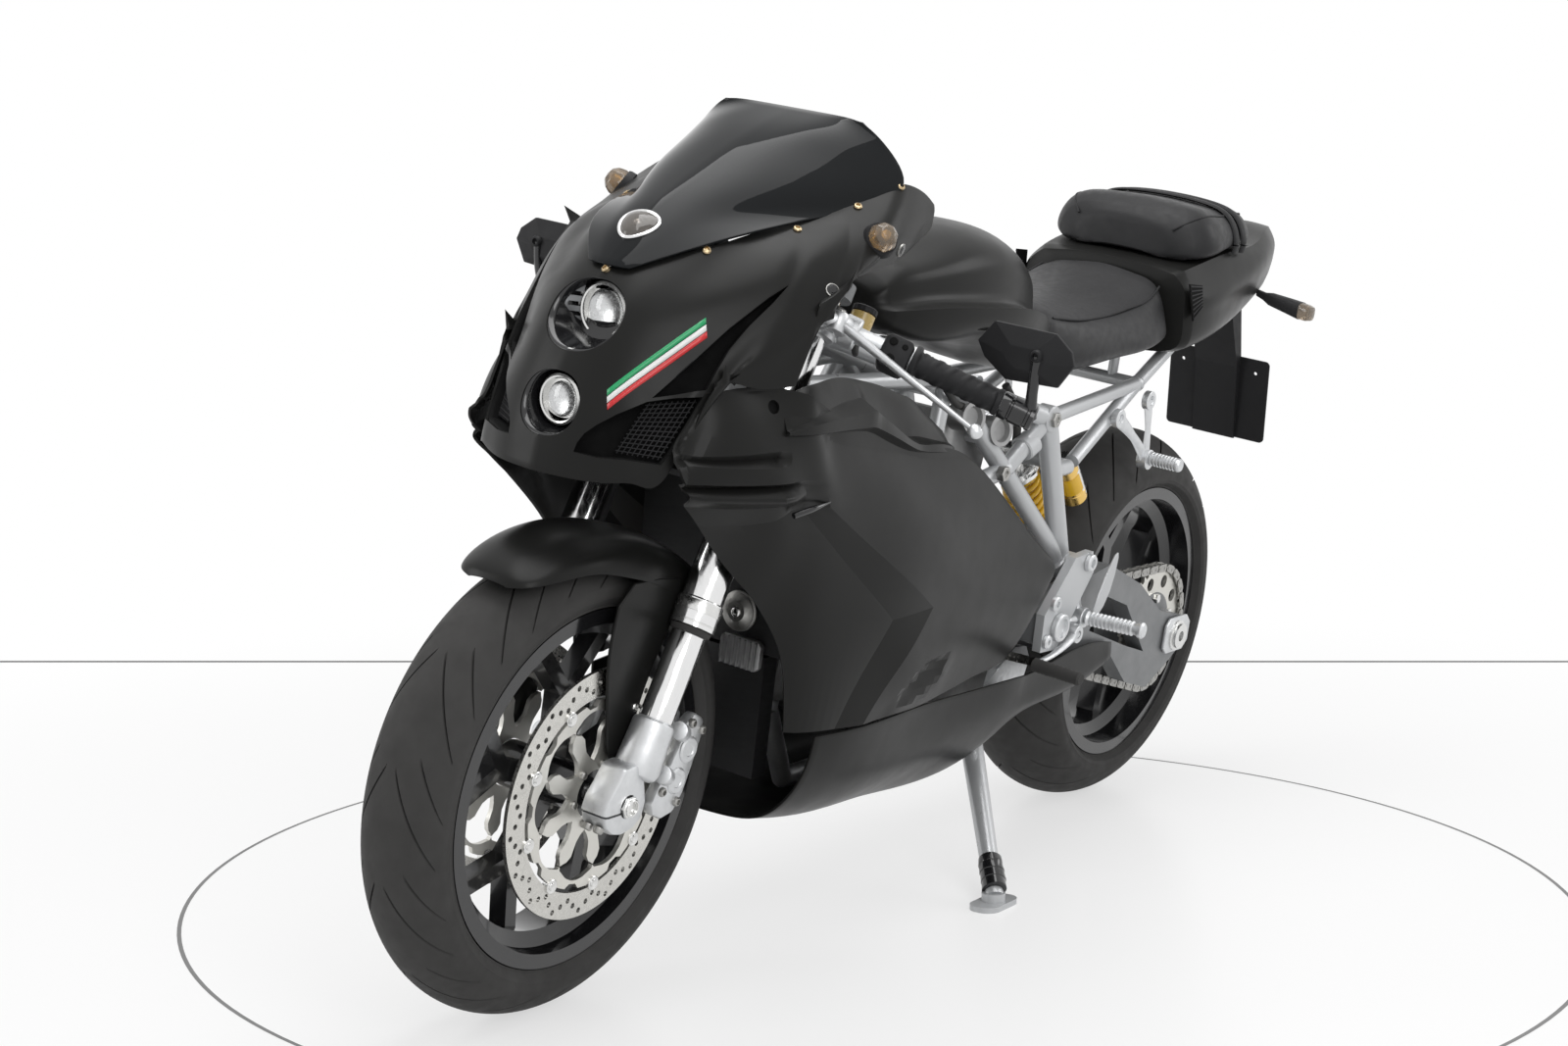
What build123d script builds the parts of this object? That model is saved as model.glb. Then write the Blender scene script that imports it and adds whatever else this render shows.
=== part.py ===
"""A sport motorcycle that leans on its side stand, built as an assembly of separate pieces.

Everything is drawn upright in the bike's own frame, in millimetres: +X is the rider's left, +Y runs
from the front wheel towards the tail, +Z is up, and the origin is on the ground midway between the
axles. The last section leans every piece onto the side stand and centres the whole on the origin.
"""
from build123d import *
from math import asin, atan2, cos, degrees, hypot, radians, sin, sqrt, tan
import os

# ---------------------------------------------------------------------------------------------
# Driving dimensions
# ---------------------------------------------------------------------------------------------
WHEELBASE = 1420.0
FRONT_AXLE_Y = -710.0           # frame datum to the front axle
LEAN_DEG = 9.4                  # resting lean onto the side stand
RUNNING_GAP = 0.3               # clearance of a shaft in its bore, and between faces of two bodies
SEAT_GAP = 0.3                  # clearance of a piece that is seated on its neighbour
PANEL = 4.0                     # wall thickness of the bodywork

RAKE_DEG = 24.5
STEM_LEAD = 36.0                # steering axis to front axle, square to the axis
AXLE_LEAD = 14.0                # fork leg centre line to front axle, square to the axis

FRONT_TYRE_R = 300.0
FRONT_TYRE_W = 120.0
REAR_TYRE_R = 315.0
REAR_TYRE_W = 180.0
BEAD_R = 216.0                  # bead seat of a 17 inch rim
FLANGE_H = 13.0                 # flange above the bead seat
FLANGE_R = BEAD_R + FLANGE_H
FRONT_RIM_HALF = 46.0           # wheel centre plane to the inside of a flange
REAR_RIM_HALF = 71.0

AXLE_R = 12.5
AXLE_BORE_R = 8.5               # both axles are hollow right through
FRONT_HUB_R = 30.0
REAR_HUB_R = 42.0
FRONT_DISC_R = 160.0
FRONT_DISC_X = 68.0             # middle of a disc's thickness
FRONT_DISC_T = 5.0
REAR_DISC_R = 120.0
REAR_DISC_X = -84.0
REAR_DISC_T = 6.0

FORK_X = 107.5
FORK_TUBE_R = 27.0
STANCHION_R = 21.5
FORK_TUBE_LOW = 232.0           # stations along a leg, measured up the axis from the axle
FORK_TUBE_TOP = 722.0
CASTING_TOP = 92.0
LOWER_YOKE_AT = 490.0
UPPER_YOKE_AT = 682.0
YOKE_T = 34.0
HEAD_TUBE_R = 33.0
STEM_R = 15.0

SPROCKET_X = 112.0
SPROCKET_T = 6.0
SPROCKET_R = 103.0              # pitch radius
DRIVE_SPROCKET_R = 36.0
CHAIN_W = 17.0
CHAIN_H = 15.0
DRIVE_AT = (178.0, 392.0)       # (y, z) of the drive sprocket

PIVOT_AT = (240.0, 395.0)       # (y, z) of the swingarm pivot
ARM_IN_X = 127.0                # inner face of a swingarm leg beside the wheel
ARM_OUT_X = 156.0

STAND_PIVOT = (104.0, 172.0, 212.0)
STAND_FOOT_XY = (268.0, 8.0)
STAND_R_TOP = 17.0
STAND_R_FOOT = 13.0
STAND_PAD_T = 8.0
STAND_FOLDED = (62.0, 250.0, 22.0)   # leg direction once it is folded back

# ---------------------------------------------------------------------------------------------
# Derived frames and points
# ---------------------------------------------------------------------------------------------
RAKE = radians(RAKE_DEG)
LEAN = radians(LEAN_DEG)
FRONT_AXLE = Vector(0, FRONT_AXLE_Y, FRONT_TYRE_R)
REAR_AXLE = Vector(0, FRONT_AXLE_Y + WHEELBASE, REAR_TYRE_R)
AHEAD = Vector(0, -cos(RAKE), sin(RAKE))
UP_AXIS = Vector(0, sin(RAKE), cos(RAKE))
STEER_FOOT = FRONT_AXLE - AHEAD * STEM_LEAD
LEG_Y = AXLE_LEAD - STEM_LEAD        # leg centre line in the steering frame, where +y is rearward
# Local x is the bike's left, local y rearward and square to the axis, local z up the axis.
STEER = Plane(origin=STEER_FOOT, x_dir=(1, 0, 0), z_dir=UP_AXIS)
AXLE_Y = -STEM_LEAD


def section(y):
    """Vertical plane across the bike at y, with local (x, y) as the bike's (x, z)."""
    return Plane(origin=(0, y, 0), x_dir=(1, 0, 0), z_dir=(0, -1, 0))


def level(z):
    """Level plane at z, with local (x, y) as the bike's (x, y)."""
    return Plane.XY.offset(z)


def side(x):
    """Plane along the bike at x, with local (x, y) as the bike's (y, z)."""
    return Plane(origin=(x, 0, 0), x_dir=(0, 1, 0), z_dir=(1, 0, 0))


def wheel_plane(axle):
    """Radial plane through an axle, with local x along the axle and local y the radius."""
    return Plane(origin=axle, x_dir=(1, 0, 0), z_dir=(0, -1, 0))


def across(axle, x):
    """Plane square to the axle line at x, with its origin on the axle."""
    return Plane(origin=(x, axle.Y, axle.Z), x_dir=(0, 1, 0), z_dir=(1, 0, 0))


def both_sides(part):
    """A left-hand part together with its mirror image."""
    with BuildPart() as pair:
        add(part)
        mirror(about=Plane.YZ)
    return pair.part


def tube_between(start, end, radius, wall=0.0):
    """Straight round tube or bar from start to end."""
    start, end = Vector(*start), Vector(*end)
    run = end - start
    with BuildPart() as tube:
        with BuildSketch(Plane(origin=start, z_dir=run.normalized())):
            Circle(radius)
            if wall:
                Circle(radius - wall, mode=Mode.SUBTRACT)
        extrude(amount=run.length)
    return tube.part


def tapered_bar(start, end, radius_start, radius_end):
    """Round bar that tapers from start to end."""
    start, end = Vector(*start), Vector(*end)
    run = end - start
    with BuildPart() as bar:
        with BuildSketch(Plane(origin=start, z_dir=run.normalized())):
            Circle(radius_start)
        with BuildSketch(Plane(origin=end, z_dir=run.normalized())):
            Circle(radius_end)
        loft()
    return bar.part


def inset(line, wall):
    """The line moved to its right-hand side by wall, with mitred corners."""
    normals = []
    for (x0, z0), (x1, z1) in zip(line, line[1:]):
        run = hypot(x1 - x0, z1 - z0)
        normals.append(((z1 - z0) / run, -(x1 - x0) / run))
    moved = []
    for index, (x, z) in enumerate(line):
        before = normals[max(index - 1, 0)]
        after = normals[min(index, len(normals) - 1)]
        total = (before[0] + after[0], before[1] + after[1])
        scale = wall / (1 + before[0] * after[0] + before[1] * after[1])
        moved.append((x + total[0] * scale, z + total[1] * scale))
    return moved


def skin(planes_and_lines, wall=PANEL):
    """Curved panel of one wall thickness, lofted through open lines on a row of planes."""
    with BuildPart() as panel:
        for plane, line in planes_and_lines:
            with BuildSketch(plane):
                with BuildLine():
                    Polyline(*line, *reversed(inset(line, wall)), close=True)
                make_face()
        loft(ruled=True)
    return panel.part


def solid_loft(planes_and_outlines):
    """Closed body lofted bay by bay through closed outlines on a row of planes."""
    bays = []
    for pair in zip(planes_and_outlines, planes_and_outlines[1:]):
        with BuildPart() as bay:
            for plane, outline in pair:
                with BuildSketch(plane):
                    with BuildLine():
                        Polyline(*outline, close=True)
                    make_face()
            loft(ruled=True)
        bays.append(bay.part)
    with BuildPart() as body:
        add(bays)
    return body.part


def peg(start, towards, radius, target, gap=SEAT_GAP):
    """Round peg from start along the direction towards, ending just short of the target piece."""
    start, towards = Vector(*start), Vector(*towards).normalized()
    rim = Plane(origin=start, z_dir=towards)
    runs = []
    probes = [Vector(0, 0, 0)] + [Vector(radius, 0, 0).rotate(Axis.Z, turn) for turn in range(0, 360, 30)]
    for probe in probes:
        for point, _ in target.find_intersection_points(Axis(rim.from_local_coords(probe), towards)):
            run = (point - start).dot(towards)
            if run > 0:
                runs.append(run)
    return tube_between(start, start + towards * (min(runs) - gap), radius)


def mirrored_outline(half):
    """Closed outline from its right half, listed from the bottom centre to the top centre."""
    return half + [(-x, z) for x, z in reversed(half) if x > 0]


PIECES = {}

# ---------------------------------------------------------------------------------------------
# Wheels
# ---------------------------------------------------------------------------------------------
TYRE_WALL = 8.0
SIDEWALL_H = 41.0               # bead seat to a tyre's widest point
SIDEWALL_R = BEAD_R + SIDEWALL_H
RIM_WALL = 6.0
WELL_R = 196.0                  # radius of the rim's drop centre
SPOKES = 5
SPOKE_FORK_R = 112.0            # where a spoke splits in two
SPOKE_W = 20.0
SPOKE_SPREAD_DEG = 19.0


def make_tyre(axle, tyre_r, tyre_w, rim_half):
    """Hollow tyre: a tread arc over straight sidewalls down to the beads."""
    half = tyre_w / 2
    bead_in = rim_half - 13
    bead_out = rim_half - SEAT_GAP
    seat = BEAD_R + SEAT_GAP
    lip = FLANGE_R + SEAT_GAP
    with BuildPart() as tyre:
        with BuildSketch(wheel_plane(axle)):
            with BuildLine():
                ThreePointArc((half, SIDEWALL_R), (0, tyre_r), (-half, SIDEWALL_R))
                Polyline(
                    (-half, SIDEWALL_R), (-bead_out - 5, lip), (-bead_out, lip),
                    (-bead_out, seat), (-bead_in, seat), (-bead_in, FLANGE_R), (-half + TYRE_WALL, SIDEWALL_R),
                )
                ThreePointArc(
                    (-half + TYRE_WALL, SIDEWALL_R), (0, tyre_r - TYRE_WALL),
                    (half - TYRE_WALL, SIDEWALL_R),
                )
                Polyline(
                    (half - TYRE_WALL, SIDEWALL_R), (bead_in, FLANGE_R), (bead_in, seat),
                    (bead_out, seat), (bead_out, lip), (bead_out + 5, lip), (half, SIDEWALL_R),
                )
            make_face()
        revolve(axis=Axis(axle, (1, 0, 0)))
    return tyre.part


def make_rim(axle, rim_half, hub_r, hub_half, bore_r, spoke_half):
    """Rim channel, forked spokes and hub in one casting."""
    well_half = rim_half * 0.4
    channel = [
        (-rim_half - RIM_WALL, FLANGE_R), (-rim_half, FLANGE_R), (-rim_half, BEAD_R),
        (-well_half - 8, BEAD_R - 2), (-well_half, WELL_R), (well_half, WELL_R),
        (well_half + 8, BEAD_R - 2), (rim_half, BEAD_R), (rim_half, FLANGE_R),
        (rim_half + RIM_WALL, FLANGE_R), (rim_half + RIM_WALL, BEAD_R - RIM_WALL),
        (well_half + 14, BEAD_R - RIM_WALL - 2), (well_half + 4, WELL_R - RIM_WALL),
        (-well_half - 4, WELL_R - RIM_WALL), (-well_half - 14, BEAD_R - RIM_WALL - 2),
        (-rim_half - RIM_WALL, BEAD_R - RIM_WALL),
    ]
    spread = radians(SPOKE_SPREAD_DEG)
    tip_r = WELL_R - RIM_WALL / 2
    tip = (tip_r * cos(spread), tip_r * sin(spread))
    arm = hypot(tip[0] - SPOKE_FORK_R, tip[1])
    arm_deg = degrees(atan2(tip[1], tip[0] - SPOKE_FORK_R))
    with BuildPart() as rim:
        with BuildSketch(wheel_plane(axle)):
            with BuildLine():
                Polyline(*channel, close=True)
            make_face()
        revolve(axis=Axis(axle, (1, 0, 0)))
        with BuildSketch(across(axle, -spoke_half)):
            with PolarLocations(0, SPOKES, start_angle=90):
                with Locations((SPOKE_FORK_R / 2, 0)):
                    Rectangle(SPOKE_FORK_R, SPOKE_W * 1.3)
                for turn in (arm_deg, -arm_deg):
                    with Locations(Location((SPOKE_FORK_R, 0), turn)):
                        with Locations((arm / 2, 0)):
                            Rectangle(arm, SPOKE_W)
        extrude(amount=2 * spoke_half)
        with BuildSketch(across(axle, -hub_half)):
            Circle(hub_r)
        extrude(amount=2 * hub_half)
        with BuildSketch(across(axle, -hub_half)):
            Circle(bore_r)
        extrude(amount=2 * hub_half, mode=Mode.SUBTRACT)
    return rim.part


def make_disc(axle, middle_x, thickness, disc_r, band, hub_r, bore_r, arms):
    """Brake disc: a drilled band carried by a spider on the hub."""
    hole_r = 4.0
    with BuildPart() as disc:
        with BuildSketch(across(axle, middle_x - thickness / 2)):
            Circle(disc_r)
            Circle(disc_r - band, mode=Mode.SUBTRACT)
            with PolarLocations(disc_r - band / 3, 3 * arms):
                Circle(hole_r, mode=Mode.SUBTRACT)
            Circle(hub_r + 12)
            with PolarLocations(0, arms):
                with Locations(((disc_r - band / 2) / 2, 0)):
                    Rectangle(disc_r - band + 6, 11)
            Circle(bore_r, mode=Mode.SUBTRACT)
        extrude(amount=thickness)
    return disc.part


front_bore_r = AXLE_R + RUNNING_GAP
front_hub_half = FRONT_DISC_X - FRONT_DISC_T / 2 - SEAT_GAP
PIECES["front_tyre"] = make_tyre(FRONT_AXLE, FRONT_TYRE_R, FRONT_TYRE_W, FRONT_RIM_HALF)
PIECES["front_rim"] = make_rim(
    FRONT_AXLE, FRONT_RIM_HALF, FRONT_HUB_R, front_hub_half, front_bore_r, 13.0
)
front_disc = make_disc(
    FRONT_AXLE, FRONT_DISC_X, FRONT_DISC_T, FRONT_DISC_R, 34.0, FRONT_HUB_R, front_bore_r, 9
)
PIECES["front_discs"] = both_sides(front_disc)

REAR_AXLE_R = 12.5
rear_bore_r = REAR_AXLE_R + RUNNING_GAP
rear_hub_half = -REAR_DISC_X - REAR_DISC_T / 2 - SEAT_GAP
PIECES["rear_tyre"] = make_tyre(REAR_AXLE, REAR_TYRE_R, REAR_TYRE_W, REAR_RIM_HALF)
PIECES["rear_rim"] = make_rim(
    REAR_AXLE, REAR_RIM_HALF, REAR_HUB_R, rear_hub_half, rear_bore_r, 16.0
)
PIECES["rear_disc"] = make_disc(
    REAR_AXLE, REAR_DISC_X, REAR_DISC_T, REAR_DISC_R, 34.0, REAR_HUB_R, rear_bore_r, 6
)

# Rear sprocket on its carrier, with lightening holes. Its teeth run in the groove of the chain.
SPROCKET_TIP_R = SPROCKET_R + 3.0
CARRIER_R = 62.0
with BuildPart() as sprocket:
    with BuildSketch(across(REAR_AXLE, SPROCKET_X - SPROCKET_T / 2)):
        Circle(SPROCKET_TIP_R)
        with PolarLocations((CARRIER_R + SPROCKET_R) / 2, 10):
            Circle(10, mode=Mode.SUBTRACT)
    extrude(amount=SPROCKET_T)
    with BuildSketch(across(REAR_AXLE, rear_hub_half + SEAT_GAP)):
        Circle(CARRIER_R)
    extrude(amount=SPROCKET_X - rear_hub_half - SEAT_GAP)
    with BuildSketch(across(REAR_AXLE, rear_hub_half)):
        Circle(rear_bore_r)
    extrude(amount=SPROCKET_X, mode=Mode.SUBTRACT)
PIECES["rear_sprocket"] = sprocket.part

# Chain: a loop round both sprockets, grooved inside so that the teeth clear it all round.
CHAIN_GROOVE_W = SPROCKET_T + 4.0
CHAIN_WEB = 5.0                 # outermost part of the loop that joins its two rows of plates
run_y = REAR_AXLE.Y - DRIVE_AT[0]
run_z = REAR_AXLE.Z - DRIVE_AT[1]
run_tilt = atan2(run_z, run_y)
contact = asin((SPROCKET_R - DRIVE_SPROCKET_R) / hypot(run_y, run_z))


def chain_outline(offset):
    """Outline of the loop at offset outside the pitch line, for the sketch on side(0)."""
    up, down = run_tilt + radians(90) + contact, run_tilt - radians(90) - contact
    ends = []
    for (y, z), radius in (
        ((REAR_AXLE.Y, REAR_AXLE.Z), SPROCKET_R), (DRIVE_AT, DRIVE_SPROCKET_R)
    ):
        reach = radius + offset
        ends.append([
            (y + reach * cos(angle), z + reach * sin(angle))
            for angle in (up, down)
        ])
    (rear_top, rear_low), (drive_top, drive_low) = ends
    nose_r = DRIVE_SPROCKET_R + offset
    heel_r = SPROCKET_R + offset
    nose = (DRIVE_AT[0] - nose_r * cos(run_tilt), DRIVE_AT[1] - nose_r * sin(run_tilt))
    heel = (REAR_AXLE.Y + heel_r * cos(run_tilt), REAR_AXLE.Z + heel_r * sin(run_tilt))
    with BuildLine() as loop:
        ThreePointArc(rear_low, heel, rear_top)
        Line(rear_top, drive_top)
        ThreePointArc(drive_top, nose, drive_low)
        Line(drive_low, rear_low)
    return loop.line


with BuildPart() as chain:
    with BuildSketch(side(SPROCKET_X - CHAIN_W / 2)):
        make_face(chain_outline(CHAIN_H / 2))
        make_face(chain_outline(-CHAIN_H / 2), mode=Mode.SUBTRACT)
    extrude(amount=CHAIN_W)
    with BuildSketch(side(SPROCKET_X - CHAIN_GROOVE_W / 2)):
        make_face(chain_outline(CHAIN_H / 2 - CHAIN_WEB + 1.5))
    extrude(amount=CHAIN_GROOVE_W, mode=Mode.SUBTRACT)
PIECES["chain"] = chain.part

# ---------------------------------------------------------------------------------------------
# Front end, drawn in the steering frame
# ---------------------------------------------------------------------------------------------


def steer_point(x, y, z):
    """Point of the bike's frame at local (x, y, z) of the steering frame."""
    return STEER_FOOT + Vector(x, 0, 0) - AHEAD * y + UP_AXIS * z


# Upper fork tubes with the wiper collar at the bottom and the cap on top.
with BuildPart() as fork_tube:
    with BuildSketch(STEER.offset(FORK_TUBE_LOW)):
        with Locations((FORK_X, LEG_Y)):
            Circle(FORK_TUBE_R + 2)
    extrude(amount=34)
    with BuildSketch(STEER.offset(FORK_TUBE_LOW + 34)):
        with Locations((FORK_X, LEG_Y)):
            Circle(FORK_TUBE_R)
    extrude(amount=FORK_TUBE_TOP - FORK_TUBE_LOW - 34)
    with BuildSketch(STEER.offset(FORK_TUBE_LOW)):
        with Locations((FORK_X, LEG_Y)):
            Circle(STANCHION_R + SEAT_GAP)
    extrude(amount=60, mode=Mode.SUBTRACT)
PIECES["fork_tubes"] = both_sides(fork_tube.part)

# Stanchions, their axle castings and the axle itself.
CASTING_IN_X = 84.0
CASTING_OUT_X = 128.0
with BuildPart() as fork_bottom:
    with BuildSketch(STEER.offset(CASTING_TOP)):
        with Locations((FORK_X, LEG_Y)):
            Circle(STANCHION_R)
    extrude(amount=FORK_TUBE_LOW + 60 - CASTING_TOP)
    with BuildSketch(STEER.offset(10)):
        with Locations((FORK_X, LEG_Y)):
            Circle(STANCHION_R + 6)
    extrude(amount=CASTING_TOP + 18 - 10)
    with BuildSketch(across(FRONT_AXLE, CASTING_IN_X)):
        Circle(31)
    extrude(amount=CASTING_OUT_X - CASTING_IN_X)
    with BuildSketch(across(FRONT_AXLE, 0)):
        Circle(AXLE_R)
    extrude(amount=CASTING_OUT_X + 4)
    with BuildSketch(across(FRONT_AXLE, FRONT_DISC_X + FRONT_DISC_T / 2 + SEAT_GAP)):
        Circle(AXLE_R + 7)
    extrude(amount=CASTING_IN_X - FRONT_DISC_X - FRONT_DISC_T / 2)
    mirror(about=Plane.YZ)
    with BuildSketch(across(FRONT_AXLE, -CASTING_OUT_X - 10)):
        Circle(AXLE_BORE_R)
    extrude(amount=2 * CASTING_OUT_X + 20, mode=Mode.SUBTRACT)
PIECES["fork_bottoms"] = fork_bottom.part

# Upper and lower yokes with the steering stem.
with BuildPart() as yokes:
    for low, thickness in ((LOWER_YOKE_AT, YOKE_T), (UPPER_YOKE_AT, YOKE_T * 0.6)):
        with BuildSketch(STEER.offset(low)):
            with Locations((FORK_X, LEG_Y), (-FORK_X, LEG_Y)):
                Circle(FORK_TUBE_R + 12)
            Circle(HEAD_TUBE_R + 2)
            with Locations((0, LEG_Y * 0.7)):
                Rectangle(2 * FORK_X, 44)
            with Locations((FORK_X, LEG_Y), (-FORK_X, LEG_Y)):
                Circle(FORK_TUBE_R + SEAT_GAP, mode=Mode.SUBTRACT)
        extrude(amount=thickness)
    with BuildSketch(STEER.offset(LOWER_YOKE_AT)):
        Circle(STEM_R)
    extrude(amount=UPPER_YOKE_AT - LOWER_YOKE_AT + YOKE_T)
PIECES["yokes"] = yokes.part

# Clip-on handlebars: a clamp round each leg, a bar out to the rider's hand, and its grip.
BAR_AT = 655.0                  # clamp's middle, measured up the axis
BAR_ROOT = steer_point(FORK_X + 26, LEG_Y - 32, BAR_AT - 12)
BAR_TIP = Vector(352, -358, 822)
BAR_R = 11.0
GRIP_R = 16.0
BAR_RUN = BAR_TIP - BAR_ROOT
BAR_DIR = BAR_RUN.normalized()
GRIP_LEN = 118.0
GRIP_START = BAR_TIP - BAR_DIR * GRIP_LEN
CLAMP_H = 30.0
with BuildPart() as clip_on:
    with BuildSketch(STEER.offset(BAR_AT - CLAMP_H)):
        with Locations((FORK_X, LEG_Y)):
            Circle(FORK_TUBE_R + 9)
        with Locations((FORK_X + 16, LEG_Y - 34)):
            Rectangle(38, 36)
        with Locations((FORK_X, LEG_Y)):
            Circle(FORK_TUBE_R + SEAT_GAP, mode=Mode.SUBTRACT)
    extrude(amount=CLAMP_H)
    with BuildSketch(Plane(origin=BAR_ROOT - BAR_DIR * 22, z_dir=BAR_DIR)):
        Circle(BAR_R)
    extrude(amount=BAR_RUN.length + 22)
    with BuildSketch(Plane(origin=GRIP_START, z_dir=BAR_DIR)):
        Circle(GRIP_R)
    extrude(amount=GRIP_LEN)
    with BuildSketch(Plane(origin=BAR_TIP, z_dir=BAR_DIR)):
        Circle(GRIP_R + 1)
    extrude(amount=22)
PIECES["handlebars"] = both_sides(clip_on.part)

# Switch blocks, lever perches, levers and the fluid pots.
SWITCH_LEN = 44.0
LEVER_R = 5.5
bar_front = AHEAD
perch_at = BAR_ROOT + BAR_DIR * 46
LEVER_PIVOT = perch_at + bar_front * 34
POT_AT = Vector(122, -336, 878)
LEVER_TIP = Vector(346, -412, 794)
switch_plane = Plane(origin=GRIP_START - BAR_DIR * (SWITCH_LEN + 2), x_dir=UP_AXIS, z_dir=BAR_DIR)
with BuildPart() as control:
    with BuildSketch(switch_plane):
        RectangleRounded(52, 48, 8)
        Circle(BAR_R + SEAT_GAP, mode=Mode.SUBTRACT)
    extrude(amount=SWITCH_LEN)
with BuildPart() as perch:
    with BuildSketch(Plane(origin=perch_at - BAR_DIR * 10, x_dir=UP_AXIS, z_dir=BAR_DIR)):
        Circle(BAR_R + 9)
        with Locations((0, 28)):
            Rectangle(18, 34)
        Circle(BAR_R + SEAT_GAP, mode=Mode.SUBTRACT)
    extrude(amount=22)
    add(tapered_bar(LEVER_PIVOT, LEVER_TIP, 8, LEVER_R))
    add(tube_between(perch_at - AHEAD * 15, POT_AT - UP_AXIS * 10, 6))
    add(tube_between(POT_AT - UP_AXIS * 18, POT_AT + UP_AXIS * 22, 15))
with BuildPart() as controls:
    add(control.part)
    add(perch.part)
    mirror(about=Plane.YZ)
PIECES["controls"] = controls.part

# Bar-end mirrors: a six-sided shell on an arm from each bar end.
MIRROR_AT = Vector(372, -350, 886)
MIRROR_T = 16.0
mirror_outline = [(-66, 6), (-46, 34), (40, 34), (64, 16), (70, 0), (52, -30), (-20, -34), (-54, -12)]
with BuildPart() as mirror_shell:
    with BuildSketch(Plane(origin=MIRROR_AT, x_dir=(1, 0, 0), z_dir=(0, -1, 0))):
        with BuildLine():
            Polyline(*mirror_outline, close=True)
        make_face()
    extrude(amount=MIRROR_T, taper=28)
    with BuildSketch(Plane(origin=BAR_TIP + BAR_DIR * (22 + SEAT_GAP), z_dir=BAR_DIR)):
        Circle(GRIP_R + 1)
    extrude(amount=24)
    add(tube_between(BAR_TIP + BAR_DIR * 40, MIRROR_AT + Vector(26, -10, -4), 6.5))
PIECES["mirrors"] = both_sides(mirror_shell.part)

# ---------------------------------------------------------------------------------------------
# Front mudguard and brake calipers
# ---------------------------------------------------------------------------------------------
GUARD_GAP = 14.0                # tread to mudguard
GUARD_IN_R = FRONT_TYRE_R + GUARD_GAP
guard_axis = Axis(FRONT_AXLE, (1, 0, 0))
GUARD_REAR_DEG = 30.0           # ends of the arch, measured from the vertical
GUARD_ARC_DEG = 59.0
GUARD_HALF = 74.0
LOBE_IN_X = FRONT_DISC_X + FRONT_DISC_T / 2 + 5.0
LOBE_OUT_X = FORK_X - FORK_TUBE_R - 2 - SEAT_GAP
guard_back = radians(GUARD_REAR_DEG)
with BuildPart() as mudguard:
    with BuildSketch(Plane(
        origin=FRONT_AXLE, x_dir=(1, 0, 0), z_dir=(0, -cos(guard_back), sin(guard_back))
    )):
        with BuildLine():
            Polyline(
                (-GUARD_HALF, 262), (-GUARD_HALF, 292), (-52, GUARD_IN_R + 3), (52, GUARD_IN_R + 3),
                (GUARD_HALF, 292), (GUARD_HALF, 262), (GUARD_HALF - PANEL, 262),
                (GUARD_HALF - PANEL, 290), (50, GUARD_IN_R - 1), (-50, GUARD_IN_R - 1),
                (PANEL - GUARD_HALF, 290), (PANEL - GUARD_HALF, 262), close=True,
            )
        make_face()
    revolve(axis=guard_axis, revolution_arc=GUARD_ARC_DEG)
    for inner, outer, outline in (
        (LOBE_IN_X, LOBE_OUT_X, [
            (-702, 352), (-686, 336), (-668, 340), (-646, 420), (-598, 516), (-602, 566),
            (-698, 566), (-716, 470),
        ]),
        (GUARD_HALF - PANEL, LOBE_OUT_X, [(-606, 540), (-610, 562), (-700, 574), (-700, 562)]),
    ):
        for sign in (1, -1):
            with BuildSketch(side(sign * inner)):
                with BuildLine():
                    Polyline(*outline, close=True)
                make_face()
            extrude(amount=sign * (outer - inner))
PIECES["front_mudguard"] = mudguard.part


# Front brake calipers, each on the rear of its axle casting with a slot round the disc.
CALIPER_SLOT = 8.5              # disc middle to a wall of the slot
CALIPER_LUG_X = FORK_X - 9.0
CALIPER_LUGS_UP = (50.0, 92.0)  # up the leg from the axle
CALIPER_AT = (FRONT_AXLE.Y + 138, FRONT_AXLE.Z + 40)
with BuildPart() as caliper:
    with BuildSketch(Plane(origin=(CASTING_IN_X - 38, *CALIPER_AT), x_dir=UP_AXIS, z_dir=(1, 0, 0))):
        RectangleRounded(118, 50, 14)
    extrude(amount=64)
    with BuildSketch(across(FRONT_AXLE, 0)):
        Circle(BEAD_R + 20)
        Circle(WELL_R - RIM_WALL - 8, mode=Mode.SUBTRACT)
    extrude(amount=FRONT_RIM_HALF + RIM_WALL + 6, mode=Mode.SUBTRACT)
    with BuildSketch(across(FRONT_AXLE, FRONT_DISC_X - CALIPER_SLOT)):
        Circle(FRONT_DISC_R + 7)
    extrude(amount=2 * CALIPER_SLOT, mode=Mode.SUBTRACT)
    with BuildSketch(across(FRONT_AXLE, FRONT_DISC_X - 60)):
        Circle(FRONT_DISC_R - 40)
    extrude(amount=120, mode=Mode.SUBTRACT)
    for up in CALIPER_LUGS_UP:
        add(tube_between(
            steer_point(CALIPER_LUG_X, LEG_Y + STANCHION_R + 6 + SEAT_GAP, up),
            steer_point(CALIPER_LUG_X, 60, up), 8,
        ))
PIECES["front_calipers"] = both_sides(caliper.part)

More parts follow.
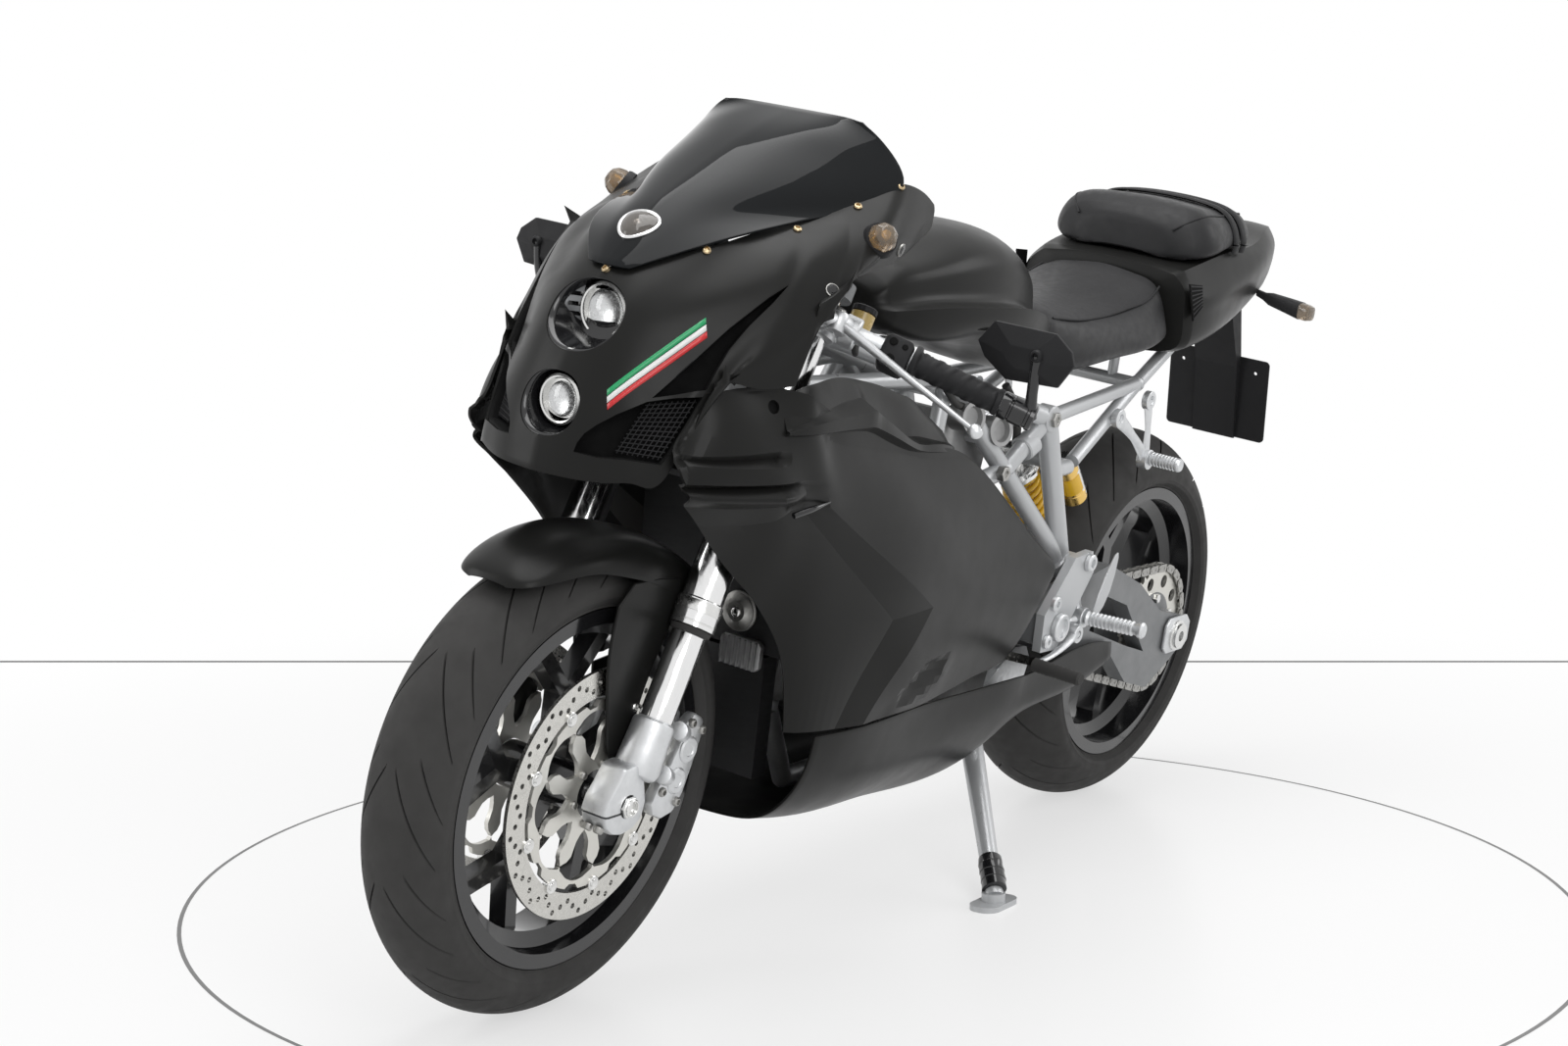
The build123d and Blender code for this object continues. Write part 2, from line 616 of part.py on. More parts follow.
# ---------------------------------------------------------------------------------------------
# Frame, subframe and swingarm
# ---------------------------------------------------------------------------------------------
HEAD_LOW_AT = LOWER_YOKE_AT + YOKE_T + 1.0
HEAD_HIGH_AT = UPPER_YOKE_AT - 1.0
TUBE_R = 15.0
HEAD_HIGH = steer_point(26, 16, HEAD_HIGH_AT - 30)
HEAD_LOW = steer_point(26, 16, HEAD_LOW_AT + 24)
TOP_NODE = (126, 205, 712)      # where the subframe is bolted on
DIAG_NODE = (89, -40, 779)      # where the long diagonal leaves the upper tube
MID_NODE = (112, 130, 640)
LOW_NODE = (118, -110, 600)
RING_NODE = (128, 316, 480)     # upper footrest mount
SUB_LOW = (120, 306, 628)
PLATE_X = ARM_OUT_X + SEAT_GAP  # inner face of the frame's side plates
PLATE_T = 14.0
frame_tubes = [
    # start, end, radius
    (HEAD_HIGH, TOP_NODE, TUBE_R),
    (DIAG_NODE, RING_NODE, TUBE_R - 1),
    (HEAD_LOW, LOW_NODE, TUBE_R - 1),
    (HEAD_LOW, DIAG_NODE, TUBE_R - 3),
    (LOW_NODE, MID_NODE, TUBE_R - 2),
    (LOW_NODE, DIAG_NODE, TUBE_R - 3),
    (MID_NODE, TOP_NODE, TUBE_R - 2),
    (TOP_NODE, RING_NODE, TUBE_R + 1),
]
PIVOT_SHAFT_R = 10.0
plate_outline = [(286, 500), (340, 504), (352, 470), (268, 360), (218, 362), (214, 420)]
with BuildPart() as frame_side:
    for start, end, radius in frame_tubes:
        add(tube_between(start, end, radius))
    with BuildSketch(side(PLATE_X)):
        with BuildLine():
            Polyline(*plate_outline, close=True)
        make_face()
    extrude(amount=PLATE_T)
    add(tube_between(RING_NODE, (PLATE_X + PLATE_T, RING_NODE[1], RING_NODE[2]), 20))
    add(tube_between((126, 246, SUB_LOW[2]), SUB_LOW, 12))
with BuildPart() as frame:
    with BuildSketch(STEER.offset(HEAD_LOW_AT)):
        Circle(HEAD_TUBE_R)
    extrude(amount=HEAD_HIGH_AT - HEAD_LOW_AT)
    add(frame_side.part)
    add(mirror(frame_side.part, about=Plane.YZ))
    for y, z in (TOP_NODE[1:], RING_NODE[1:], SUB_LOW[1:]):
        add(tube_between((-120, y, z), (120, y, z), TUBE_R - 4))
    add(tube_between((-PLATE_X - 2, *PIVOT_AT), (PLATE_X + 2, *PIVOT_AT), PIVOT_SHAFT_R))
    with BuildSketch(STEER.offset(HEAD_LOW_AT)):
        Circle(STEM_R + RUNNING_GAP)
    extrude(amount=HEAD_HIGH_AT - HEAD_LOW_AT, mode=Mode.SUBTRACT)
PIECES["frame"] = frame.part

# Rear subframe: two tubes a side that meet under the seat and run on into the tail.
SUB_TUBE_R = 11.0
SUB_JOIN = (104, 528, 738)
SUB_END = (72, 880, 884)
with BuildPart() as subframe:
    add(tube_between((TOP_NODE[0], TOP_NODE[1] + 21.7, TOP_NODE[2] + 2), SUB_JOIN, SUB_TUBE_R))
    add(tube_between((SUB_LOW[0], SUB_LOW[1] + 13.8, SUB_LOW[2] + 7.4), SUB_JOIN, SUB_TUBE_R))
    add(tube_between(SUB_JOIN, SUB_END, SUB_TUBE_R))
    with Locations(SUB_JOIN):
        Sphere(SUB_TUBE_R + 2)
    mirror(about=Plane.YZ)
    add(tube_between((-SUB_JOIN[0], *SUB_JOIN[1:]), SUB_JOIN, SUB_TUBE_R - 1))
    add(tube_between((-SUB_END[0], *SUB_END[1:]), SUB_END, SUB_TUBE_R - 1))
PIECES["subframe"] = subframe.part

# Swingarm: two legs beside the wheel, a cross member between the chain's runs, a pivot tube.
arm_outline = [
    # share of the run from the pivot to the rear axle, height above that run
    (-0.038, -26), (0.128, -39), (0.34, -36), (0.511, -34), (0.681, -85), (0.853, -93), (0.979, -55),
    (1.089, -18), (1.089, 32), (0.872, 37), (0.681, 79), (0.419, 106), (0.223, 75), (0.096, 59),
    (-0.038, 20),
]
arm_window = [(0.34, -2), (0.638, -24), (0.787, -32), (0.596, 43), (0.404, 57)]


def arm_point(share, up):
    """(y, z) of a point of the swingarm."""
    run_y = REAR_AXLE.Y - PIVOT_AT[0]
    run_z = REAR_AXLE.Z - PIVOT_AT[1]
    return (PIVOT_AT[0] + share * run_y, PIVOT_AT[1] + share * run_z + up)


SHOCK_TYRE_GAP = 38.5           # tread to the lower shock bolt
SHOCK_LOW_Z = 500.0
shock_reach = sqrt((REAR_TYRE_R + SHOCK_TYRE_GAP) ** 2 - (SHOCK_LOW_Z - REAR_AXLE.Z) ** 2)
SHOCK_LOW = Vector(20, REAR_AXLE.Y - shock_reach, SHOCK_LOW_Z)
with BuildPart() as swingarm:
    with BuildSketch(side(ARM_IN_X)):
        with BuildLine():
            Polyline(*[arm_point(*row) for row in arm_outline], close=True)
        make_face()
        with BuildLine():
            Polyline(*[arm_point(*row) for row in arm_window], close=True)
        make_face(mode=Mode.SUBTRACT)
    extrude(amount=ARM_OUT_X - ARM_IN_X)
    with BuildSketch(across(REAR_AXLE, ARM_OUT_X)):
        with Locations((4, 0)):
            RectangleRounded(76, 46, 12)
    extrude(amount=5)
    mirror(about=Plane.YZ)
    with BuildSketch(side(-ARM_IN_X)):
        with BuildLine():
            Polyline((300, 342), (356, 334), (366, 398), (300, 404), close=True)
        make_face()
    extrude(amount=2 * ARM_IN_X)
    add(tube_between((-ARM_IN_X, *PIVOT_AT), (ARM_IN_X, *PIVOT_AT), 21))
    with BuildSketch(side(-12)):
        with BuildLine():
            Polyline(
                (326, 396), (364, 390), (SHOCK_LOW.Y + 12, SHOCK_LOW.Z - 8),
                (SHOCK_LOW.Y + 4, SHOCK_LOW.Z + 4), (SHOCK_LOW.Y - 16, SHOCK_LOW.Z - 2), close=True,
            )
        make_face()
    extrude(amount=14)
    with BuildSketch(side(-PLATE_X)):
        with Locations(PIVOT_AT):
            Circle(PIVOT_SHAFT_R + SEAT_GAP)
    extrude(amount=2 * PLATE_X, mode=Mode.SUBTRACT)
    with BuildSketch(across(REAR_AXLE, -ARM_OUT_X - 10)):
        Circle(REAR_AXLE_R + SEAT_GAP)
    extrude(amount=2 * ARM_OUT_X + 20, mode=Mode.SUBTRACT)
PIECES["swingarm"] = swingarm.part

# Rear axle with its spacers and end nuts, hollow right through.
REAR_SPACER_R = 19.0
NUT_X = ARM_OUT_X + 5 + SEAT_GAP
BRACKET_T = 16.0
sprocket_face = SPROCKET_X + SPROCKET_T / 2
disc_face = REAR_DISC_X - REAR_DISC_T / 2
with BuildPart() as rear_axle:
    with BuildSketch(across(REAR_AXLE, -NUT_X)):
        Circle(REAR_AXLE_R)
    extrude(amount=2 * NUT_X)
    for start, stop, radius in (
        (-NUT_X - 12, -NUT_X, 21), (NUT_X, NUT_X + 12, 21),
        (sprocket_face + RUNNING_GAP, ARM_IN_X - SEAT_GAP, REAR_SPACER_R),
        (-ARM_IN_X + BRACKET_T + 2 * SEAT_GAP, disc_face - RUNNING_GAP, REAR_SPACER_R),
    ):
        with BuildSketch(across(REAR_AXLE, start)):
            Circle(radius)
        extrude(amount=stop - start)
    with BuildSketch(across(REAR_AXLE, -NUT_X - 12)):
        Circle(AXLE_BORE_R)
    extrude(amount=2 * NUT_X + 24, mode=Mode.SUBTRACT)
PIECES["rear_axle"] = rear_axle.part

# Rear caliper under the right-hand leg, on a bracket round the axle.
REAR_CALIPER_AT = (REAR_AXLE.Y - 98, REAR_AXLE.Z - 53)
bracket_outline = [(-120, -65), (-70, -89), (14, -23), (14, 23), (-20, 17), (-110, -19)]
bracket_x = -ARM_IN_X + SEAT_GAP
with BuildPart() as rear_caliper:
    with BuildSketch(side(bracket_x)):
        with BuildLine():
            Polyline(*[(REAR_AXLE.Y + y, REAR_AXLE.Z + z) for y, z in bracket_outline], close=True)
        make_face()
        with Locations((REAR_AXLE.Y, REAR_AXLE.Z)):
            Circle(26)
            Circle(REAR_AXLE_R + SEAT_GAP, mode=Mode.SUBTRACT)
    extrude(amount=BRACKET_T)
    with BuildSketch(Plane(origin=(bracket_x, *REAR_CALIPER_AT), x_dir=(0, 1, -0.6), z_dir=(1, 0, 0))):
        RectangleRounded(92, 50, 12)
    extrude(amount=62)
    with BuildSketch(across(REAR_AXLE, REAR_DISC_X - CALIPER_SLOT)):
        Circle(REAR_DISC_R + 7)
    extrude(amount=2 * CALIPER_SLOT, mode=Mode.SUBTRACT)
PIECES["rear_caliper"] = rear_caliper.part

# Shock absorber: body with remote reservoir, and the spring round it.
SHOCK_HIGH = Vector(20, SUB_LOW[1], SUB_LOW[2])
shock_run = SHOCK_HIGH - SHOCK_LOW
shock_dir = shock_run.normalized()
SPRING_R = 30.0
SPRING_WIRE = 7.0
with BuildPart() as shock:
    add(tube_between(SHOCK_LOW, SHOCK_LOW + shock_dir * (shock_run.length - 12), 17))
    add(tube_between(SHOCK_LOW + shock_dir * 14, SHOCK_LOW + shock_dir * 20, SPRING_R))
    add(tube_between(SHOCK_LOW + shock_dir * 116, SHOCK_LOW + shock_dir * 124, SPRING_R))
    add(tube_between((2 + SEAT_GAP, SHOCK_LOW.Y, SHOCK_LOW.Z), (32, SHOCK_LOW.Y, SHOCK_LOW.Z), 12))
    add(tube_between((8, SHOCK_HIGH.Y, SHOCK_HIGH.Z), (32, SHOCK_HIGH.Y, SHOCK_HIGH.Z), 18))
    add(tube_between((30, 318, 622), (66, 400, 606), 11))
    add(tube_between((66, 452, 560), (66, 400, 616), 20))
    with BuildSketch(side(0)):
        with Locations(SUB_LOW[1:]):
            Circle(TUBE_R - 4 + SEAT_GAP)
    extrude(amount=60, mode=Mode.SUBTRACT)
PIECES["shock_body"] = shock.part
PIECES["shock_spring"] = tube_between(
    SHOCK_LOW + shock_dir * 20.3, SHOCK_LOW + shock_dir * 115.7, SPRING_R - 1, SPRING_WIRE
)

# ---------------------------------------------------------------------------------------------
# Engine, radiator and exhaust
# ---------------------------------------------------------------------------------------------
CRANK_AT = (12.0, 362.0)        # (y, z)
BANK_DEG = 10.0
CYL_HALF_X = 66.0
HEAD_HALF_X = 80.0
HEAD_LEN = 150.0
CASE_HALF_X = 96.0
bank = radians(BANK_DEG)
crank = Vector(0, *CRANK_AT)
forward = Vector(0, -cos(bank), sin(bank))
upward = Vector(0, sin(bank), cos(bank))
case_outline = [
    (-105, 300), (-60, 250), (120, 236), (190, 262), (206, 330), (206, 440), (150, 462),
    (60, 470), (-60, 450), (-105, 410),
]
with BuildPart() as engine:
    with BuildSketch(side(-CASE_HALF_X)):
        with BuildLine():
            Polyline(*case_outline, close=True)
        make_face()
    extrude(amount=2 * CASE_HALF_X)
    for direction, reach in ((forward, 366), (upward, 356)):
        barrel = Plane(origin=crank, x_dir=(1, 0, 0), z_dir=direction)
        with BuildSketch(barrel.offset(80)):
            Rectangle(2 * CYL_HALF_X, 122)
        extrude(amount=reach - HEAD_LEN - 80)
        with BuildSketch(barrel.offset(reach - HEAD_LEN)):
            RectangleRounded(2 * HEAD_HALF_X, 140, 22)
        extrude(amount=HEAD_LEN)
    with BuildSketch(side(-CASE_HALF_X - 14)):
        with Locations(CRANK_AT):
            Circle(86)
    extrude(amount=2 * CASE_HALF_X + 28)
    with BuildSketch(side(CASE_HALF_X)):
        with Locations(DRIVE_AT):
            Circle(16)
    extrude(amount=SPROCKET_X + SPROCKET_T / 2 - CASE_HALF_X)
    with BuildSketch(side(SPROCKET_X - SPROCKET_T / 2)):
        with Locations(DRIVE_AT):
            Circle(DRIVE_SPROCKET_R - CHAIN_H / 2 - SEAT_GAP)
    extrude(amount=SPROCKET_T)
PIECES["engine"] = engine.part

# Radiator, and the oil cooler below it.
with BuildPart() as radiator:
    with BuildSketch(side(-118)):
        with BuildLine():
            Polyline((-408, 436), (-376, 436), (-396, 640), (-428, 640), close=True)
        make_face()
    extrude(amount=236)
    with BuildSketch(side(-92)):
        with BuildLine():
            Polyline((-396, 262), (-366, 262), (-374, 430), (-404, 430), close=True)
        make_face()
    extrude(amount=184)
    for half_x in (60, -72):
        with BuildSketch(side(half_x)):
            with BuildLine():
                Polyline((-400, 424), (-372, 424), (-376, 442), (-404, 442), close=True)
            make_face()
        extrude(amount=12)
PIECES["radiator"] = radiator.part

# Exhaust: a pipe from the forward head under the crankcase to the silencer in the belly.
PIPE_R = 14.0
PIPE_X = 40.0
PIPE_LOW_Z = 218.0
PIPE_TOP = (PIPE_X, -300, 330)
pipe_front = (PIPE_X, -240, PIPE_LOW_Z)
pipe_rear = (PIPE_X, 120, PIPE_LOW_Z)
with BuildPart() as exhaust:
    with BuildSketch(side(-70)):
        with BuildLine():
            Polyline((212, 247), (372, 266), (384, 300), (366, 324), (330, 326), (214, 256), close=True)
        make_face()
    extrude(amount=140)
    with BuildSketch(across(REAR_AXLE, -200)):
        Circle(REAR_TYRE_R + 12)
    extrude(amount=400, mode=Mode.SUBTRACT)
    add(tube_between(PIPE_TOP, pipe_front, PIPE_R))
    add(tube_between(pipe_front, pipe_rear, PIPE_R))
    add(tube_between(pipe_rear, (PIPE_X, 236, 256), PIPE_R))
    for corner in (pipe_front, pipe_rear):
        with Locations(corner):
            Sphere(PIPE_R)
PIECES["exhaust"] = exhaust.part

# ---------------------------------------------------------------------------------------------
# Bodywork: hollow shells. Lines on the left run from top to bottom so that the wall lies inside.
# ---------------------------------------------------------------------------------------------
nose_stations = [
    # z, then the left half of the outline from the side to the middle as (x, y)
    (700, [(137, -745), (70, -800), (0, -815)]),
    (782, [(142, -722), (72, -783), (0, -800)]),
    (820, [(148, -696), (74, -766), (0, -783)]),
    (888, [(160, -640), (76, -730), (0, -750)]),
    (936, [(146, -614), (60, -692), (0, -707)]),
    (972, [(98, -584), (60, -612), (0, -630)]),
]
LAMP_HIGH = (-708.0, 888.0)     # (y, z) of the lamp lenses
LAMP_LOW = (-770.0, 782.0)
POSITION_LAMP_AT = Vector(0, -654, 972)
POSITION_LAMP_END = POSITION_LAMP_AT + Vector(0, 9, -12)
POSITION_LAMP_R = 18.0
with BuildPart() as nose:
    add(skin([
        (level(z), half + [(-x, y) for x, y in reversed(half[:-1])])
        for z, half in nose_stations
    ]))
    for (y, z), half_w, half_h in ((LAMP_HIGH, 62, 24), (LAMP_LOW, 36, 27)):
        with BuildSketch(section(y + 120)):
            with Locations((0, z)):
                Ellipse(half_w, half_h)
        extrude(amount=260, mode=Mode.SUBTRACT)
    add(
        tube_between(
            POSITION_LAMP_AT + Vector(0, -18, 24), POSITION_LAMP_AT + Vector(0, 45, -60),
            POSITION_LAMP_R + SEAT_GAP,
        ),
        mode=Mode.SUBTRACT,
    )
PIECES["nose_fairing"] = nose.part

# Lamp units: a lens in front of a tapered reflector bowl.
with BuildPart() as lamps:
    for (y, z), half_w, half_h in ((LAMP_HIGH, 56, 20), (LAMP_LOW, 31, 23)):
        with BuildSketch(section(y)):
            with Locations((0, z)):
                Ellipse(half_w, half_h)
        with BuildSketch(section(y + 58)):
            with Locations((0, z)):
                Ellipse(half_w * 0.6, half_h * 0.7)
        loft()
    with BuildSketch(side(-12)):
        with BuildLine():
            Polyline((-722, 776), (-706, 776), (-650, 885), (-646, 932), (-658, 932), (-664, 886), close=True)
        make_face()
    extrude(amount=24)
PIECES["headlights"] = lamps.part

PIECES["position_lamp"] = tube_between(POSITION_LAMP_AT, POSITION_LAMP_END, POSITION_LAMP_R)


flank_stations = [
    # y, then (x, z) from the top edge to the bottom edge
    (-688, [(158, 836), (160, 829), (160, 819)]),
    (-620, [(178, 925), (188, 872), (186, 823)]),
    (-582, [(109, 972), (194, 906), (200, 828)]),
    (-564, [(114, 980), (190, 948), (200, 920)]),
    (-515, [(130, 1004), (184, 974), (198, 946)]),
    (-480, [(138, 1014), (182, 981), (198, 951)]),
    (-414, [(154, 1038), (182, 1000), (197, 962)]),
    (-355, [(168, 1060), (182, 1020), (191, 978)]),
    (-280, [(168, 1041), (172, 1024), (174, 1006)]),
]
flank = skin([(section(y), line) for y, line in flank_stations])
PIECES["flank_left"] = flank
PIECES["flank_right"] = mirror(flank, about=Plane.YZ)

panel_stations = [
    (-728, [(146, 750), (162, 728), (163, 708), (154, 688)]),
    (-690, [(156, 810), (182, 756), (184, 714), (155, 652)]),
    (-605, [(184, 816), (208, 740), (206, 690), (147, 572)]),
    (-557, [(202, 818), (212, 720), (208, 650), (148, 512)]),
    (-505, [(200, 764), (216, 680), (204, 590), (154, 440)]),
    (-459, [(198, 744), (217, 640), (208, 540), (184, 362)]),
    (-303, [(186, 718), (220, 600), (226, 503), (203, 356)]),
    (-194, [(180, 698), (214, 580), (216, 440), (198, 360)]),
    (-100, [(172, 690), (204, 560), (208, 450), (186, 352)]),
    (120, [(178, 556), (187, 510), (188, 460), (182, 392)]),
    (196, [(180, 508), (183, 500), (183, 490), (180, 480)]),
]
side_panel = skin([(section(y), line) for y, line in panel_stations])
PIECES["side_panel_left"] = side_panel
PIECES["side_panel_right"] = mirror(side_panel, about=Plane.YZ)

belly_stations = [
    # y, then (x, z) from the left top edge down to the middle
    (-405, [(186, 350), (174, 290), (120, 220), (0, 200)]),
    (-340, [(196, 350), (180, 280), (116, 206), (0, 192)]),
    (-142, [(186, 346), (170, 262), (104, 188), (0, 180)]),
    (40, [(184, 342), (172, 276), (112, 184), (0, 172)]),
    (145, [(183, 340), (176, 286), (122, 214), (0, 184)]),
    (167, [(180, 338), (176, 288), (126, 230), (0, 196)]),
    (379, [(170, 352), (168, 293), (110, 262), (0, 226)]),
    (468, [(165, 340), (166, 312), (118, 290), (0, 250)]),
]
with BuildPart() as belly:
    add(skin([
        (section(y), half + [(-x, z) for x, z in reversed(half[:-1])])
        for y, half in belly_stations
    ]))
    with BuildSketch(across(REAR_AXLE, -104)):
        Circle(REAR_TYRE_R + 20)
    extrude(amount=208, mode=Mode.SUBTRACT)
    with BuildSketch(level(150)):
        with Locations((98, 192)):
            Rectangle(78, 126)
        with Locations((0, 420)):
            Rectangle(252, 150)
    extrude(amount=180, mode=Mode.SUBTRACT)
PIECES["belly_pan"] = belly.part

duct_stations = [
    (-552, [(188, 816), (191, 802), (192, 786)]),
    (-500, [(184, 812), (189, 785), (191, 754)]),
    (-400, [(164, 806), (178, 776), (185, 724)]),
    (-330, [(160, 796), (173, 764), (180, 714)]),
    (-193, [(158, 756), (167, 728), (173, 690)]),
    (-106, [(156, 712), (160, 700), (165, 684)]),
]
duct = skin([(section(y), line) for y, line in duct_stations])
PIECES["air_ducts"] = both_sides(duct)

screen_stations = [
    # z, then the left half from the side to the middle as (x, y)
    (938, [(30, -711), (15, -717), (0, -719)]),
    (976, [(88, -639), (46, -664), (0, -676)]),
    (1014, [(134, -478), (84, -560), (0, -622)]),
    (1062, [(168, -358), (120, -446), (0, -532)]),
    (1100, [(140, -360), (84, -428), (0, -454)]),
    (1129, [(106, -372), (54, -370), (0, -368)]),
]
PIECES["windscreen"] = skin([
    (level(z), half + [(-x, y) for x, y in reversed(half[:-1])])
    for z, half in screen_stations
], wall=3.0)

# Dashboard behind the screen, on a stay down to the head tube.
with BuildPart() as dashboard:
    with BuildSketch(Plane(origin=(0, -584, 950), x_dir=(1, 0, 0), z_dir=(0, 0.80, 0.60))):
        RectangleRounded(136, 68, 14)
    extrude(amount=24)
PIECES["dashboard"] = dashboard.part

# ---------------------------------------------------------------------------------------------
# Tank, seats and tail
# ---------------------------------------------------------------------------------------------
tank_stations = [
    # y, then the left half of the outline from the bottom middle to the top middle as (x, z)
    (-262, [(0, 860), (96, 862), (108, 884), (70, 916), (0, 926)]),
    (-174, [(0, 836), (128, 844), (136, 884), (98, 944), (0, 962)]),
    (-67, [(0, 822), (138, 846), (158, 880), (110, 962), (0, 984)]),
    (44, [(0, 806), (140, 830), (160, 872), (104, 962), (0, 986)]),
    (120, [(0, 780), (128, 800), (142, 850), (92, 942), (0, 966)]),
    (186, [(0, 764), (108, 782), (116, 830), (70, 914), (0, 930)]),
]
with BuildPart() as tank:
    add(solid_loft([(section(y), mirrored_outline(half)) for y, half in tank_stations]))
    add(solid_loft([
        (section(y), [(x - 3 if x > 3 else x + 3 if x < -3 else x, z + (3 if z < 860 else -3))
                      for x, z in mirrored_outline(half)])
        for y, half in tank_stations[1:-1]
    ]), mode=Mode.SUBTRACT)
    with Locations((0, -60, 978)):
        Cylinder(38, 20)
PIECES["fuel_tank"] = tank.part

seat_stations = [
    (190, [(0, 776), (104, 776), (110, 800), (90, 872), (0, 884)]),
    (260, [(0, 770), (118, 776), (134, 800), (116, 862), (0, 872)]),
    (392, [(0, 782), (124, 788), (142, 808), (112, 864), (0, 872)]),
    (500, [(0, 790), (120, 796), (140, 814), (110, 880), (0, 890)]),
    (560, [(0, 800), (110, 806), (130, 824), (100, 900), (0, 914)]),
]
PIECES["rider_seat"] = solid_loft([
    (section(y), mirrored_outline(half)) for y, half in seat_stations
])

pad_stations = [
    (602, [(0, 930), (96, 926), (118, 936), (100, 976), (0, 992)]),
    (640, [(0, 934), (118, 932), (140, 950), (116, 1002), (0, 1016)]),
    (760, [(0, 946.5), (116, 950.5), (132, 964), (108, 1004), (0, 1016)]),
    (860, [(0, 953), (98, 956.5), (112, 968), (84, 1002), (0, 1010)]),
]
PIECES["pillion_seat"] = solid_loft([
    (section(y), mirrored_outline(half)) for y, half in pad_stations
])

tail_stations = [
    # y, then (x, z) from the middle of the top, round the left side, to the middle below
    (289, [(0, 766), (110, 764), (140, 770), (140, 764), (110, 752), (0, 752)]),
    (560, [(0, 794), (110, 800), (150, 812), (148, 790), (104, 772), (0, 770)]),
    (600, [(0, 928), (126, 922), (156, 880), (150, 802), (104, 790), (0, 788)]),
    (745, [(0, 944), (128, 948), (150, 900), (138, 828), (100, 812), (0, 808)]),
    (872, [(0, 952), (112, 956), (134, 930), (112, 850), (88, 836), (0, 830)]),
    (965, [(0, 974), (88, 976), (104, 940), (92, 872), (70, 858), (0, 856)]),
    (1040, [(0, 968), (60, 966), (74, 940), (66, 880), (50, 870), (0, 868)]),
    (1090, [(0, 930), (40, 926), (54, 912), (50, 884), (36, 878), (0, 875)]),
]


def tail_outline(half, wall):
    """Closed tail section, drawn inwards by wall."""
    ring = half + [(-x, z) for x, z in reversed(half[1:-1])]
    middle = (half[0][1] + half[-1][1]) / 2
    return [
        (x - wall * (1 if x > 20 else -1 if x < -20 else 0), z - wall * (1 if z > middle else -1))
        for x, z in ring
    ]


with BuildPart() as tail:
    add(solid_loft([(section(y), tail_outline(half, 0)) for y, half in tail_stations[1:]]))
    add(solid_loft([(section(y), tail_outline(half, 4)) for y, half in tail_stations[2:-1]]),
        mode=Mode.SUBTRACT)
    with BuildSketch(side(-110)):
        with BuildLine():
            Polyline((540, 740), (900, 800), (900, 880), (700, 850), (540, 800), close=True)
        make_face()
    extrude(amount=220, mode=Mode.SUBTRACT)
PIECES["tail_unit"] = tail.part

with BuildPart() as tail_lamp:
    with BuildSketch(section(1090.5)):
        with Locations((0, 903)):
            RectangleRounded(70, 34, 10)
    extrude(amount=-12)
PIECES["tail_lamp"] = tail_lamp.part

# Rear indicators on stalks and number plate holder.
with BuildPart() as indicator:
    add(tube_between((92.6, 960, 866), (150, 978, 852), 7))
    for x, half_y, half_z in ((146, 22, 12), (206, 30, 15)):
        with BuildSketch(side(x)):
            with Locations((976 + (x - 146) / 3, 852 - (x - 146) / 5)):
                Ellipse(half_y, half_z)
    loft()
PIECES["indicators"] = both_sides(indicator.part)

PLATE_Z = (590.0, 740.0)
PLATE_W = 190.0
NUMBER_PLATE_T = 3.0
NUMBER_PLATE_AT = Vector(0, 1075, 665)
PLATE_FACING = Vector(0, 1, 0.22).normalized()
PLATE_HOLE_R = 3.2
PLATE_HOLE_X = 70.0
PLATE_HOLE_UP = 50.0            # above the plate's middle
with BuildPart() as holder:
    with BuildSketch(side(-40)):
        with BuildLine():
            Polyline(
                (948, 850.6), (1012, 860.6), (1060, 740), (1092, 590), (1086, 590),
                (1050, 720), (990, 820), (948, 840), close=True,
            )
        make_face()
    extrude(amount=80)
    with BuildSketch(Plane(origin=NUMBER_PLATE_AT, x_dir=(-1, 0, 0), z_dir=PLATE_FACING)):
        RectangleRounded(PLATE_W, PLATE_Z[1] - PLATE_Z[0], 8)
        with Locations((-PLATE_HOLE_X, PLATE_HOLE_UP), (PLATE_HOLE_X, PLATE_HOLE_UP)):
            Circle(PLATE_HOLE_R, mode=Mode.SUBTRACT)
    extrude(amount=NUMBER_PLATE_T)
PIECES["plate_holder"] = holder.part

# ---------------------------------------------------------------------------------------------
# Footrests and side stand
# ---------------------------------------------------------------------------------------------
BRACKET_X = PLATE_X + PLATE_T + SEAT_GAP
rest_outline = [(326, 496), (352, 486), (368, 440), (366, 380), (340, 352), (306, 366), (300, 400), (318, 450)]
with BuildPart() as footrest:
    with BuildSketch(side(BRACKET_X)):
        with BuildLine():
            Polyline(*rest_outline, close=True)
        make_face()
    extrude(amount=9)
    with BuildSketch(side(BRACKET_X + 2)):
        with BuildLine():
            Polyline((350, 452), (402, 500), (410, 486), (392, 420), (366, 380), close=True)
        make_face()
    extrude(amount=4)
    add(tube_between((BRACKET_X + 2, 347, 395), (268, 356, 402), 11))
    add(tube_between((BRACKET_X + 2, 318, 378), (BRACKET_X + 22, 318, 378), 14))
    add(tube_between((BRACKET_X + 16, 318, 378), (BRACKET_X + 30, 176, 356), 7))
    add(tube_between((BRACKET_X + 26, 176, 356), (270, 168, 356), 10))
with BuildPart() as footrest_right:
    add(mirror(footrest.part, about=Plane.YZ))
PIECES["footrest_left"] = footrest.part
PIECES["footrest_right"] = footrest_right.part

PILLION_BRACKET_X = 122.8       # inner face, against the subframe's tubes
with BuildPart() as pillion_rest:
    with BuildSketch(side(PILLION_BRACKET_X)):
        with BuildLine():
            Polyline((430, 690), (528, 722), (545, 700), (568, 640), (564, 606), (536, 610), close=True)
        make_face()
    extrude(amount=9)
    add(tube_between((PILLION_BRACKET_X + 1, 552, 620), (190, 556, 622), 11))
PIECES["pillion_footrests"] = both_sides(pillion_rest.part)

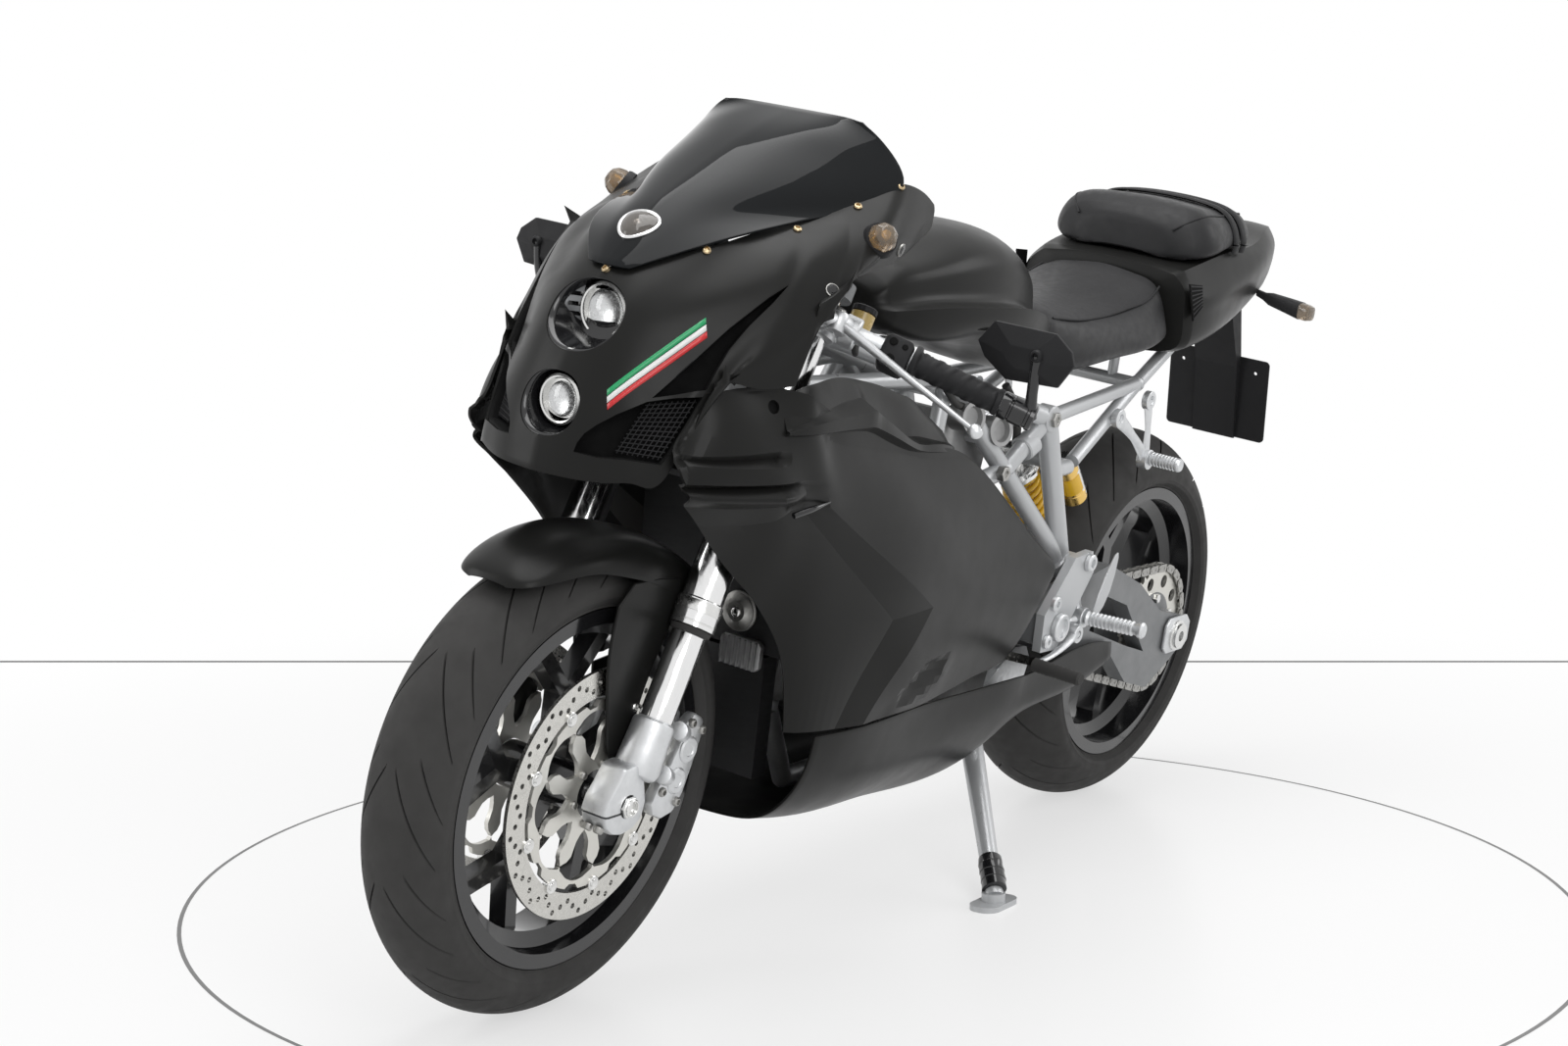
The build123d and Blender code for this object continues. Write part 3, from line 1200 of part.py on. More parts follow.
# Side stand: a tapered leg with a foot that is flat on the ground once the bike has leaned.
def crown_drop(tyre_r, tyre_w):
    """How far the rounded tread of a leaning tyre reaches below the level of the upright one."""
    rise = tyre_r - SIDEWALL_R
    crown_r = ((tyre_w / 2) ** 2 + rise ** 2) / (2 * rise)
    return crown_r * (1 - cos(LEAN))


TYRE_DROP = (crown_drop(FRONT_TYRE_R, FRONT_TYRE_W) + crown_drop(REAR_TYRE_R, REAR_TYRE_W)) / 2
stand_top = Vector(*STAND_PIVOT)
foot_x, foot_y = STAND_FOOT_XY
with BuildPart() as stand:
    floor_here = (foot_x * sin(LEAN) - TYRE_DROP) / cos(LEAN)
    foot = Vector(foot_x, foot_y, floor_here + STAND_PAD_T / cos(LEAN) + 6)
    add(tapered_bar(stand_top, foot, STAND_R_TOP, STAND_R_FOOT))
    with Locations(stand_top):
        Sphere(STAND_R_TOP)
    ground = Plane(origin=(foot_x, foot_y, floor_here), x_dir=(0, 1, 0), z_dir=(-sin(LEAN), 0, cos(LEAN)))
    with BuildSketch(ground):
        RectangleRounded(84, 46, 20)
    extrude(amount=STAND_PAD_T)
    with BuildSketch(ground.offset(STAND_PAD_T)):
        Circle(STAND_R_FOOT + 4)
    extrude(amount=12)
PIECES["side_stand"] = stand.part

# Bracket that carries the stand under the crankcase.
with BuildPart() as bracket:
    with BuildSketch(side(70)):
        with BuildLine():
            Polyline((146, 200), (146, 245.2), (184, 259.3), (198, 224), (190, 200), close=True)
        make_face()
    extrude(amount=STAND_PIVOT[0] - STAND_R_TOP - SEAT_GAP - 70)
PIECES["stand_bracket"] = bracket.part

# ---------------------------------------------------------------------------------------------
# Fairing stay, and the pegs and bosses that carry one piece on another
# ---------------------------------------------------------------------------------------------
STAY_UP = 600.0                 # height up the steering axis at which the stay leaves the head tube
STAY_R = 10.0
STAY_TIP = steer_point(0, -170, STAY_UP)
LAMP_BACK_Y = -648.3            # rear face of the lamp plate level with the stay
with BuildPart() as stay:
    add(tube_between(steer_point(0, -HEAD_TUBE_R - SEAT_GAP, STAY_UP), STAY_TIP, STAY_R))
    add(tube_between((-150, STAY_TIP.Y, STAY_TIP.Z), (150, STAY_TIP.Y, STAY_TIP.Z), STAY_R - 2))
    add(tube_between(STAY_TIP, (0, LAMP_BACK_Y + SEAT_GAP, STAY_TIP.Z + 2), STAY_R - 3))
PIECES["fairing_stay"] = stay.part

crank_side = CASE_HALF_X - 2
pegs = [
    # carrier, target, start, direction, radius, on both sides
    ("fairing_stay", "flank_left", (146, STAY_TIP.Y, STAY_TIP.Z), (1, 0, 0), STAY_R - 2, True),
    ("fairing_stay", "dashboard", STAY_TIP, (0, 0, 1), STAY_R - 3, False),
    ("headlights", "nose_fairing", (0, -690, 835), (0, -1, 0), 7, False),
    ("nose_fairing", "windscreen", (0, -678, 951), (0, -1, 0), 5, False),
    ("frame", "side_panel_left", (LOW_NODE[0], LOW_NODE[1], LOW_NODE[2]), (1, 0, 0), 8, True),
    ("frame", "fuel_tank", (63, -174, 812), (0, 0, 1), 8, True),
    ("frame", "engine", (98, 60, 688), (-1, 0, 0), 9, True),
    ("subframe", "rider_seat", (60, SUB_JOIN[1], SUB_JOIN[2]), (0, 0, 1), 8, True),
    ("subframe", "tail_unit", (40, SUB_END[1], SUB_END[2]), (0, 0, 1), 8, True),
    ("engine", "belly_pan", (crank_side, -60, 320), (1, 0, 0), 8, True),
    ("engine", "radiator", (50, -340, 470), (0, -1, 0), 8, True),
    ("exhaust", "engine", PIPE_TOP, (0, 0, 1), PIPE_R, False),
    ("air_ducts", "side_panel_left", (176, -330, 718), (1, 0, 0), 4, True),
]
for carrier, target, start, towards, radius, paired in pegs:
    new_peg = peg(start, towards, radius, PIECES[target])
    with BuildPart() as joined:
        add(PIECES[carrier])
        add(new_peg)
        if paired:
            add(mirror(new_peg, about=Plane.YZ))
    PIECES[carrier] = joined.part

# ---------------------------------------------------------------------------------------------
# Lean the bike onto its stand, put the lowest point on the floor and centre the whole
# ---------------------------------------------------------------------------------------------
leaned = {name: piece.rotate(Axis.Y, LEAN_DEG) for name, piece in PIECES.items()}
boxes = [piece.bounding_box() for piece in leaned.values()]
centring = Location((
    -(min(box.min.X for box in boxes) + max(box.max.X for box in boxes)) / 2,
    -(min(box.min.Y for box in boxes) + max(box.max.Y for box in boxes)) / 2,
    -min(box.min.Z for box in boxes),
))
os.makedirs("parts", exist_ok=True)
for name, piece in leaned.items():
    placed = centring * piece
    placed.label = name
    export_step(placed, f"parts/{name}.step")
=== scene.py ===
"""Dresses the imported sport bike: materials for every CAD node, smooth bodywork and the small parts.

Points and sizes are millimetres in the frame of the upright bike: +X is the rider's left, -Y points
towards the front wheel, +Z is up and the origin is on the ground midway between the axles.
BIKE turns them into metres in the row frame, where the bike leans on its side stand.
"""

import math

import bmesh
import bpy
import numpy as np
from mathutils import Matrix, Vector
from mathutils.bvhtree import BVHTree


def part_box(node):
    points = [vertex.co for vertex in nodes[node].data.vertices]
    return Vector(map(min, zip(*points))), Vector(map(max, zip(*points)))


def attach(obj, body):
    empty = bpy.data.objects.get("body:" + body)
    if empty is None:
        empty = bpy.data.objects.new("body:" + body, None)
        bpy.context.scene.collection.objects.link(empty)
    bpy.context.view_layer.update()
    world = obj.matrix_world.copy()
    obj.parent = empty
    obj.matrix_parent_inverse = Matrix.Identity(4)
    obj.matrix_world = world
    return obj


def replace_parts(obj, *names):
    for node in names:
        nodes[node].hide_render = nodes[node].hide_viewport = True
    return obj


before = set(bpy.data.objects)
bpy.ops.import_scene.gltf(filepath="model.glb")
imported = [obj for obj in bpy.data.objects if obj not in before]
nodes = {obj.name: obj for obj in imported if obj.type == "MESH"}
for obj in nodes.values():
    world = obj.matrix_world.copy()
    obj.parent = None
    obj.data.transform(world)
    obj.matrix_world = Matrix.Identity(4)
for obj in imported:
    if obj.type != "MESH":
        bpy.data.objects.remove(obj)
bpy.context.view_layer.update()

# ---------------------------------------------------------------------------------------------
# Frames and sizes
# ---------------------------------------------------------------------------------------------
MM = 0.001
LEAN = math.radians(9.4)
FRONT_AXLE = Vector((0, -710, 300))
REAR_AXLE = Vector((0, 710, 315))
RAKE = math.radians(24.5)
AHEAD = Vector((0, -math.cos(RAKE), math.sin(RAKE)))
UP_AXIS = Vector((0, math.sin(RAKE), math.cos(RAKE)))
# name, sign of x, and what turns a point of the left side into that side's point
SIDES = (("left", 1, Vector((1, 1, 1))), ("right", -1, Vector((-1, 1, 1))))
STEER_FOOT = FRONT_AXLE - AHEAD * 36
FORK_X = 107.5
LEG_Y = -22.0                   # fork leg centre line in the steering frame, +y rearward

lean = Matrix.Rotation(LEAN, 4, "Y")
axle_low, axle_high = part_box("rear_axle")
axle_middle = (axle_low + axle_high) / 2
BIKE = Matrix.Translation(axle_middle - lean @ (REAR_AXLE * MM)) @ lean @ Matrix.Scale(MM, 4)


def steer_point(x, y, up):
    """Point from the steering frame: y is rearward and square to the axis, up runs up the axis."""
    return STEER_FOOT + Vector((x, 0, 0)) - AHEAD * y + UP_AXIS * up


# ---------------------------------------------------------------------------------------------
# Materials
# ---------------------------------------------------------------------------------------------
def finish(name, colour, rough, metallic=0.0, spread=0.15, bump=0.0, bump_size=2.0, mottle=0.25,
           mottle_size=60.0, coat=0.0, see_through=0.0, ior=1.5, cells=False, stretch=None, specular=0.5):
    """Procedural finish. Sizes are in mm; spread is how far roughness wanders, mottle how far colour does."""
    mat = bpy.data.materials.new(name)
    mat.use_nodes = True
    tree = mat.node_tree
    shader = tree.nodes["Principled BSDF"]
    shader.inputs["Metallic"].default_value = metallic
    shader.inputs["IOR"].default_value = ior
    shader.inputs["Specular IOR Level"].default_value = specular
    shader.inputs["Coat Weight"].default_value = coat
    shader.inputs["Coat Roughness"].default_value = 0.06
    shader.inputs["Transmission Weight"].default_value = see_through
    place = tree.nodes.new("ShaderNodeTexCoord").outputs["Object"]
    if stretch:
        mapping = tree.nodes.new("ShaderNodeMapping")
        mapping.inputs["Scale"].default_value = stretch
        tree.links.new(place, mapping.inputs["Vector"])
        place = mapping.outputs["Vector"]

    def noise(size, detail=4.0):
        node = tree.nodes.new("ShaderNodeTexNoise")
        node.inputs["Scale"].default_value = 1000.0 / size
        node.inputs["Detail"].default_value = detail
        tree.links.new(place, node.inputs["Vector"])
        return node.outputs["Fac"]

    def ramp(source, low, high):
        node = tree.nodes.new("ShaderNodeMapRange")
        node.inputs["From Min"].default_value = 0.3
        node.inputs["From Max"].default_value = 0.7
        node.inputs["To Min"].default_value = low
        node.inputs["To Max"].default_value = high
        tree.links.new(source, node.inputs["Value"])
        return node.outputs["Result"]

    mix = tree.nodes.new("ShaderNodeMix")
    mix.data_type = "RGBA"
    mix.inputs["A"].default_value = (*[c * (1 - mottle) for c in colour], 1)
    mix.inputs["B"].default_value = (*[min(1, c * (1 + mottle)) for c in colour], 1)
    tree.links.new(noise(mottle_size), mix.inputs["Factor"])
    tree.links.new(mix.outputs["Result"], shader.inputs["Base Color"])
    low, high = max(0.02, rough * (1 - spread)), min(1, rough * (1 + spread))
    tree.links.new(ramp(noise(mottle_size * 0.4), low, high), shader.inputs["Roughness"])
    if bump:
        node = tree.nodes.new("ShaderNodeBump")
        node.inputs["Strength"].default_value = 1.0
        node.inputs["Distance"].default_value = bump * MM
        if cells:
            cell = tree.nodes.new("ShaderNodeTexVoronoi")
            cell.feature = "DISTANCE_TO_EDGE"
            cell.inputs["Scale"].default_value = 1000.0 / bump_size
            tree.links.new(place, cell.inputs["Vector"])
            tree.links.new(cell.outputs["Distance"], node.inputs["Height"])
        else:
            tree.links.new(noise(bump_size, 3.0), node.inputs["Height"])
        tree.links.new(node.outputs["Normal"], shader.inputs["Normal"])
    return mat


SATIN = finish("satin_black_paint", (0.011, 0.011, 0.0105), 0.33, spread=0.10, bump=0.012, bump_size=1.2,
               mottle=0.08, mottle_size=90, specular=0.24, ior=1.36)
GLOSS = finish("gloss_black_paint", (0.010, 0.010, 0.011), 0.16, spread=0.3, coat=0.4, bump=0.02, bump_size=9,
               mottle=0.1, specular=0.4)
PLASTIC = finish("grained_plastic", (0.017, 0.017, 0.018), 0.52, bump=0.05, bump_size=0.9, cells=True,
                 mottle=0.15, specular=0.25, ior=1.38)
RUBBER = finish("tyre_rubber", (0.047, 0.046, 0.045), 0.70, spread=0.12, bump=0.10, bump_size=1.4,
                mottle=0.22, mottle_size=45, specular=0.25, ior=1.38)
SCREEN = finish("smoked_acrylic", (0.012, 0.013, 0.014), 0.03, see_through=0.08, mottle=0.05, ior=1.2)
DISC = finish("disc_steel", (0.60, 0.59, 0.56), 0.30, metallic=1.0, spread=0.35, bump=0.015, bump_size=0.7,
              mottle=0.12, mottle_size=8)
CARRIER = finish("disc_carrier_alloy", (0.66, 0.65, 0.61), 0.38, metallic=0.9, bump=0.03, bump_size=0.9,
                 mottle=0.1)
CAST = finish("raw_cast_alloy", (0.63, 0.64, 0.65), 0.42, metallic=0.85, spread=0.25, bump=0.12,
              bump_size=1.6, mottle=0.12, mottle_size=14)
ENGINE = finish("engine_alloy", (0.34, 0.34, 0.34), 0.5, metallic=0.8, spread=0.25, bump=0.2, bump_size=2.2,
                mottle=0.25, mottle_size=22)
POLISHED = finish("polished_tube", (0.78, 0.78, 0.78), 0.14, metallic=1.0, spread=0.5, bump=0.006,
                  bump_size=0.8, mottle=0.05, stretch=(6, 6, 1))
BRIGHT = finish("bright_steel", (0.70, 0.70, 0.69), 0.22, metallic=1.0, spread=0.4, bump=0.01, mottle=0.08,
                mottle_size=10)
CHAIN = finish("chain_steel", (0.36, 0.355, 0.34), 0.38, metallic=0.95, spread=0.3, bump=0.04, bump_size=1.2,
               mottle=0.3, mottle_size=6)
SILVER = finish("frame_silver_paint", (0.50, 0.51, 0.52), 0.34, metallic=0.35, spread=0.2, bump=0.03,
                bump_size=1.8, mottle=0.07, mottle_size=120)
ARM = finish("arm_grey_paint", (0.19, 0.195, 0.20), 0.42, metallic=0.35, spread=0.2, bump=0.05,
             bump_size=2.0, mottle=0.12, mottle_size=60)
GOLD = finish("gold_anodised", (0.78, 0.52, 0.16), 0.28, metallic=1.0, mottle=0.06)
YELLOW = finish("spring_yellow_paint", (0.80, 0.47, 0.015), 0.30, spread=0.2, bump=0.02, mottle=0.08)
LEATHER = finish("seat_leather", (0.020, 0.020, 0.021), 0.44, spread=0.18, bump=0.09, bump_size=1.5,
                 cells=True, mottle=0.2, mottle_size=30, specular=0.32, ior=1.38)
GLASS = finish("lamp_glass", (0.92, 0.93, 0.95), 0.03, see_through=1.0, mottle=0.02)
AMBER = finish("smoky_lens", (0.32, 0.25, 0.18), 0.08, see_through=0.6, mottle=0.1, mottle_size=8)
RED = finish("red_lens", (0.35, 0.012, 0.012), 0.08, see_through=0.3, mottle=0.1, coat=0.6)
BRASS = finish("brass_screw", (0.46, 0.36, 0.22), 0.32, metallic=1.0, bump=0.03, mottle=0.15, mottle_size=5)
FINS = finish("radiator_fins", (0.012, 0.012, 0.013), 0.45, metallic=0.4, bump=0.4, bump_size=1.6,
              stretch=(1, 1, 6))
STRIPE = {
    tone: finish(f"stripe_{tone}", colour, 0.34, spread=0.1, mottle=0.05, coat=0.2)
    for tone, colour in (
        ("green", (0.0, 0.30, 0.10)), ("white", (0.75, 0.75, 0.74)), ("red", (0.55, 0.012, 0.015)),
    )
}
FLUID = finish("fluid_pot", (0.62, 0.45, 0.16), 0.25, see_through=0.25, mottle=0.1, mottle_size=20)
MIRROR = finish("mirror_glass", (0.75, 0.76, 0.78), 0.03, metallic=1.0, spread=0.2, mottle=0.02)
SMOKE = finish("smoked_lens", (0.30, 0.27, 0.24), 0.05, see_through=0.7, mottle=0.1)
# near-black painted shade, put inside openings, behind the side panel's hole and along the tank's fold; the switch
# buttons use it as their own black
HOLLOW = finish("inner_shadow", (0.006, 0.006, 0.006), 0.8, mottle=0.2, specular=0.1)

NODE_FINISH = {
    "front_tyre": RUBBER, "rear_tyre": RUBBER, "front_rim": GLOSS, "rear_rim": GLOSS,
    "front_discs": DISC, "rear_disc": DISC, "rear_sprocket": BRIGHT, "chain": CHAIN,
    "fork_tubes": POLISHED, "fork_bottoms": CAST, "yokes": ARM, "handlebars": CAST, "controls": PLASTIC,
    "mirrors": PLASTIC, "front_mudguard": SATIN, "front_calipers": CAST, "frame": SILVER,
    "subframe": SILVER, "swingarm": ARM, "rear_axle": BRIGHT, "rear_caliper": CAST, "shock_body": BRIGHT,
    "shock_spring": YELLOW, "engine": ENGINE, "radiator": FINS, "exhaust": CAST, "nose_fairing": SATIN,
    "headlights": BRIGHT, "position_lamp": AMBER, "flank_left": SATIN, "flank_right": SATIN,
    "side_panel_left": SATIN, "side_panel_right": SATIN, "belly_pan": SATIN, "air_ducts": PLASTIC,
    "windscreen": SCREEN, "dashboard": PLASTIC, "fuel_tank": SATIN, "rider_seat": LEATHER,
    "pillion_seat": LEATHER, "tail_unit": SATIN, "tail_lamp": RED, "indicators": AMBER,
    "plate_holder": PLASTIC, "footrest_left": CAST, "footrest_right": CAST, "pillion_footrests": CAST,
    "side_stand": SILVER, "stand_bracket": CAST, "fairing_stay": PLASTIC,
}
for name, node in nodes.items():
    node.data.materials.clear()
    node.data.materials.append(NODE_FINISH[name])


# ---------------------------------------------------------------------------------------------
# Mesh helpers
# ---------------------------------------------------------------------------------------------
def round_edges(obj, width, angle):
    """Bevels, by a width in mm, the edges that are sharper than the angle in degrees."""
    if width:
        cut = obj.modifiers.new("edges", "BEVEL")
        cut.width = width * MM
        cut.segments = 2
        cut.limit_method = "ANGLE"
        cut.angle_limit = math.radians(angle)


def thicken(obj, wall, offset=0):
    """Gives a surface a wall in mm: offset -1 puts it inside, 1 outside and 0 on both sides."""
    thick = obj.modifiers.new("wall", "SOLIDIFY")
    thick.thickness = wall * MM
    thick.offset = offset
    return thick


def piece(name, points, faces, material, body, bevel=0.0, angle=35, stands_for=()):
    """A mesh piece from points in mm, shaded smooth up to the angle and riding a body."""
    mesh = bpy.data.meshes.new(name)
    mesh.from_pydata([tuple(BIKE @ Vector(p)) for p in points], [], faces)
    mesh.validate()
    mesh.materials.append(material)
    obj = bpy.data.objects.new(name, mesh)
    bpy.context.scene.collection.objects.link(obj)
    tidy = bmesh.new()
    tidy.from_mesh(mesh)
    bmesh.ops.remove_doubles(tidy, verts=tidy.verts, dist=0.00002)
    bmesh.ops.recalc_face_normals(tidy, faces=tidy.faces)
    tidy.to_mesh(mesh)
    tidy.free()
    mesh.shade_smooth()
    mesh.set_sharp_from_angle(angle=math.radians(angle))
    round_edges(obj, bevel, angle)
    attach(obj, body)
    if stands_for:
        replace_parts(obj, *stands_for)
    return obj


def natural_spline(points, per):
    """Points on a natural cubic spline through the given ones, per steps in each span."""
    points = np.asarray(points, float)
    chords = np.linalg.norm(np.diff(points, axis=0), axis=-1)
    while chords.ndim > 1:
        chords = chords.mean(axis=-1)
    count = len(points)
    h = np.maximum(chords, 1e-6)
    flat = points.reshape(count, -1)
    system = np.eye(count)
    right = np.zeros_like(flat)
    for i in range(1, count - 1):
        system[i, i - 1:i + 2] = (h[i - 1], 2 * (h[i - 1] + h[i]), h[i])
        right[i] = 6 * ((flat[i + 1] - flat[i]) / h[i] - (flat[i] - flat[i - 1]) / h[i - 1])
    bend = np.linalg.solve(system, right)
    made = [flat[:1]]
    for i in range(count - 1):
        t = np.linspace(0, 1, per + 1)[1:, None]
        a, b = 1 - t, t
        made.append(
            a * flat[i] + b * flat[i + 1]
            + ((a ** 3 - a) * bend[i] + (b ** 3 - b) * bend[i + 1]) * h[i] ** 2 / 6
        )
    return np.concatenate(made).reshape(-1, *points.shape[1:])


def curve_through(points, per, sharp=()):
    """Smooth runs through the points, with a corner at each sharp one."""
    points = np.asarray(points, float)
    cuts = [0, *sorted(sharp), len(points) - 1]
    runs = [points[:1]]
    for first, last in zip(cuts, cuts[1:]):
        runs.append(natural_spline(points[first:last + 1], per)[1:])
    return np.concatenate(runs)


def patch(rows, per=6, sharp_rows=(), sharp_columns=()):
    """Grid of points on a smooth surface through a coarse grid of points."""
    across = np.swapaxes(curve_through(np.swapaxes(np.asarray(rows, float), 0, 1), per, sharp_columns), 0, 1)
    return curve_through(across, per, sharp_rows)


def grid_faces(rows, columns, closed=False):
    """Quads of a grid of points, closed round each row if asked."""
    last = columns if closed else columns - 1
    return [
        (r * columns + c, r * columns + (c + 1) % columns,
         (r + 1) * columns + (c + 1) % columns, (r + 1) * columns + c)
        for r in range(rows - 1) for c in range(last)
    ]


def tube_faces(rows, columns):
    """Faces of rings of points joined into a tube, with a cap on each end."""
    faces = grid_faces(rows, columns, closed=True)
    faces.append(tuple(range(columns)))
    faces.append(tuple(reversed(range((rows - 1) * columns, rows * columns))))
    return faces


def prism_faces(count, first=0):
    """Faces of a prism between two outlines of count points; first is the index of its first point."""
    faces = [tuple(range(first, first + count)), tuple(reversed(range(first + count, first + 2 * count)))]
    faces += [(first + k, first + (k + 1) % count, first + count + (k + 1) % count, first + count + k)
              for k in range(count)]
    return faces


def shell(name, grid, wall, material, body, stands_for=(), bevel=0.8, angle=35, outward=1):
    """A panel of one wall thickness from a grid of points on its outer face."""
    rows, columns = grid.shape[:2]
    made = piece(name, grid.reshape(-1, 3), grid_faces(rows, columns), material, body,
                 angle=angle, stands_for=stands_for)
    thicken(made, wall, -outward).use_even_offset = True
    round_edges(made, bevel, 50)
    return made


def both_halves(half_grid):
    """Full rows from rows that run from the left side to the middle plane."""
    other = half_grid[:, -2::-1].copy()
    other[..., 0] *= -1
    return np.concatenate([half_grid, other], axis=1)


def closed_body(name, rings, material, body, stands_for=(), angle=35, bevel=0.0):
    """A closed form from a grid whose rows are closed rings, capped at both ends."""
    rows, columns = rings.shape[:2]
    return piece(name, rings.reshape(-1, 3), tube_faces(rows, columns), material, body, bevel, angle,
                 stands_for)


def rows_of(stations, axis):
    """3-D rows from a table of stations; axis says which coordinate is the station's."""
    order = {"y": lambda s, p: (p[0], s, p[1]), "z": lambda s, p: (p[0], p[1], s)}[axis]
    return [[order(station, point) for point in line] for station, line in stations]


def cutter(points, faces):
    """A hidden solid that carve() takes out of a piece."""
    mesh = bpy.data.meshes.new("cutter")
    mesh.from_pydata([tuple(BIKE @ Vector(p)) for p in points], [], faces)
    obj = bpy.data.objects.new("cutter", mesh)
    bpy.context.scene.collection.objects.link(obj)
    shaped = bmesh.new()
    shaped.from_mesh(mesh)
    bmesh.ops.recalc_face_normals(shaped, faces=shaped.faces)
    shaped.to_mesh(mesh)
    shaped.free()
    return obj


def prism(points, direction, reach):
    """Cutter through the polygon, reach mm each way along the direction."""
    step = Vector(direction).normalized() * reach
    count = len(points)
    corners = [Vector(p) - step for p in points] + [Vector(p) + step for p in points]
    return cutter(corners, prism_faces(count))


def bake(obj, angle=35):
    """Leaves a piece as the plain mesh that its modifiers make."""
    bpy.context.view_layer.update()
    made = bpy.data.meshes.new_from_object(obj.evaluated_get(bpy.context.evaluated_depsgraph_get()))
    obj.modifiers.clear()
    obj.data = made
    made.set_sharp_from_angle(angle=math.radians(angle))
    return obj


def carve(obj, *cutters, angle=35):
    """Takes the cutters out of a piece and leaves it as a plain mesh."""
    for tool in cutters:
        cut = obj.modifiers.new("cut", "BOOLEAN")
        cut.object = tool
        cut.solver = "EXACT"
    bake(obj, angle)
    for tool in cutters:
        bpy.data.objects.remove(tool)
    return obj


def skin_tree(grid):
    """A skin's outer face, ready to have points landed on it."""
    rows, columns = grid.shape[:2]
    return BVHTree.FromPolygons([Vector(p) for p in grid.reshape(-1, 3)], grid_faces(rows, columns))


def land(tree, point, direction, lift=0.0):
    """Where a line through the point, coming in against the direction, meets a skin, and its normal."""
    out = Vector(direction).normalized()
    hit, normal, _, _ = tree.ray_cast(Vector(point) + out * 120, -out)
    if hit is None:
        hit, normal, _, _ = tree.find_nearest(Vector(point))
    if normal.dot(out) < 0:
        normal = -normal
    return hit + normal * lift, normal


def frame_of(axis, up=(0, 0, 1)):
    """Two unit vectors square to the axis, the second one as near to up as can be."""
    axis = Vector(axis).normalized()
    across = Vector(up).cross(axis)
    if across.length < 0.01:
        across = Vector((0, 1, 0)).cross(axis)
    across.normalize()
    return across, axis.cross(across)


def ring_faces(rows, columns):
    """Faces of a grid that is closed both ways."""
    return [
        (r * columns + c, r * columns + (c + 1) % columns,
         (r + 1) % rows * columns + (c + 1) % columns, (r + 1) % rows * columns + c)
        for r in range(rows) for c in range(columns)
    ]


def lathe(name, at, axis, profile, material, body, count=32, angle=35, bevel=0.0, stands_for=(),
          wobble=None, up=(0, 0, 1), ring=False):
    """Turned form: profile is (distance along the axis, radius) from end to end, or round a ring's section."""
    axis = Vector(axis).normalized()
    first, second = frame_of(axis, up)
    points = []
    for along, radius in profile:
        for i in range(count):
            turn = 2 * math.pi * i / count
            grow = wobble(turn, along) if wobble else 1
            points.append(
                Vector(at) + axis * along
                + (first * math.cos(turn) + second * math.sin(turn)) * max(radius, 0.01) * grow
            )
    faces = (ring_faces if ring else tube_faces)(len(profile), count)
    return piece(name, points, faces, material, body, bevel, angle, stands_for)


def merge(name, parts):
    """Joins pieces of one body into the first one's object, which keeps its body, and gives it all their
    materials.
    """
    base = parts[0]
    joined = bmesh.new()
    slots = []
    for part in parts:
        if part.modifiers:
            bake(part)
        place = len(slots)
        first = len(joined.faces)
        slots.extend(part.data.materials)
        joined.from_mesh(part.data)
        joined.faces.ensure_lookup_table()
        for face in joined.faces[first:]:
            face.material_index += place
    mesh = bpy.data.meshes.new(name)
    joined.to_mesh(mesh)
    joined.free()
    for material in slots:
        mesh.materials.append(material)
    base.data = mesh
    mesh.set_sharp_from_angle(angle=math.radians(35))
    base.name = name
    for part in parts[1:]:
        bpy.data.objects.remove(part)
    return base


def sweep(name, path, radius, material, body, slot, sides=12, per=6, sharp=(), stands_for=(), flat=1.0,
          up=(0, 0, 1), bevel=0.0, raw=False):
    """A rod along a smooth path; radius is one number or one for each point of the path."""
    path = np.asarray([tuple(p) for p in path], float)
    radii = np.broadcast_to(np.asarray(radius, float), (len(path),))
    rows = path if raw else curve_through(path, per, sharp)
    spread = np.interp(np.linspace(0, 1, len(rows)), np.linspace(0, 1, len(radii)), radii)
    points = []
    for i, (centre, r) in enumerate(zip(rows, spread)):
        ahead = Vector(rows[min(i + 1, len(rows) - 1)] - rows[max(i - 1, 0)])
        first, second = frame_of(ahead, up)
        for k in range(sides):
            turn = 2 * math.pi * k / sides
            points.append(Vector(centre) + first * (r * math.cos(turn)) + second * (r * flat * math.sin(turn)))
    return piece(name, points, tube_faces(len(rows), sides), material, body, bevel, 40, stands_for)


def plate(name, outline, axis, thickness, material, body, bevel=1.0, holes=(), stands_for=(), angle=35):
    """A flat plate: an outline of 3-D points pushed along the axis, drilled by (centre, radius) holes."""
    step = Vector(axis).normalized() * thickness
    count = len(outline)
    points = [Vector(p) for p in outline] + [Vector(p) + step for p in outline]
    made = piece(name, points, prism_faces(count), material, body, 0, angle, stands_for)
    cutters = [prism(disc_points(centre, axis, radius, 24), axis, thickness * 3) for centre, radius in holes]
    if cutters:
        carve(made, *cutters)
    round_edges(made, bevel, 40)
    return made


def disc_points(centre, axis, radius, count=48):
    """Points round a circle, in the plane square to the axis."""
    first, second = frame_of(axis)
    turns = [2 * math.pi * i / count for i in range(count)]
    return [Vector(centre) + first * (radius * math.cos(t)) + second * (radius * math.sin(t)) for t in turns]


def screw(name, at, axis, radius, body, material=None, head=3.0):
    """A domed cap screw with a socket, seated at the point."""
    profile = [(-2, radius), (head * 0.5, radius), (head * 0.9, radius * 0.8), (head, radius * 0.55),
               (head * 0.35, radius * 0.45), (head * 0.3, 0)]
    return lathe(name, at, axis, profile, material or BRIGHT, body, 18)


# ---------------------------------------------------------------------------------------------
# Bodywork
# ---------------------------------------------------------------------------------------------
WALL = 3.6                      # painted panels
LINER = 1.6                     # what lines an opening

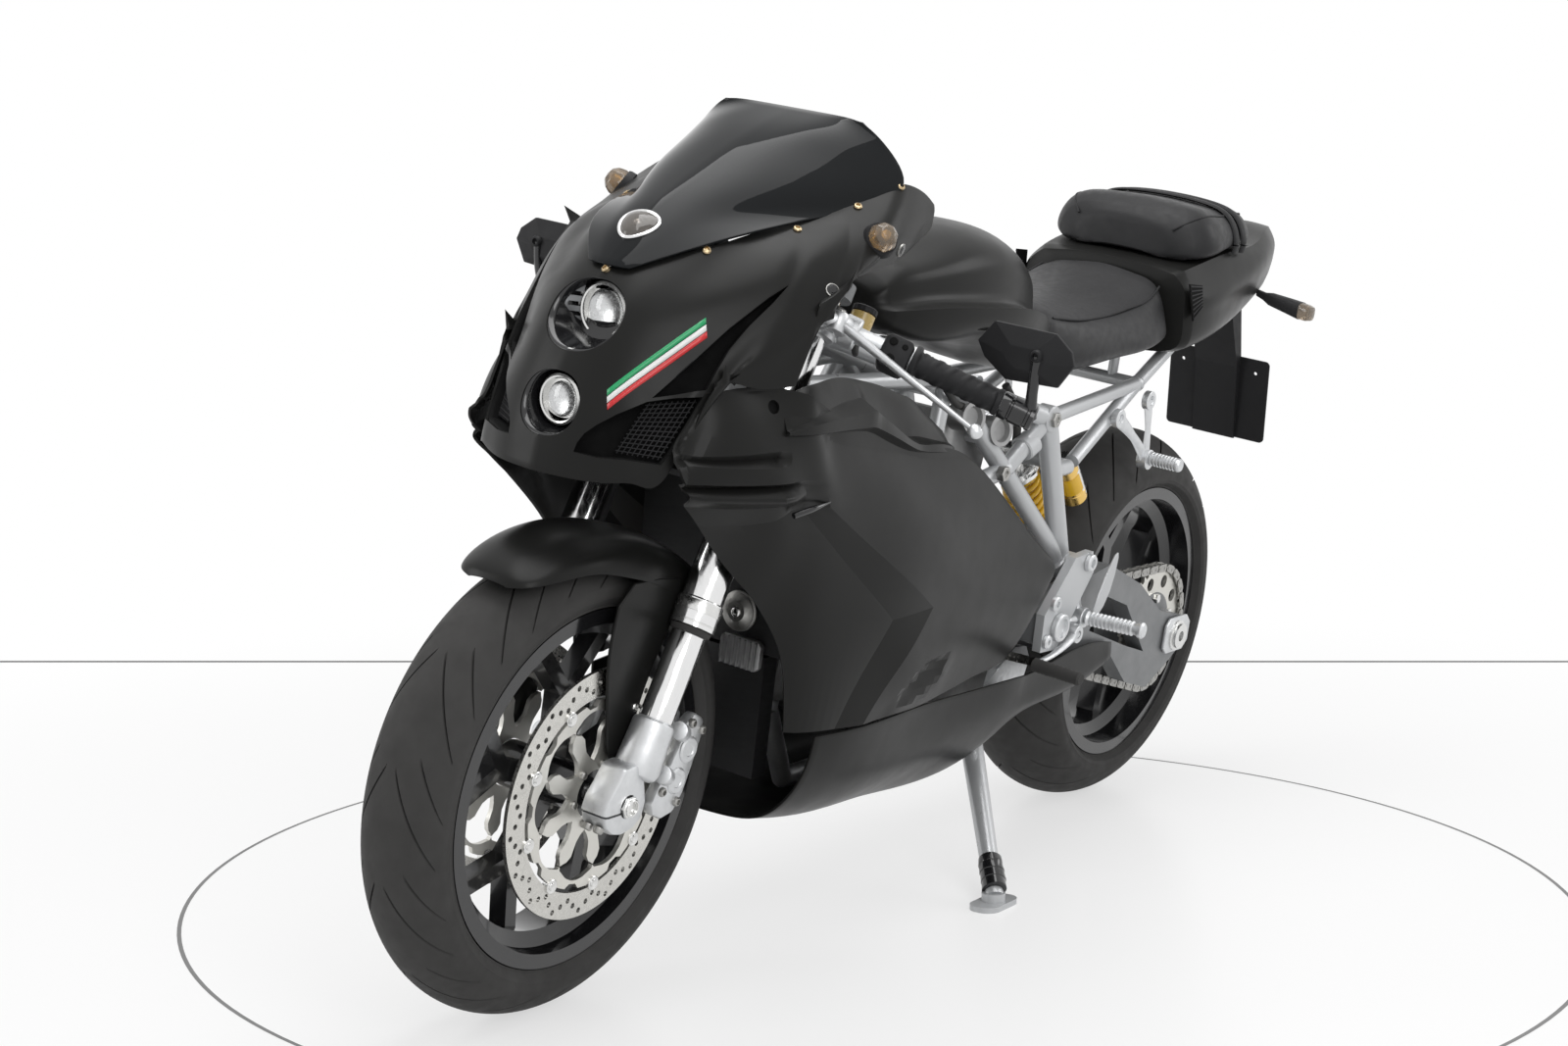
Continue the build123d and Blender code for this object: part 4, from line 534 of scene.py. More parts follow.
fairing_columns = [
    # left half, each column from the screen's edge down to the lower edge
    [(0, -716, 936), (0, -735, 912), (0, -753, 882), (0, -784, 818), (0, -803, 764), (0, -815, 700)],
    [(44, -684, 953), (46, -716, 924), (46, -746, 884), (46, -777, 818), (48, -796, 762), (50, -806, 700)],
    [(84, -639, 972), (90, -674, 936), (92, -712, 892), (90, -750, 820), (92, -776, 760), (94, -784, 702)],
    [(101, -580, 990), (124, -622, 956), (136, -660, 908), (130, -708, 826), (122, -752, 764), (120, -766, 704)],
    [(112, -530, 1003), (150, -585, 968), (164, -622, 918), (150, -690, 838), (140, -728, 772), (137, -743, 709)],
    [(120, -500, 1012), (160, -560, 973), (176, -604, 924), (166, -664, 850), (154, -700, 795), (149, -716, 766)],
    [(126, -480, 1018), (168, -540, 978), (185, -586, 930), (180, -640, 866), (168, -676, 836), (160, -690, 823)],
    [(133, -456, 1026), (178, -512, 984), (196, -560, 930), (195, -604, 876), (184, -632, 842), (178, -642, 823)],
    [(140, -436, 1034), (184, -488, 990), (204, -530, 944), (206, -562, 900), (204, -576, 862), (199, -584, 826)],
    [(148, -414, 1042), (188, -456, 1004), (208, -492, 968), (211, -520, 946), (207, -546, 930), (200, -562, 920)],
    [(156, -390, 1051), (190, -420, 1020), (206, -444, 990), (208, -464, 972), (204, -482, 960), (199, -496, 950)],
    [(164, -366, 1060), (186, -384, 1034), (200, -400, 1008), (203, -412, 988), (200, -424, 972),
     (197, -430, 962)],
    [(169, -340, 1060), (182, -346, 1038), (190, -352, 1016), (193, -358, 998), (192, -364, 984),
     (190, -368, 976)],
    [(170, -300, 1048), (176, -304, 1034), (180, -308, 1020), (181, -312, 1010), (181, -316, 1000),
     (180, -320, 992)],
    [(171, -280, 1036), (174, -282, 1028), (175, -284, 1020), (176, -286, 1014), (176, -288, 1008),
     (175, -292, 1002)],
]
half_fairing = np.swapaxes(patch(fairing_columns, per=8, sharp_rows=(8, 9)), 0, 1)[:, ::-1]
fairing_grid = both_halves(half_fairing)
fairing = shell("upper_fairing", fairing_grid, WALL, SATIN, "chassis",
                ["nose_fairing", "flank_left", "flank_right"])

fairing_tree = skin_tree(fairing_grid)


def on_nose(x, z, lift=0.0):
    """Point and normal of the fairing straight behind a point of its front view."""
    return land(fairing_tree, (x, -740, z), (0, -1, 0), lift)


def pocket(name, outline, direction, depth, material, body="chassis", shrink=1.0,
           floor=True, start=2.0):
    """Liner behind an opening: walls from just under the skin in to a floor, shrunk on the way."""
    inward = -Vector(direction).normalized()
    middle = sum((Vector(p) for p in outline), Vector()) / len(outline)
    rings = []
    for share in (0.0, 0.25, 0.6, 1.0):
        size = 1 + (shrink - 1) * share ** 1.3
        sink = inward * (start + depth * share)
        rings.append([middle + (Vector(p) - middle) * size + sink for p in outline])
    count = len(outline)
    points = [p for ring in rings for p in ring]
    faces = grid_faces(len(rings), count, closed=True)
    if floor:
        faces.append(tuple(range((len(rings) - 1) * count, len(rings) * count)))
    made = piece(name, points, faces, material, body, angle=40)
    thicken(made, LINER)
    return made


def superellipse(half_w, half_h, power, count=56):
    """Points round an ellipse that power squares up."""
    for i in range(count):
        turn = 2 * math.pi * i / count
        c, s = math.cos(turn), math.sin(turn)
        yield (half_w * math.copysign(abs(c) ** (2 / power), c), half_h * math.copysign(abs(s) ** (2 / power), s))


lamp_openings = {
    # middle height, half width, half height, power, height of the lens, its radius and front face
    "upper": (881, 53, 42, 2.1, 884, 31, -716),
    "lower": (779, 42, 38, 2.2, 781, 27, -778),
}
SLOT_OUT = Vector((0.66, -0.60, 0.42))
MESH_OUT = Vector((0.72, -0.66, 0.16))
slot_outline = [(108, -742, 803), (128, -702, 846), (146, -662, 888), (165, -614, 928), (173, -588, 943),
                (168, -610, 920), (160, -640, 893), (155, -666, 866), (153, -684, 840), (151, -696, 818)]
recess_outline = [(50, -802, 731), (51, -799, 742), (57, -795, 754), (68, -788, 766), (84, -773, 781),
                  (104, -746, 798), (128, -722, 806), (149, -699, 810), (146, -714, 778), (139, -735, 742),
                  (134, -744, 729), (106, -773, 731), (76, -791, 729)]
cuts = []
for middle, half_w, half_h, power, *_ in lamp_openings.values():
    rim = [(x, -740, middle + z) for x, z in superellipse(half_w, half_h, power)]
    cuts.append(prism(rim, (0, 1, 0), 120))
for sign in (1, -1):
    flip = Vector((sign, 1, 1))
    for outline, out, reach in ((slot_outline, SLOT_OUT, 42), (recess_outline, MESH_OUT, 46)):
        cuts.append(prism([Vector(p) * flip for p in outline], out * flip, reach))
carve(fairing, *cuts)

for level, (middle, half_w, half_h, power, lens_z, lens_r, lens_y) in lamp_openings.items():
    rim = [on_nose(x, middle + z)[0] for x, z in superellipse(half_w, half_h, power)]
    pocket(f"lamp_{level}_dish", rim, (0, -1, 0), 44, GLOSS, shrink=0.74)
    out = Vector((0, -1, 0))
    centre = Vector((0, lens_y + 26, lens_z))
    # the barrel round each lens is near-black painted shade
    lathe(f"lamp_{level}_barrel", centre, out,
          [(-20, lens_r + 7), (10, lens_r + 6), (22, lens_r + 3), (23, lens_r), (10, lens_r - 2), (2, 8), (1, 0)],
          HOLLOW, "chassis", 48)
    lathe(f"lamp_{level}_ring", centre, out,
          [(16, lens_r + 4), (24, lens_r + 3.5), (26, lens_r + 1), (25, lens_r - 1), (16, lens_r - 1)],
          BRIGHT, "chassis", 48)
    dome = [(lens_r * 0.62 * math.cos(t) + 8, lens_r * math.sin(t)) for t in np.linspace(math.pi / 2, 0.02, 12)]
    lathe(f"lamp_{level}_lens", centre, out, [(2, lens_r * 0.9), (8, lens_r - 0.4), *dome], GLASS, "chassis",
          48)
    lathe(f"lamp_{level}_shutter", centre, out, [(3, lens_r * 0.5), (5, lens_r * 0.5), (5.5, 1)], CHAIN,
          "chassis", 24)
for sign in (1, -1):
    points = []
    for up in np.linspace(-1, 1, 13):
        for out in np.linspace(0, 1, 5):
            x = 34 + 15 * out - 9 * up * up * out
            points.append((sign * x, -706 - 14 * out - 6 * (1 - up * up) + 10 * abs(up) * out,
                           884 + up * (30 - 8 * out)))
    cheek = piece(f"lamp_upper_cheek_{'lr'[sign < 0]}", points, grid_faces(13, 5), ARM, "chassis")
    thicken(cheek, 2)
    slots = [
        prism([(sign * 34, -710, z - 2.6), (sign * 46, -710, z - 2.6), (sign * 46, -710, z + 2.6),
               (sign * 34, -710, z + 2.6)], (0, 1, 0), 60)
        for z in (873, 885, 897)
    ]
    carve(cheek, *slots)

for side, sign, flip in SIDES:
    # the slot and the mouth are backed by closed pockets of near-black painted shade
    pocket(f"intake_slot_{side}", [Vector(p) * flip for p in slot_outline], SLOT_OUT * flip, 24, HOLLOW,
           shrink=0.96)
    rim = [Vector(p) * flip for p in recess_outline]
    pocket(f"intake_mouth_{side}", rim, MESH_OUT * flip, 26, HOLLOW, shrink=0.97)
    # woven mesh over the rear part of the mouth
    corners = [Vector((90, -774, 736)), Vector((134, -742, 734)), Vector((148, -702, 806)),
               Vector((106, -744, 796))]
    wires = []
    for first, second, third, fourth, count in (
        (corners[0], corners[3], corners[1], corners[2], 9), (corners[0], corners[1], corners[3], corners[2], 12)
    ):
        for i in range(count):
            share = (i + 0.5) / count
            ends = [first.lerp(third, share), second.lerp(fourth, share)]
            run = [(e - MESH_OUT.normalized() * 13) * flip for e in ends]
            wires.append(sweep("wire", run, 0.9, PLASTIC, "chassis", "black_plastic", sides=6, per=1, raw=True))
    merge(f"intake_mesh_{side}", wires)

edge_screws = [((0, -715, 936), (0, -0.7, 0.7)), ((84, -639, 972), (0.45, -0.6, 0.66)),
               ((124, -520, 1000), (0.72, -0.35, 0.6)), ((146, -429, 1031), (0.8, -0.3, 0.55)),
               ((166, -362, 1062), (0.85, -0.25, 0.5))]
heads = []
for at, out in edge_screws:
    for sign in ((1, -1) if at[0] else (1,)):
        flip = Vector((sign, 1, 1))
        spot, normal = land(fairing_tree, (Vector(at) - Vector((0, 0, 5))) * flip, Vector(out) * flip)
        heads.append(screw("screw", spot, normal, 5.5, "chassis", BRASS, 3.4))
merge("screen_screws", heads)
for side, sign, flip in SIDES:
    buttons = []
    for at in ((207, -540, 942), (198, -390, 985)):
        spot, normal = land(fairing_tree, Vector(at) * flip, Vector((0.8, -0.3, 0.3)) * flip)
        buttons.append(lathe("button", spot, normal, [(-2, 8), (1.2, 8), (2.6, 6.6), (2.8, 5), (3.6, 4.4),
                                                      (4.2, 0)], GLOSS, "chassis", 24))
        buttons.append(lathe("button_ring", spot, normal, [(0, 8.8), (1.6, 8.6), (1.8, 7.6), (0, 7.6)], CHAIN,
                             "chassis", 24))
    merge(f"flank_buttons_{side}", buttons)
    spot, normal = land(fairing_tree, Vector((202, -445, 1000)) * flip, Vector((0.8, -0.3, 0.5)) * flip)
    aim = (normal + Vector((0.25, -0.35, 0.1)) * flip).normalized()
    lathe(f"flank_lamp_base_{side}", spot, aim, [(-5, 23), (2, 22), (5, 20.5), (5, 17), (-4, 17)], PLASTIC,
          "chassis", 32)
    lathe(f"flank_lamp_{side}", spot, aim, [(3, 19), (9, 19), (18, 15.5), (24, 9), (25.5, 0)], AMBER, "chassis",
          8, angle=20, bevel=1.2)
    lathe(f"flank_bulb_{side}", spot, aim, [(2, 7), (10, 7), (15, 5), (17, 0)], GOLD, "chassis", 20)

for tone, shift in (("green", 0), ("white", 9), ("red", 18)):
    rows = []
    for step in np.linspace(0, 1, 14):
        line = []
        for wide in np.linspace(0, 8, 3):
            x = 66 + 58 * step + 0.30 * (shift + wide)
            z = 806 + 92 * step - 0.85 * (shift + wide)
            line.append(on_nose(x, z, 0.35)[0])
        rows.append(line)
    points = np.array([[tuple(p) for p in line] for line in rows])
    shell(f"nose_stripe_{tone}", points, 0.3, STRIPE[tone], "chassis", bevel=0)

panel_stations = [
    # y, then (x, z) from the top edge to the bottom edge
    (-728, [(146, 750), (156, 739), (162, 728), (163, 708), (154, 688)]),
    (-690, [(156, 810), (172, 784), (182, 756), (184, 714), (155, 652)]),
    (-605, [(184, 816), (198, 780), (208, 740), (206, 690), (147, 572)]),
    (-557, [(202, 818), (209, 770), (212, 720), (208, 650), (148, 512)]),
    (-505, [(200, 764), (211, 724), (216, 680), (204, 590), (154, 440)]),
    (-459, [(198, 744), (210, 696), (217, 640), (208, 540), (184, 362)]),
    (-303, [(186, 718), (206, 662), (220, 600), (226, 503), (203, 356)]),
    (-194, [(180, 698), (198, 640), (214, 580), (216, 440), (198, 360)]),
    (-100, [(172, 690), (189, 626), (204, 560), (208, 450), (186, 352)]),
    (120, [(178, 556), (183, 533), (187, 510), (188, 460), (182, 392)]),
    (196, [(180, 508), (182, 504), (183, 500), (183, 490), (180, 480)]),
]


def panel_x(y, z):
    """Half width of the side panels at a point of their side view."""
    dense = PANEL_FORM
    heights = dense[:, 0, 1]
    row = np.clip(np.interp(y, heights, np.arange(len(heights))), 0, len(heights) - 1.001)
    low = int(row)
    found = []
    for line in dense[low:low + 2]:
        order = np.argsort(line[:, 2])
        found.append(np.interp(z, line[order, 2], line[order, 0]))
    return found[0] + (found[1] - found[0]) * (row - low)


PANEL_FORM = patch(rows_of(panel_stations, "y"), per=10)
panel_lines = [
    # front to rear: {row: (y, z, how far it lies inside the panel's even surface)}, top edge first
    {0: (-699, 815, 0), 1: (-722, 776, 0), 2: (-740, 746, 0), 3: (-742, 738, 3), 4: (-743, 731, 0),
     5: (-738, 720, 0), 6: (-730, 711, 0), 7: (-727, 705, 8), 8: (-722, 695, -4), 9: (-712, 680, 8),
     10: (-676, 653, 13), 11: (-560, 556, 13), 12: (-492, 478, 13), 13: (-459, 362, 13)},
    {0: (-685, 817, 0), 1: (-704, 778, 0), 2: (-722, 744, 0), 3: (-722, 738, 7), 4: (-722, 733, 0),
     5: (-718, 721, 0), 6: (-712, 711, 0), 7: (-711, 705, 9), 8: (-706, 694, -9), 9: (-697, 679, 8),
     10: (-662, 650, 13), 11: (-545, 552, 13), 12: (-480, 474, 13), 13: (-448, 361, 13)},
    {0: (-640, 822, 0), 1: (-646, 784, 0), 2: (-652, 748, 0), 3: (-652, 739, 9), 4: (-652, 731, 0),
     5: (-650, 721, 0), 6: (-648, 710, 0), 7: (-648, 705, 9), 8: (-644, 692, -12), 9: (-636, 676, 8),
     10: (-610, 652, 13), 11: (-490, 542, 13), 12: (-440, 458, 13), 13: (-425, 360, 13)},
    {0: (-600, 822, 0), 1: (-602, 786, 0), 2: (-604, 750, 0), 3: (-604, 739, 10), 4: (-604, 730, 0),
     5: (-604, 721, 0), 6: (-604, 710, 0), 7: (-604, 705, 8), 8: (-600, 691, -12), 9: (-594, 677, 8),
     10: (-575, 658, 13), 11: (-440, 530, 13), 12: (-410, 450, 13), 13: (-405, 359, 13)},
    {0: (-583, 820, 0), 1: (-584, 786, 0), 2: (-586, 748, 0), 3: (-585, 740, 0), 4: (-586, 732, 0),
     5: (-584, 721, 0), 6: (-580, 710, 0), 7: (-578, 705, 6), 8: (-572, 692, -6), 9: (-566, 679, 8),
     10: (-556, 670, 13), 11: (-370, 514, 13), 12: (-378, 436, 13), 13: (-388, 358, 13)},
    {0: (-560, 815, 0), 1: (-562, 784, 0), 2: (-564, 750, 0), 3: (-564, 740, 0), 4: (-564, 730, 0),
     5: (-562, 720, 0), 6: (-558, 711, 0), 7: (-554, 706, 2), 8: (-550, 695, 0), 9: (-546, 684, 3),
     10: (-536, 672, 13), 11: (-299, 499, 13), 12: (-345, 420, 13), 13: (-372, 357, 13)},
    {0: (-500, 790, 0), 5: (-504, 715, 0), 9: (-502, 684, 0), 10: (-496, 672, 0), 11: (-211, 506, 0),
     12: (-275, 430, 0), 13: (-322, 357, 0)},
    {0: (-430, 772, 0), 5: (-430, 712, 0), 9: (-424, 684, 0), 10: (-410, 660, 0), 11: (-130, 510, 0),
     12: (-190, 436, 0), 13: (-240, 356, 0)},
    {0: (-300, 726, 0), 5: (-290, 690, 0), 9: (-270, 668, 0), 10: (-250, 650, 0), 11: (-30, 514, 0),
     12: (-80, 440, 0), 13: (-120, 353, 0)},
    {0: (-102, 694, 0), 5: (-80, 650, 0), 9: (-60, 630, 0), 10: (-50, 612, 0), 11: (60, 519, 0),
     12: (30, 450, 0), 13: (10, 368, 0)},
    {0: (60, 596, 0), 5: (70, 576, 0), 9: (80, 560, 0), 10: (90, 548, 0), 11: (120, 520, 0),
     12: (112, 452, 0), 13: (104, 388, 0)},
    {0: (196, 508, 0), 5: (196, 505, 0), 9: (196, 502, 0), 10: (196, 500, 0), 11: (196, 497, 0),
     12: (196, 488, 0), 13: (196, 480, 0)},
]
KNEE_ROW = 11
DIMPLE = (-188, 396)            # middle of the oval dimple, and its tilt and half sizes
DIMPLE_TILT = 0.33
DIMPLE_HALF = (62, 23)


def panel_grid():
    """Left side panel: crisp along its slots and the two arrow-shaped lines, smooth elsewhere."""
    columns = []
    for line in panel_lines:
        rows = sorted(line)
        columns.append([
            [np.interp(r, rows, [line[k][axis] for k in rows]) for axis in range(3)]
            for r in range(KNEE_ROW + 3)
        ])
    flat = patch(columns, per=8, sharp_rows=(1, 3, 4, 5, 6), sharp_columns=(2, 3, 4, 6, 7, 9, 10, 11))
    across, up = math.cos(DIMPLE_TILT), math.sin(DIMPLE_TILT)
    grid = np.empty_like(flat)
    for index in np.ndindex(flat.shape[:2]):
        y, z, sink = flat[index]
        dy, dz = y - DIMPLE[0], z - DIMPLE[1]
        u, v = (dy * across + dz * up) / DIMPLE_HALF[0], (dz * across - dy * up) / DIMPLE_HALF[1]
        well = max(0.0, 1 - u * u - v * v)
        sink += 16 * well ** 0.7 * max(0.0, 0.35 + v * 0.65)
        rim = max(0.0, 1 - abs(math.hypot(u, v) - 1.05) * 3.2)
        sink -= 4.0 * rim * max(0.0, -v * 0.8 + 0.3)
        grid[index] = (panel_x(y, z) - sink, y, z)
    return grid


side_grid = panel_grid()
side_skins = {}
for side, sign, _ in SIDES:
    skin = shell(f"side_skin_{side}", side_grid * (sign, 1, 1), WALL, SATIN, "chassis",
                 [f"side_panel_{side}"], outward=sign, bevel=0)
    hole = prism(disc_points((sign * 200, -613, 805), (sign * 0.88, -0.26, 0.39), 8.5, 32),
                 (sign * 0.88, -0.26, 0.39), 34)
    side_skins[side] = carve(skin, hole, angle=8)

belly_stations = [
    # y, then (x, z) from the left top edge down to the middle
    (-405, [(186, 350), (183, 322), (174, 290), (152, 250), (120, 220), (60, 204), (0, 200)]),
    (-340, [(196, 350), (190, 316), (180, 280), (154, 236), (116, 206), (58, 195), (0, 192)]),
    (-142, [(186, 346), (180, 304), (170, 262), (142, 218), (104, 188), (52, 181), (0, 180)]),
    (40, [(184, 342), (180, 309), (172, 276), (146, 223), (112, 184), (56, 174), (0, 172)]),
    (145, [(183, 340), (181, 313), (176, 286), (154, 243), (122, 214), (62, 192), (0, 184)]),
    (167, [(180, 338), (179, 314), (176, 288), (156, 254), (126, 230), (64, 206), (0, 196)]),
    (379, [(170, 352), (170, 322), (168, 293), (144, 276), (110, 262), (56, 237), (0, 226)]),
    (468, [(165, 340), (167, 326), (166, 312), (146, 300), (118, 290), (60, 262), (0, 250)]),
]
belly_grid = both_halves(patch(rows_of(belly_stations, "y"), per=6))
belly = shell("belly_skin", belly_grid, WALL, SATIN, "chassis", ["belly_pan"])
WHEEL_CLEAR_R = 335.0
carve(
    belly,
    prism(disc_points(REAR_AXLE, (1, 0, 0), WHEEL_CLEAR_R, 96), (1, 0, 0), 104),
    prism([(59, 129, 240), (137, 129, 240), (137, 255, 240), (59, 255, 240)], (0, 0, 1), 90),
    prism([(-126, 345, 240), (126, 345, 240), (126, 495, 240), (-126, 495, 240)], (0, 0, 1), 90),
)

screen_stations = [
    # z, then the left half from the side to the middle as (x, y)
    (938, [(30, -711), (22, -715), (15, -717), (8, -718.5), (0, -719)]),
    (976, [(88, -639), (70, -650), (46, -664), (24, -673), (0, -676)]),
    (1014, [(134, -478), (112, -516), (84, -560), (44, -606), (0, -622)]),
    (1062, [(168, -358), (148, -396), (120, -446), (64, -512), (0, -532)]),
    (1100, [(140, -360), (116, -393), (84, -428), (44, -448), (0, -454)]),
    (1129, [(106, -372), (80, -370), (54, -369), (27, -368), (0, -368)]),
]
screen_grid = both_halves(patch(rows_of(screen_stations, "z"), per=6))
shell("screen_bubble", screen_grid, 3.0, SCREEN, "chassis", ["windscreen"], bevel=0.6)


def ring_rows(stations, per, sharp=(), sharp_rows=()):
    """Closed rings from tables of (x, z) halves that run from one point of the middle plane to the other."""
    rows = []
    for y, half in stations:
        ring = list(half) + [(-x, z) for x, z in half[-2::-1]]
        rows.append([(x, y, z) for x, z in ring])
    corners = sorted({*sharp, *(2 * (len(stations[0][1]) - 1) - s for s in sharp)})
    return patch(rows, per=per, sharp_rows=sharp_rows, sharp_columns=corners)[:, :-1]


def soft_ends(rings, depth):
    """Rounds both ends of a closed body by turning the last rings inward."""
    def rounded(first, second):
        inward = second.mean(axis=0) - first.mean(axis=0)
        inward /= np.linalg.norm(inward)
        middle = first.mean(axis=0)
        steps = ((0.0, 0.55), (0.02, 0.74), (0.16, 0.88), (0.45, 0.96))
        return [middle + (first - middle) * size + inward * (depth * deep) for deep, size in steps]

    return np.array([*rounded(rings[0], rings[3]), *rings[3:-3], *reversed(rounded(rings[-1], rings[-4]))])


tank_stations = [
    # y, then (x, z) from the middle of the underside to the middle of the top; the shelf's edge is the fifth
    (-258, [(0, 862), (60, 862), (92, 864), (104, 874), (105, 884), (96, 892), (90, 904), (64, 916), (0, 924)]),
    (-222, [(0, 850), (80, 852), (112, 856), (124, 874), (125, 888), (110, 895), (104, 920), (78, 938), (0, 948)]),
    (-174, [(0, 838), (90, 842), (128, 848), (139, 872), (142, 892), (120, 898), (113, 930), (80, 950), (0, 962)]),
    (-67, [(0, 824), (96, 834), (138, 850), (156, 872), (160, 892), (132, 897), (124, 940), (88, 972), (0, 984)]),
    (44, [(0, 808), (98, 818), (140, 834), (157, 862), (161, 886), (130, 890), (121, 938), (86, 972), (0, 986)]),
    (120, [(0, 782), (92, 790), (128, 804), (142, 842), (146, 868), (117, 872), (106, 918), (72, 952), (0, 966)]),
    (186, [(0, 766), (76, 770), (108, 784), (116, 816), (119, 838), (98, 844), (84, 892), (56, 920), (0, 930)]),
]
closed_body("tank_shell", soft_ends(ring_rows(tank_stations, 7, sharp=(4,)), 14), SATIN, "chassis",
            ["fuel_tank"], angle=28)
# a thin near-black line of painted shade along the tank's lower fold, where the side turns down
fold = [(126, -150, 868), (148, -80, 862), (154, 0, 855), (146, 90, 838)]
for side, sign, _ in SIDES:
    sweep(f"tank_fold_shade_{side}", [(x * sign, y, z) for x, y, z in fold], 1.6, HOLLOW, "chassis", "satin_black",
          sides=8, per=10)
lathe("filler_cap", (0, -100, 983), (0, -0.06, 1), [(-4, 44), (1, 44), (3, 42), (3, 33), (4.5, 32), (5, 0)], GLOSS,
      "chassis", 64)
lathe("filler_lock", (0, -112, 988), (0, -0.06, 1), [(-2, 9), (1, 9), (2, 7), (2, 0)], BRIGHT, "chassis",
      32)
for i in range(8):
    turn = i * math.pi / 4 + 0.2
    screw(f"filler_screw_{i}", (38 * math.cos(turn), -100 + 38 * math.sin(turn), 986 - 2.2 * math.sin(turn)),
          (0, -0.06, 1), 3, "chassis", BRIGHT, 2)

seat_stations = [
    (182, [(0, 778), (60, 778), (100, 778), (112, 790), (110, 815), (96, 858), (60, 878), (0, 884)]),
    (260, [(0, 772), (64, 773), (114, 776), (132, 792), (130, 816), (112, 852), (64, 868), (0, 873)]),
    (392, [(0, 784), (66, 785), (120, 788), (140, 802), (138, 824), (112, 856), (62, 868), (0, 872)]),
    (500, [(0, 792), (64, 793), (116, 796), (140, 810), (138, 832), (112, 872), (62, 886), (0, 890)]),
    (558, [(0, 802), (60, 803), (106, 806), (130, 822), (128, 844), (104, 892), (58, 908), (0, 914)]),
]
rider = closed_body("rider_cushion", soft_ends(ring_rows(seat_stations, 8), 12), LEATHER, "chassis",
                    ["rider_seat"])

pad_stations = [
    (604, [(0, 932), (50, 930), (88, 928), (104, 938), (104, 952), (86, 976), (48, 988), (0, 991)]),
    (640, [(0, 935), (60, 934), (112, 934), (136, 946), (136, 964), (114, 998), (64, 1012), (0, 1015)]),
    (700, [(0, 941), (60, 941), (112, 942), (136, 954), (136, 970), (114, 1001), (64, 1013), (0, 1016)]),
    (760, [(0, 948), (60, 949), (108, 951), (130, 961), (129, 975), (108, 1002), (60, 1013), (0, 1016)]),
    (830, [(0, 953), (56, 954), (96, 957), (114, 966), (112, 978), (92, 1000), (50, 1009), (0, 1012)]),
    (858, [(0, 957), (44, 958), (78, 960), (94, 967), (93, 976), (76, 991), (42, 999), (0, 1001)]),
]
pillion = closed_body("pillion_cushion", soft_ends(ring_rows(pad_stations, 8), 14), LEATHER, "chassis",
                      ["pillion_seat"])

for side, sign, _ in SIDES:
    top = [(104, 216, 853), (114, 260, 850.5), (115, 326, 850), (114, 392, 854.5), (113, 450, 862),
           (112.5, 500, 870), (105, 550, 889)]
    sweep(f"seat_seam_{side}", [(x * sign, y, z + 2.5) for x, y, z in top], 1.7, PLASTIC, "chassis",
          "seat_leather", sides=8, per=8)
    top = [(84, 606, 975), (112, 640, 998), (113, 700, 1001), (107, 760, 1001.5), (92, 830, 999.5),
           (76, 856, 990.5)]
    sweep(f"pad_seam_{side}", [(x * sign, y, z + 1.2) for x, y, z in top], 1.7, PLASTIC, "chassis", "seat_leather",
          sides=8, per=8)
for index, y in enumerate((742, 770)):
    half = [(136, 946), (137.5, 960), (134, 975), (116, 1001), (66, 1016.5), (0, 1019.5)]
    run = [(x * 0.985, y, z) for x, z in half] + [(-x * 0.985, y, z) for x, z in half[-2::-1]]
    sweep(f"pad_strap_{index}", run, 9.5, PLASTIC, "chassis", "seat_leather", sides=14, per=12, flat=0.32,
          up=(0, 0, 1))

tail_stations = [
    # y, then (x, z) from the middle of the top, round the left side, to the middle below
    (566, [(0, 924), (70, 921), (122, 914), (146, 890), (151, 850), (148, 800), (104, 784), (0, 782)]),
    (600, [(0, 928), (72, 926), (126, 922), (154, 884), (156, 850), (150, 804), (104, 790), (0, 788)]),
    (745, [(0, 944), (76, 946), (126, 946), (149, 905), (148, 870), (138, 828), (100, 812), (0, 808)]),
    (872, [(0, 952), (70, 955), (112, 956), (132, 930), (126, 890), (112, 850), (88, 836), (0, 830)]),
    (965, [(0, 974), (50, 976), (86, 974), (104, 944), (101, 906), (92, 872), (70, 858), (0, 856)]),
    (1040, [(0, 968), (34, 968), (58, 965), (74, 940), (72, 908), (66, 880), (50, 870), (0, 868)]),
    (1086, [(0, 934), (22, 932), (40, 927), (53, 914), (54, 898), (49, 885), (36, 878), (0, 876)]),
]
closed_body("tail_shell", soft_ends(ring_rows(tail_stations, 6, sharp=(2,)), 8), SATIN, "chassis",
            ["tail_unit"])

for side, sign, _ in SIDES:
    corners = [(154.2, 548, 905), (157.0, 590, 902), (159.5, 600, 866), (159.5, 572, 846)]
    rim = [(x * sign, y, z) for x, y, z in corners]
    # a near-black plate of painted shade behind the vent's bars
    plate(f"tail_vent_{side}", rim, (sign, 0, 0.1), 2.2, HOLLOW, "chassis", bevel=0.5)
    bars = []
    for k in range(8):
        t = (k + 0.5) / 8
        low = Vector(rim[3]).lerp(Vector(rim[0]), t)
        high = Vector(rim[2]).lerp(Vector(rim[1]), t)
        bars.append(sweep("bar", [low + Vector((sign * 2.4, 2, 0)), high + Vector((sign * 2.4, -2, 0))], 1.3,
                          PLASTIC, "chassis", "black_plastic", sides=8, per=1, raw=True))
    merge(f"tail_mesh_{side}", bars)

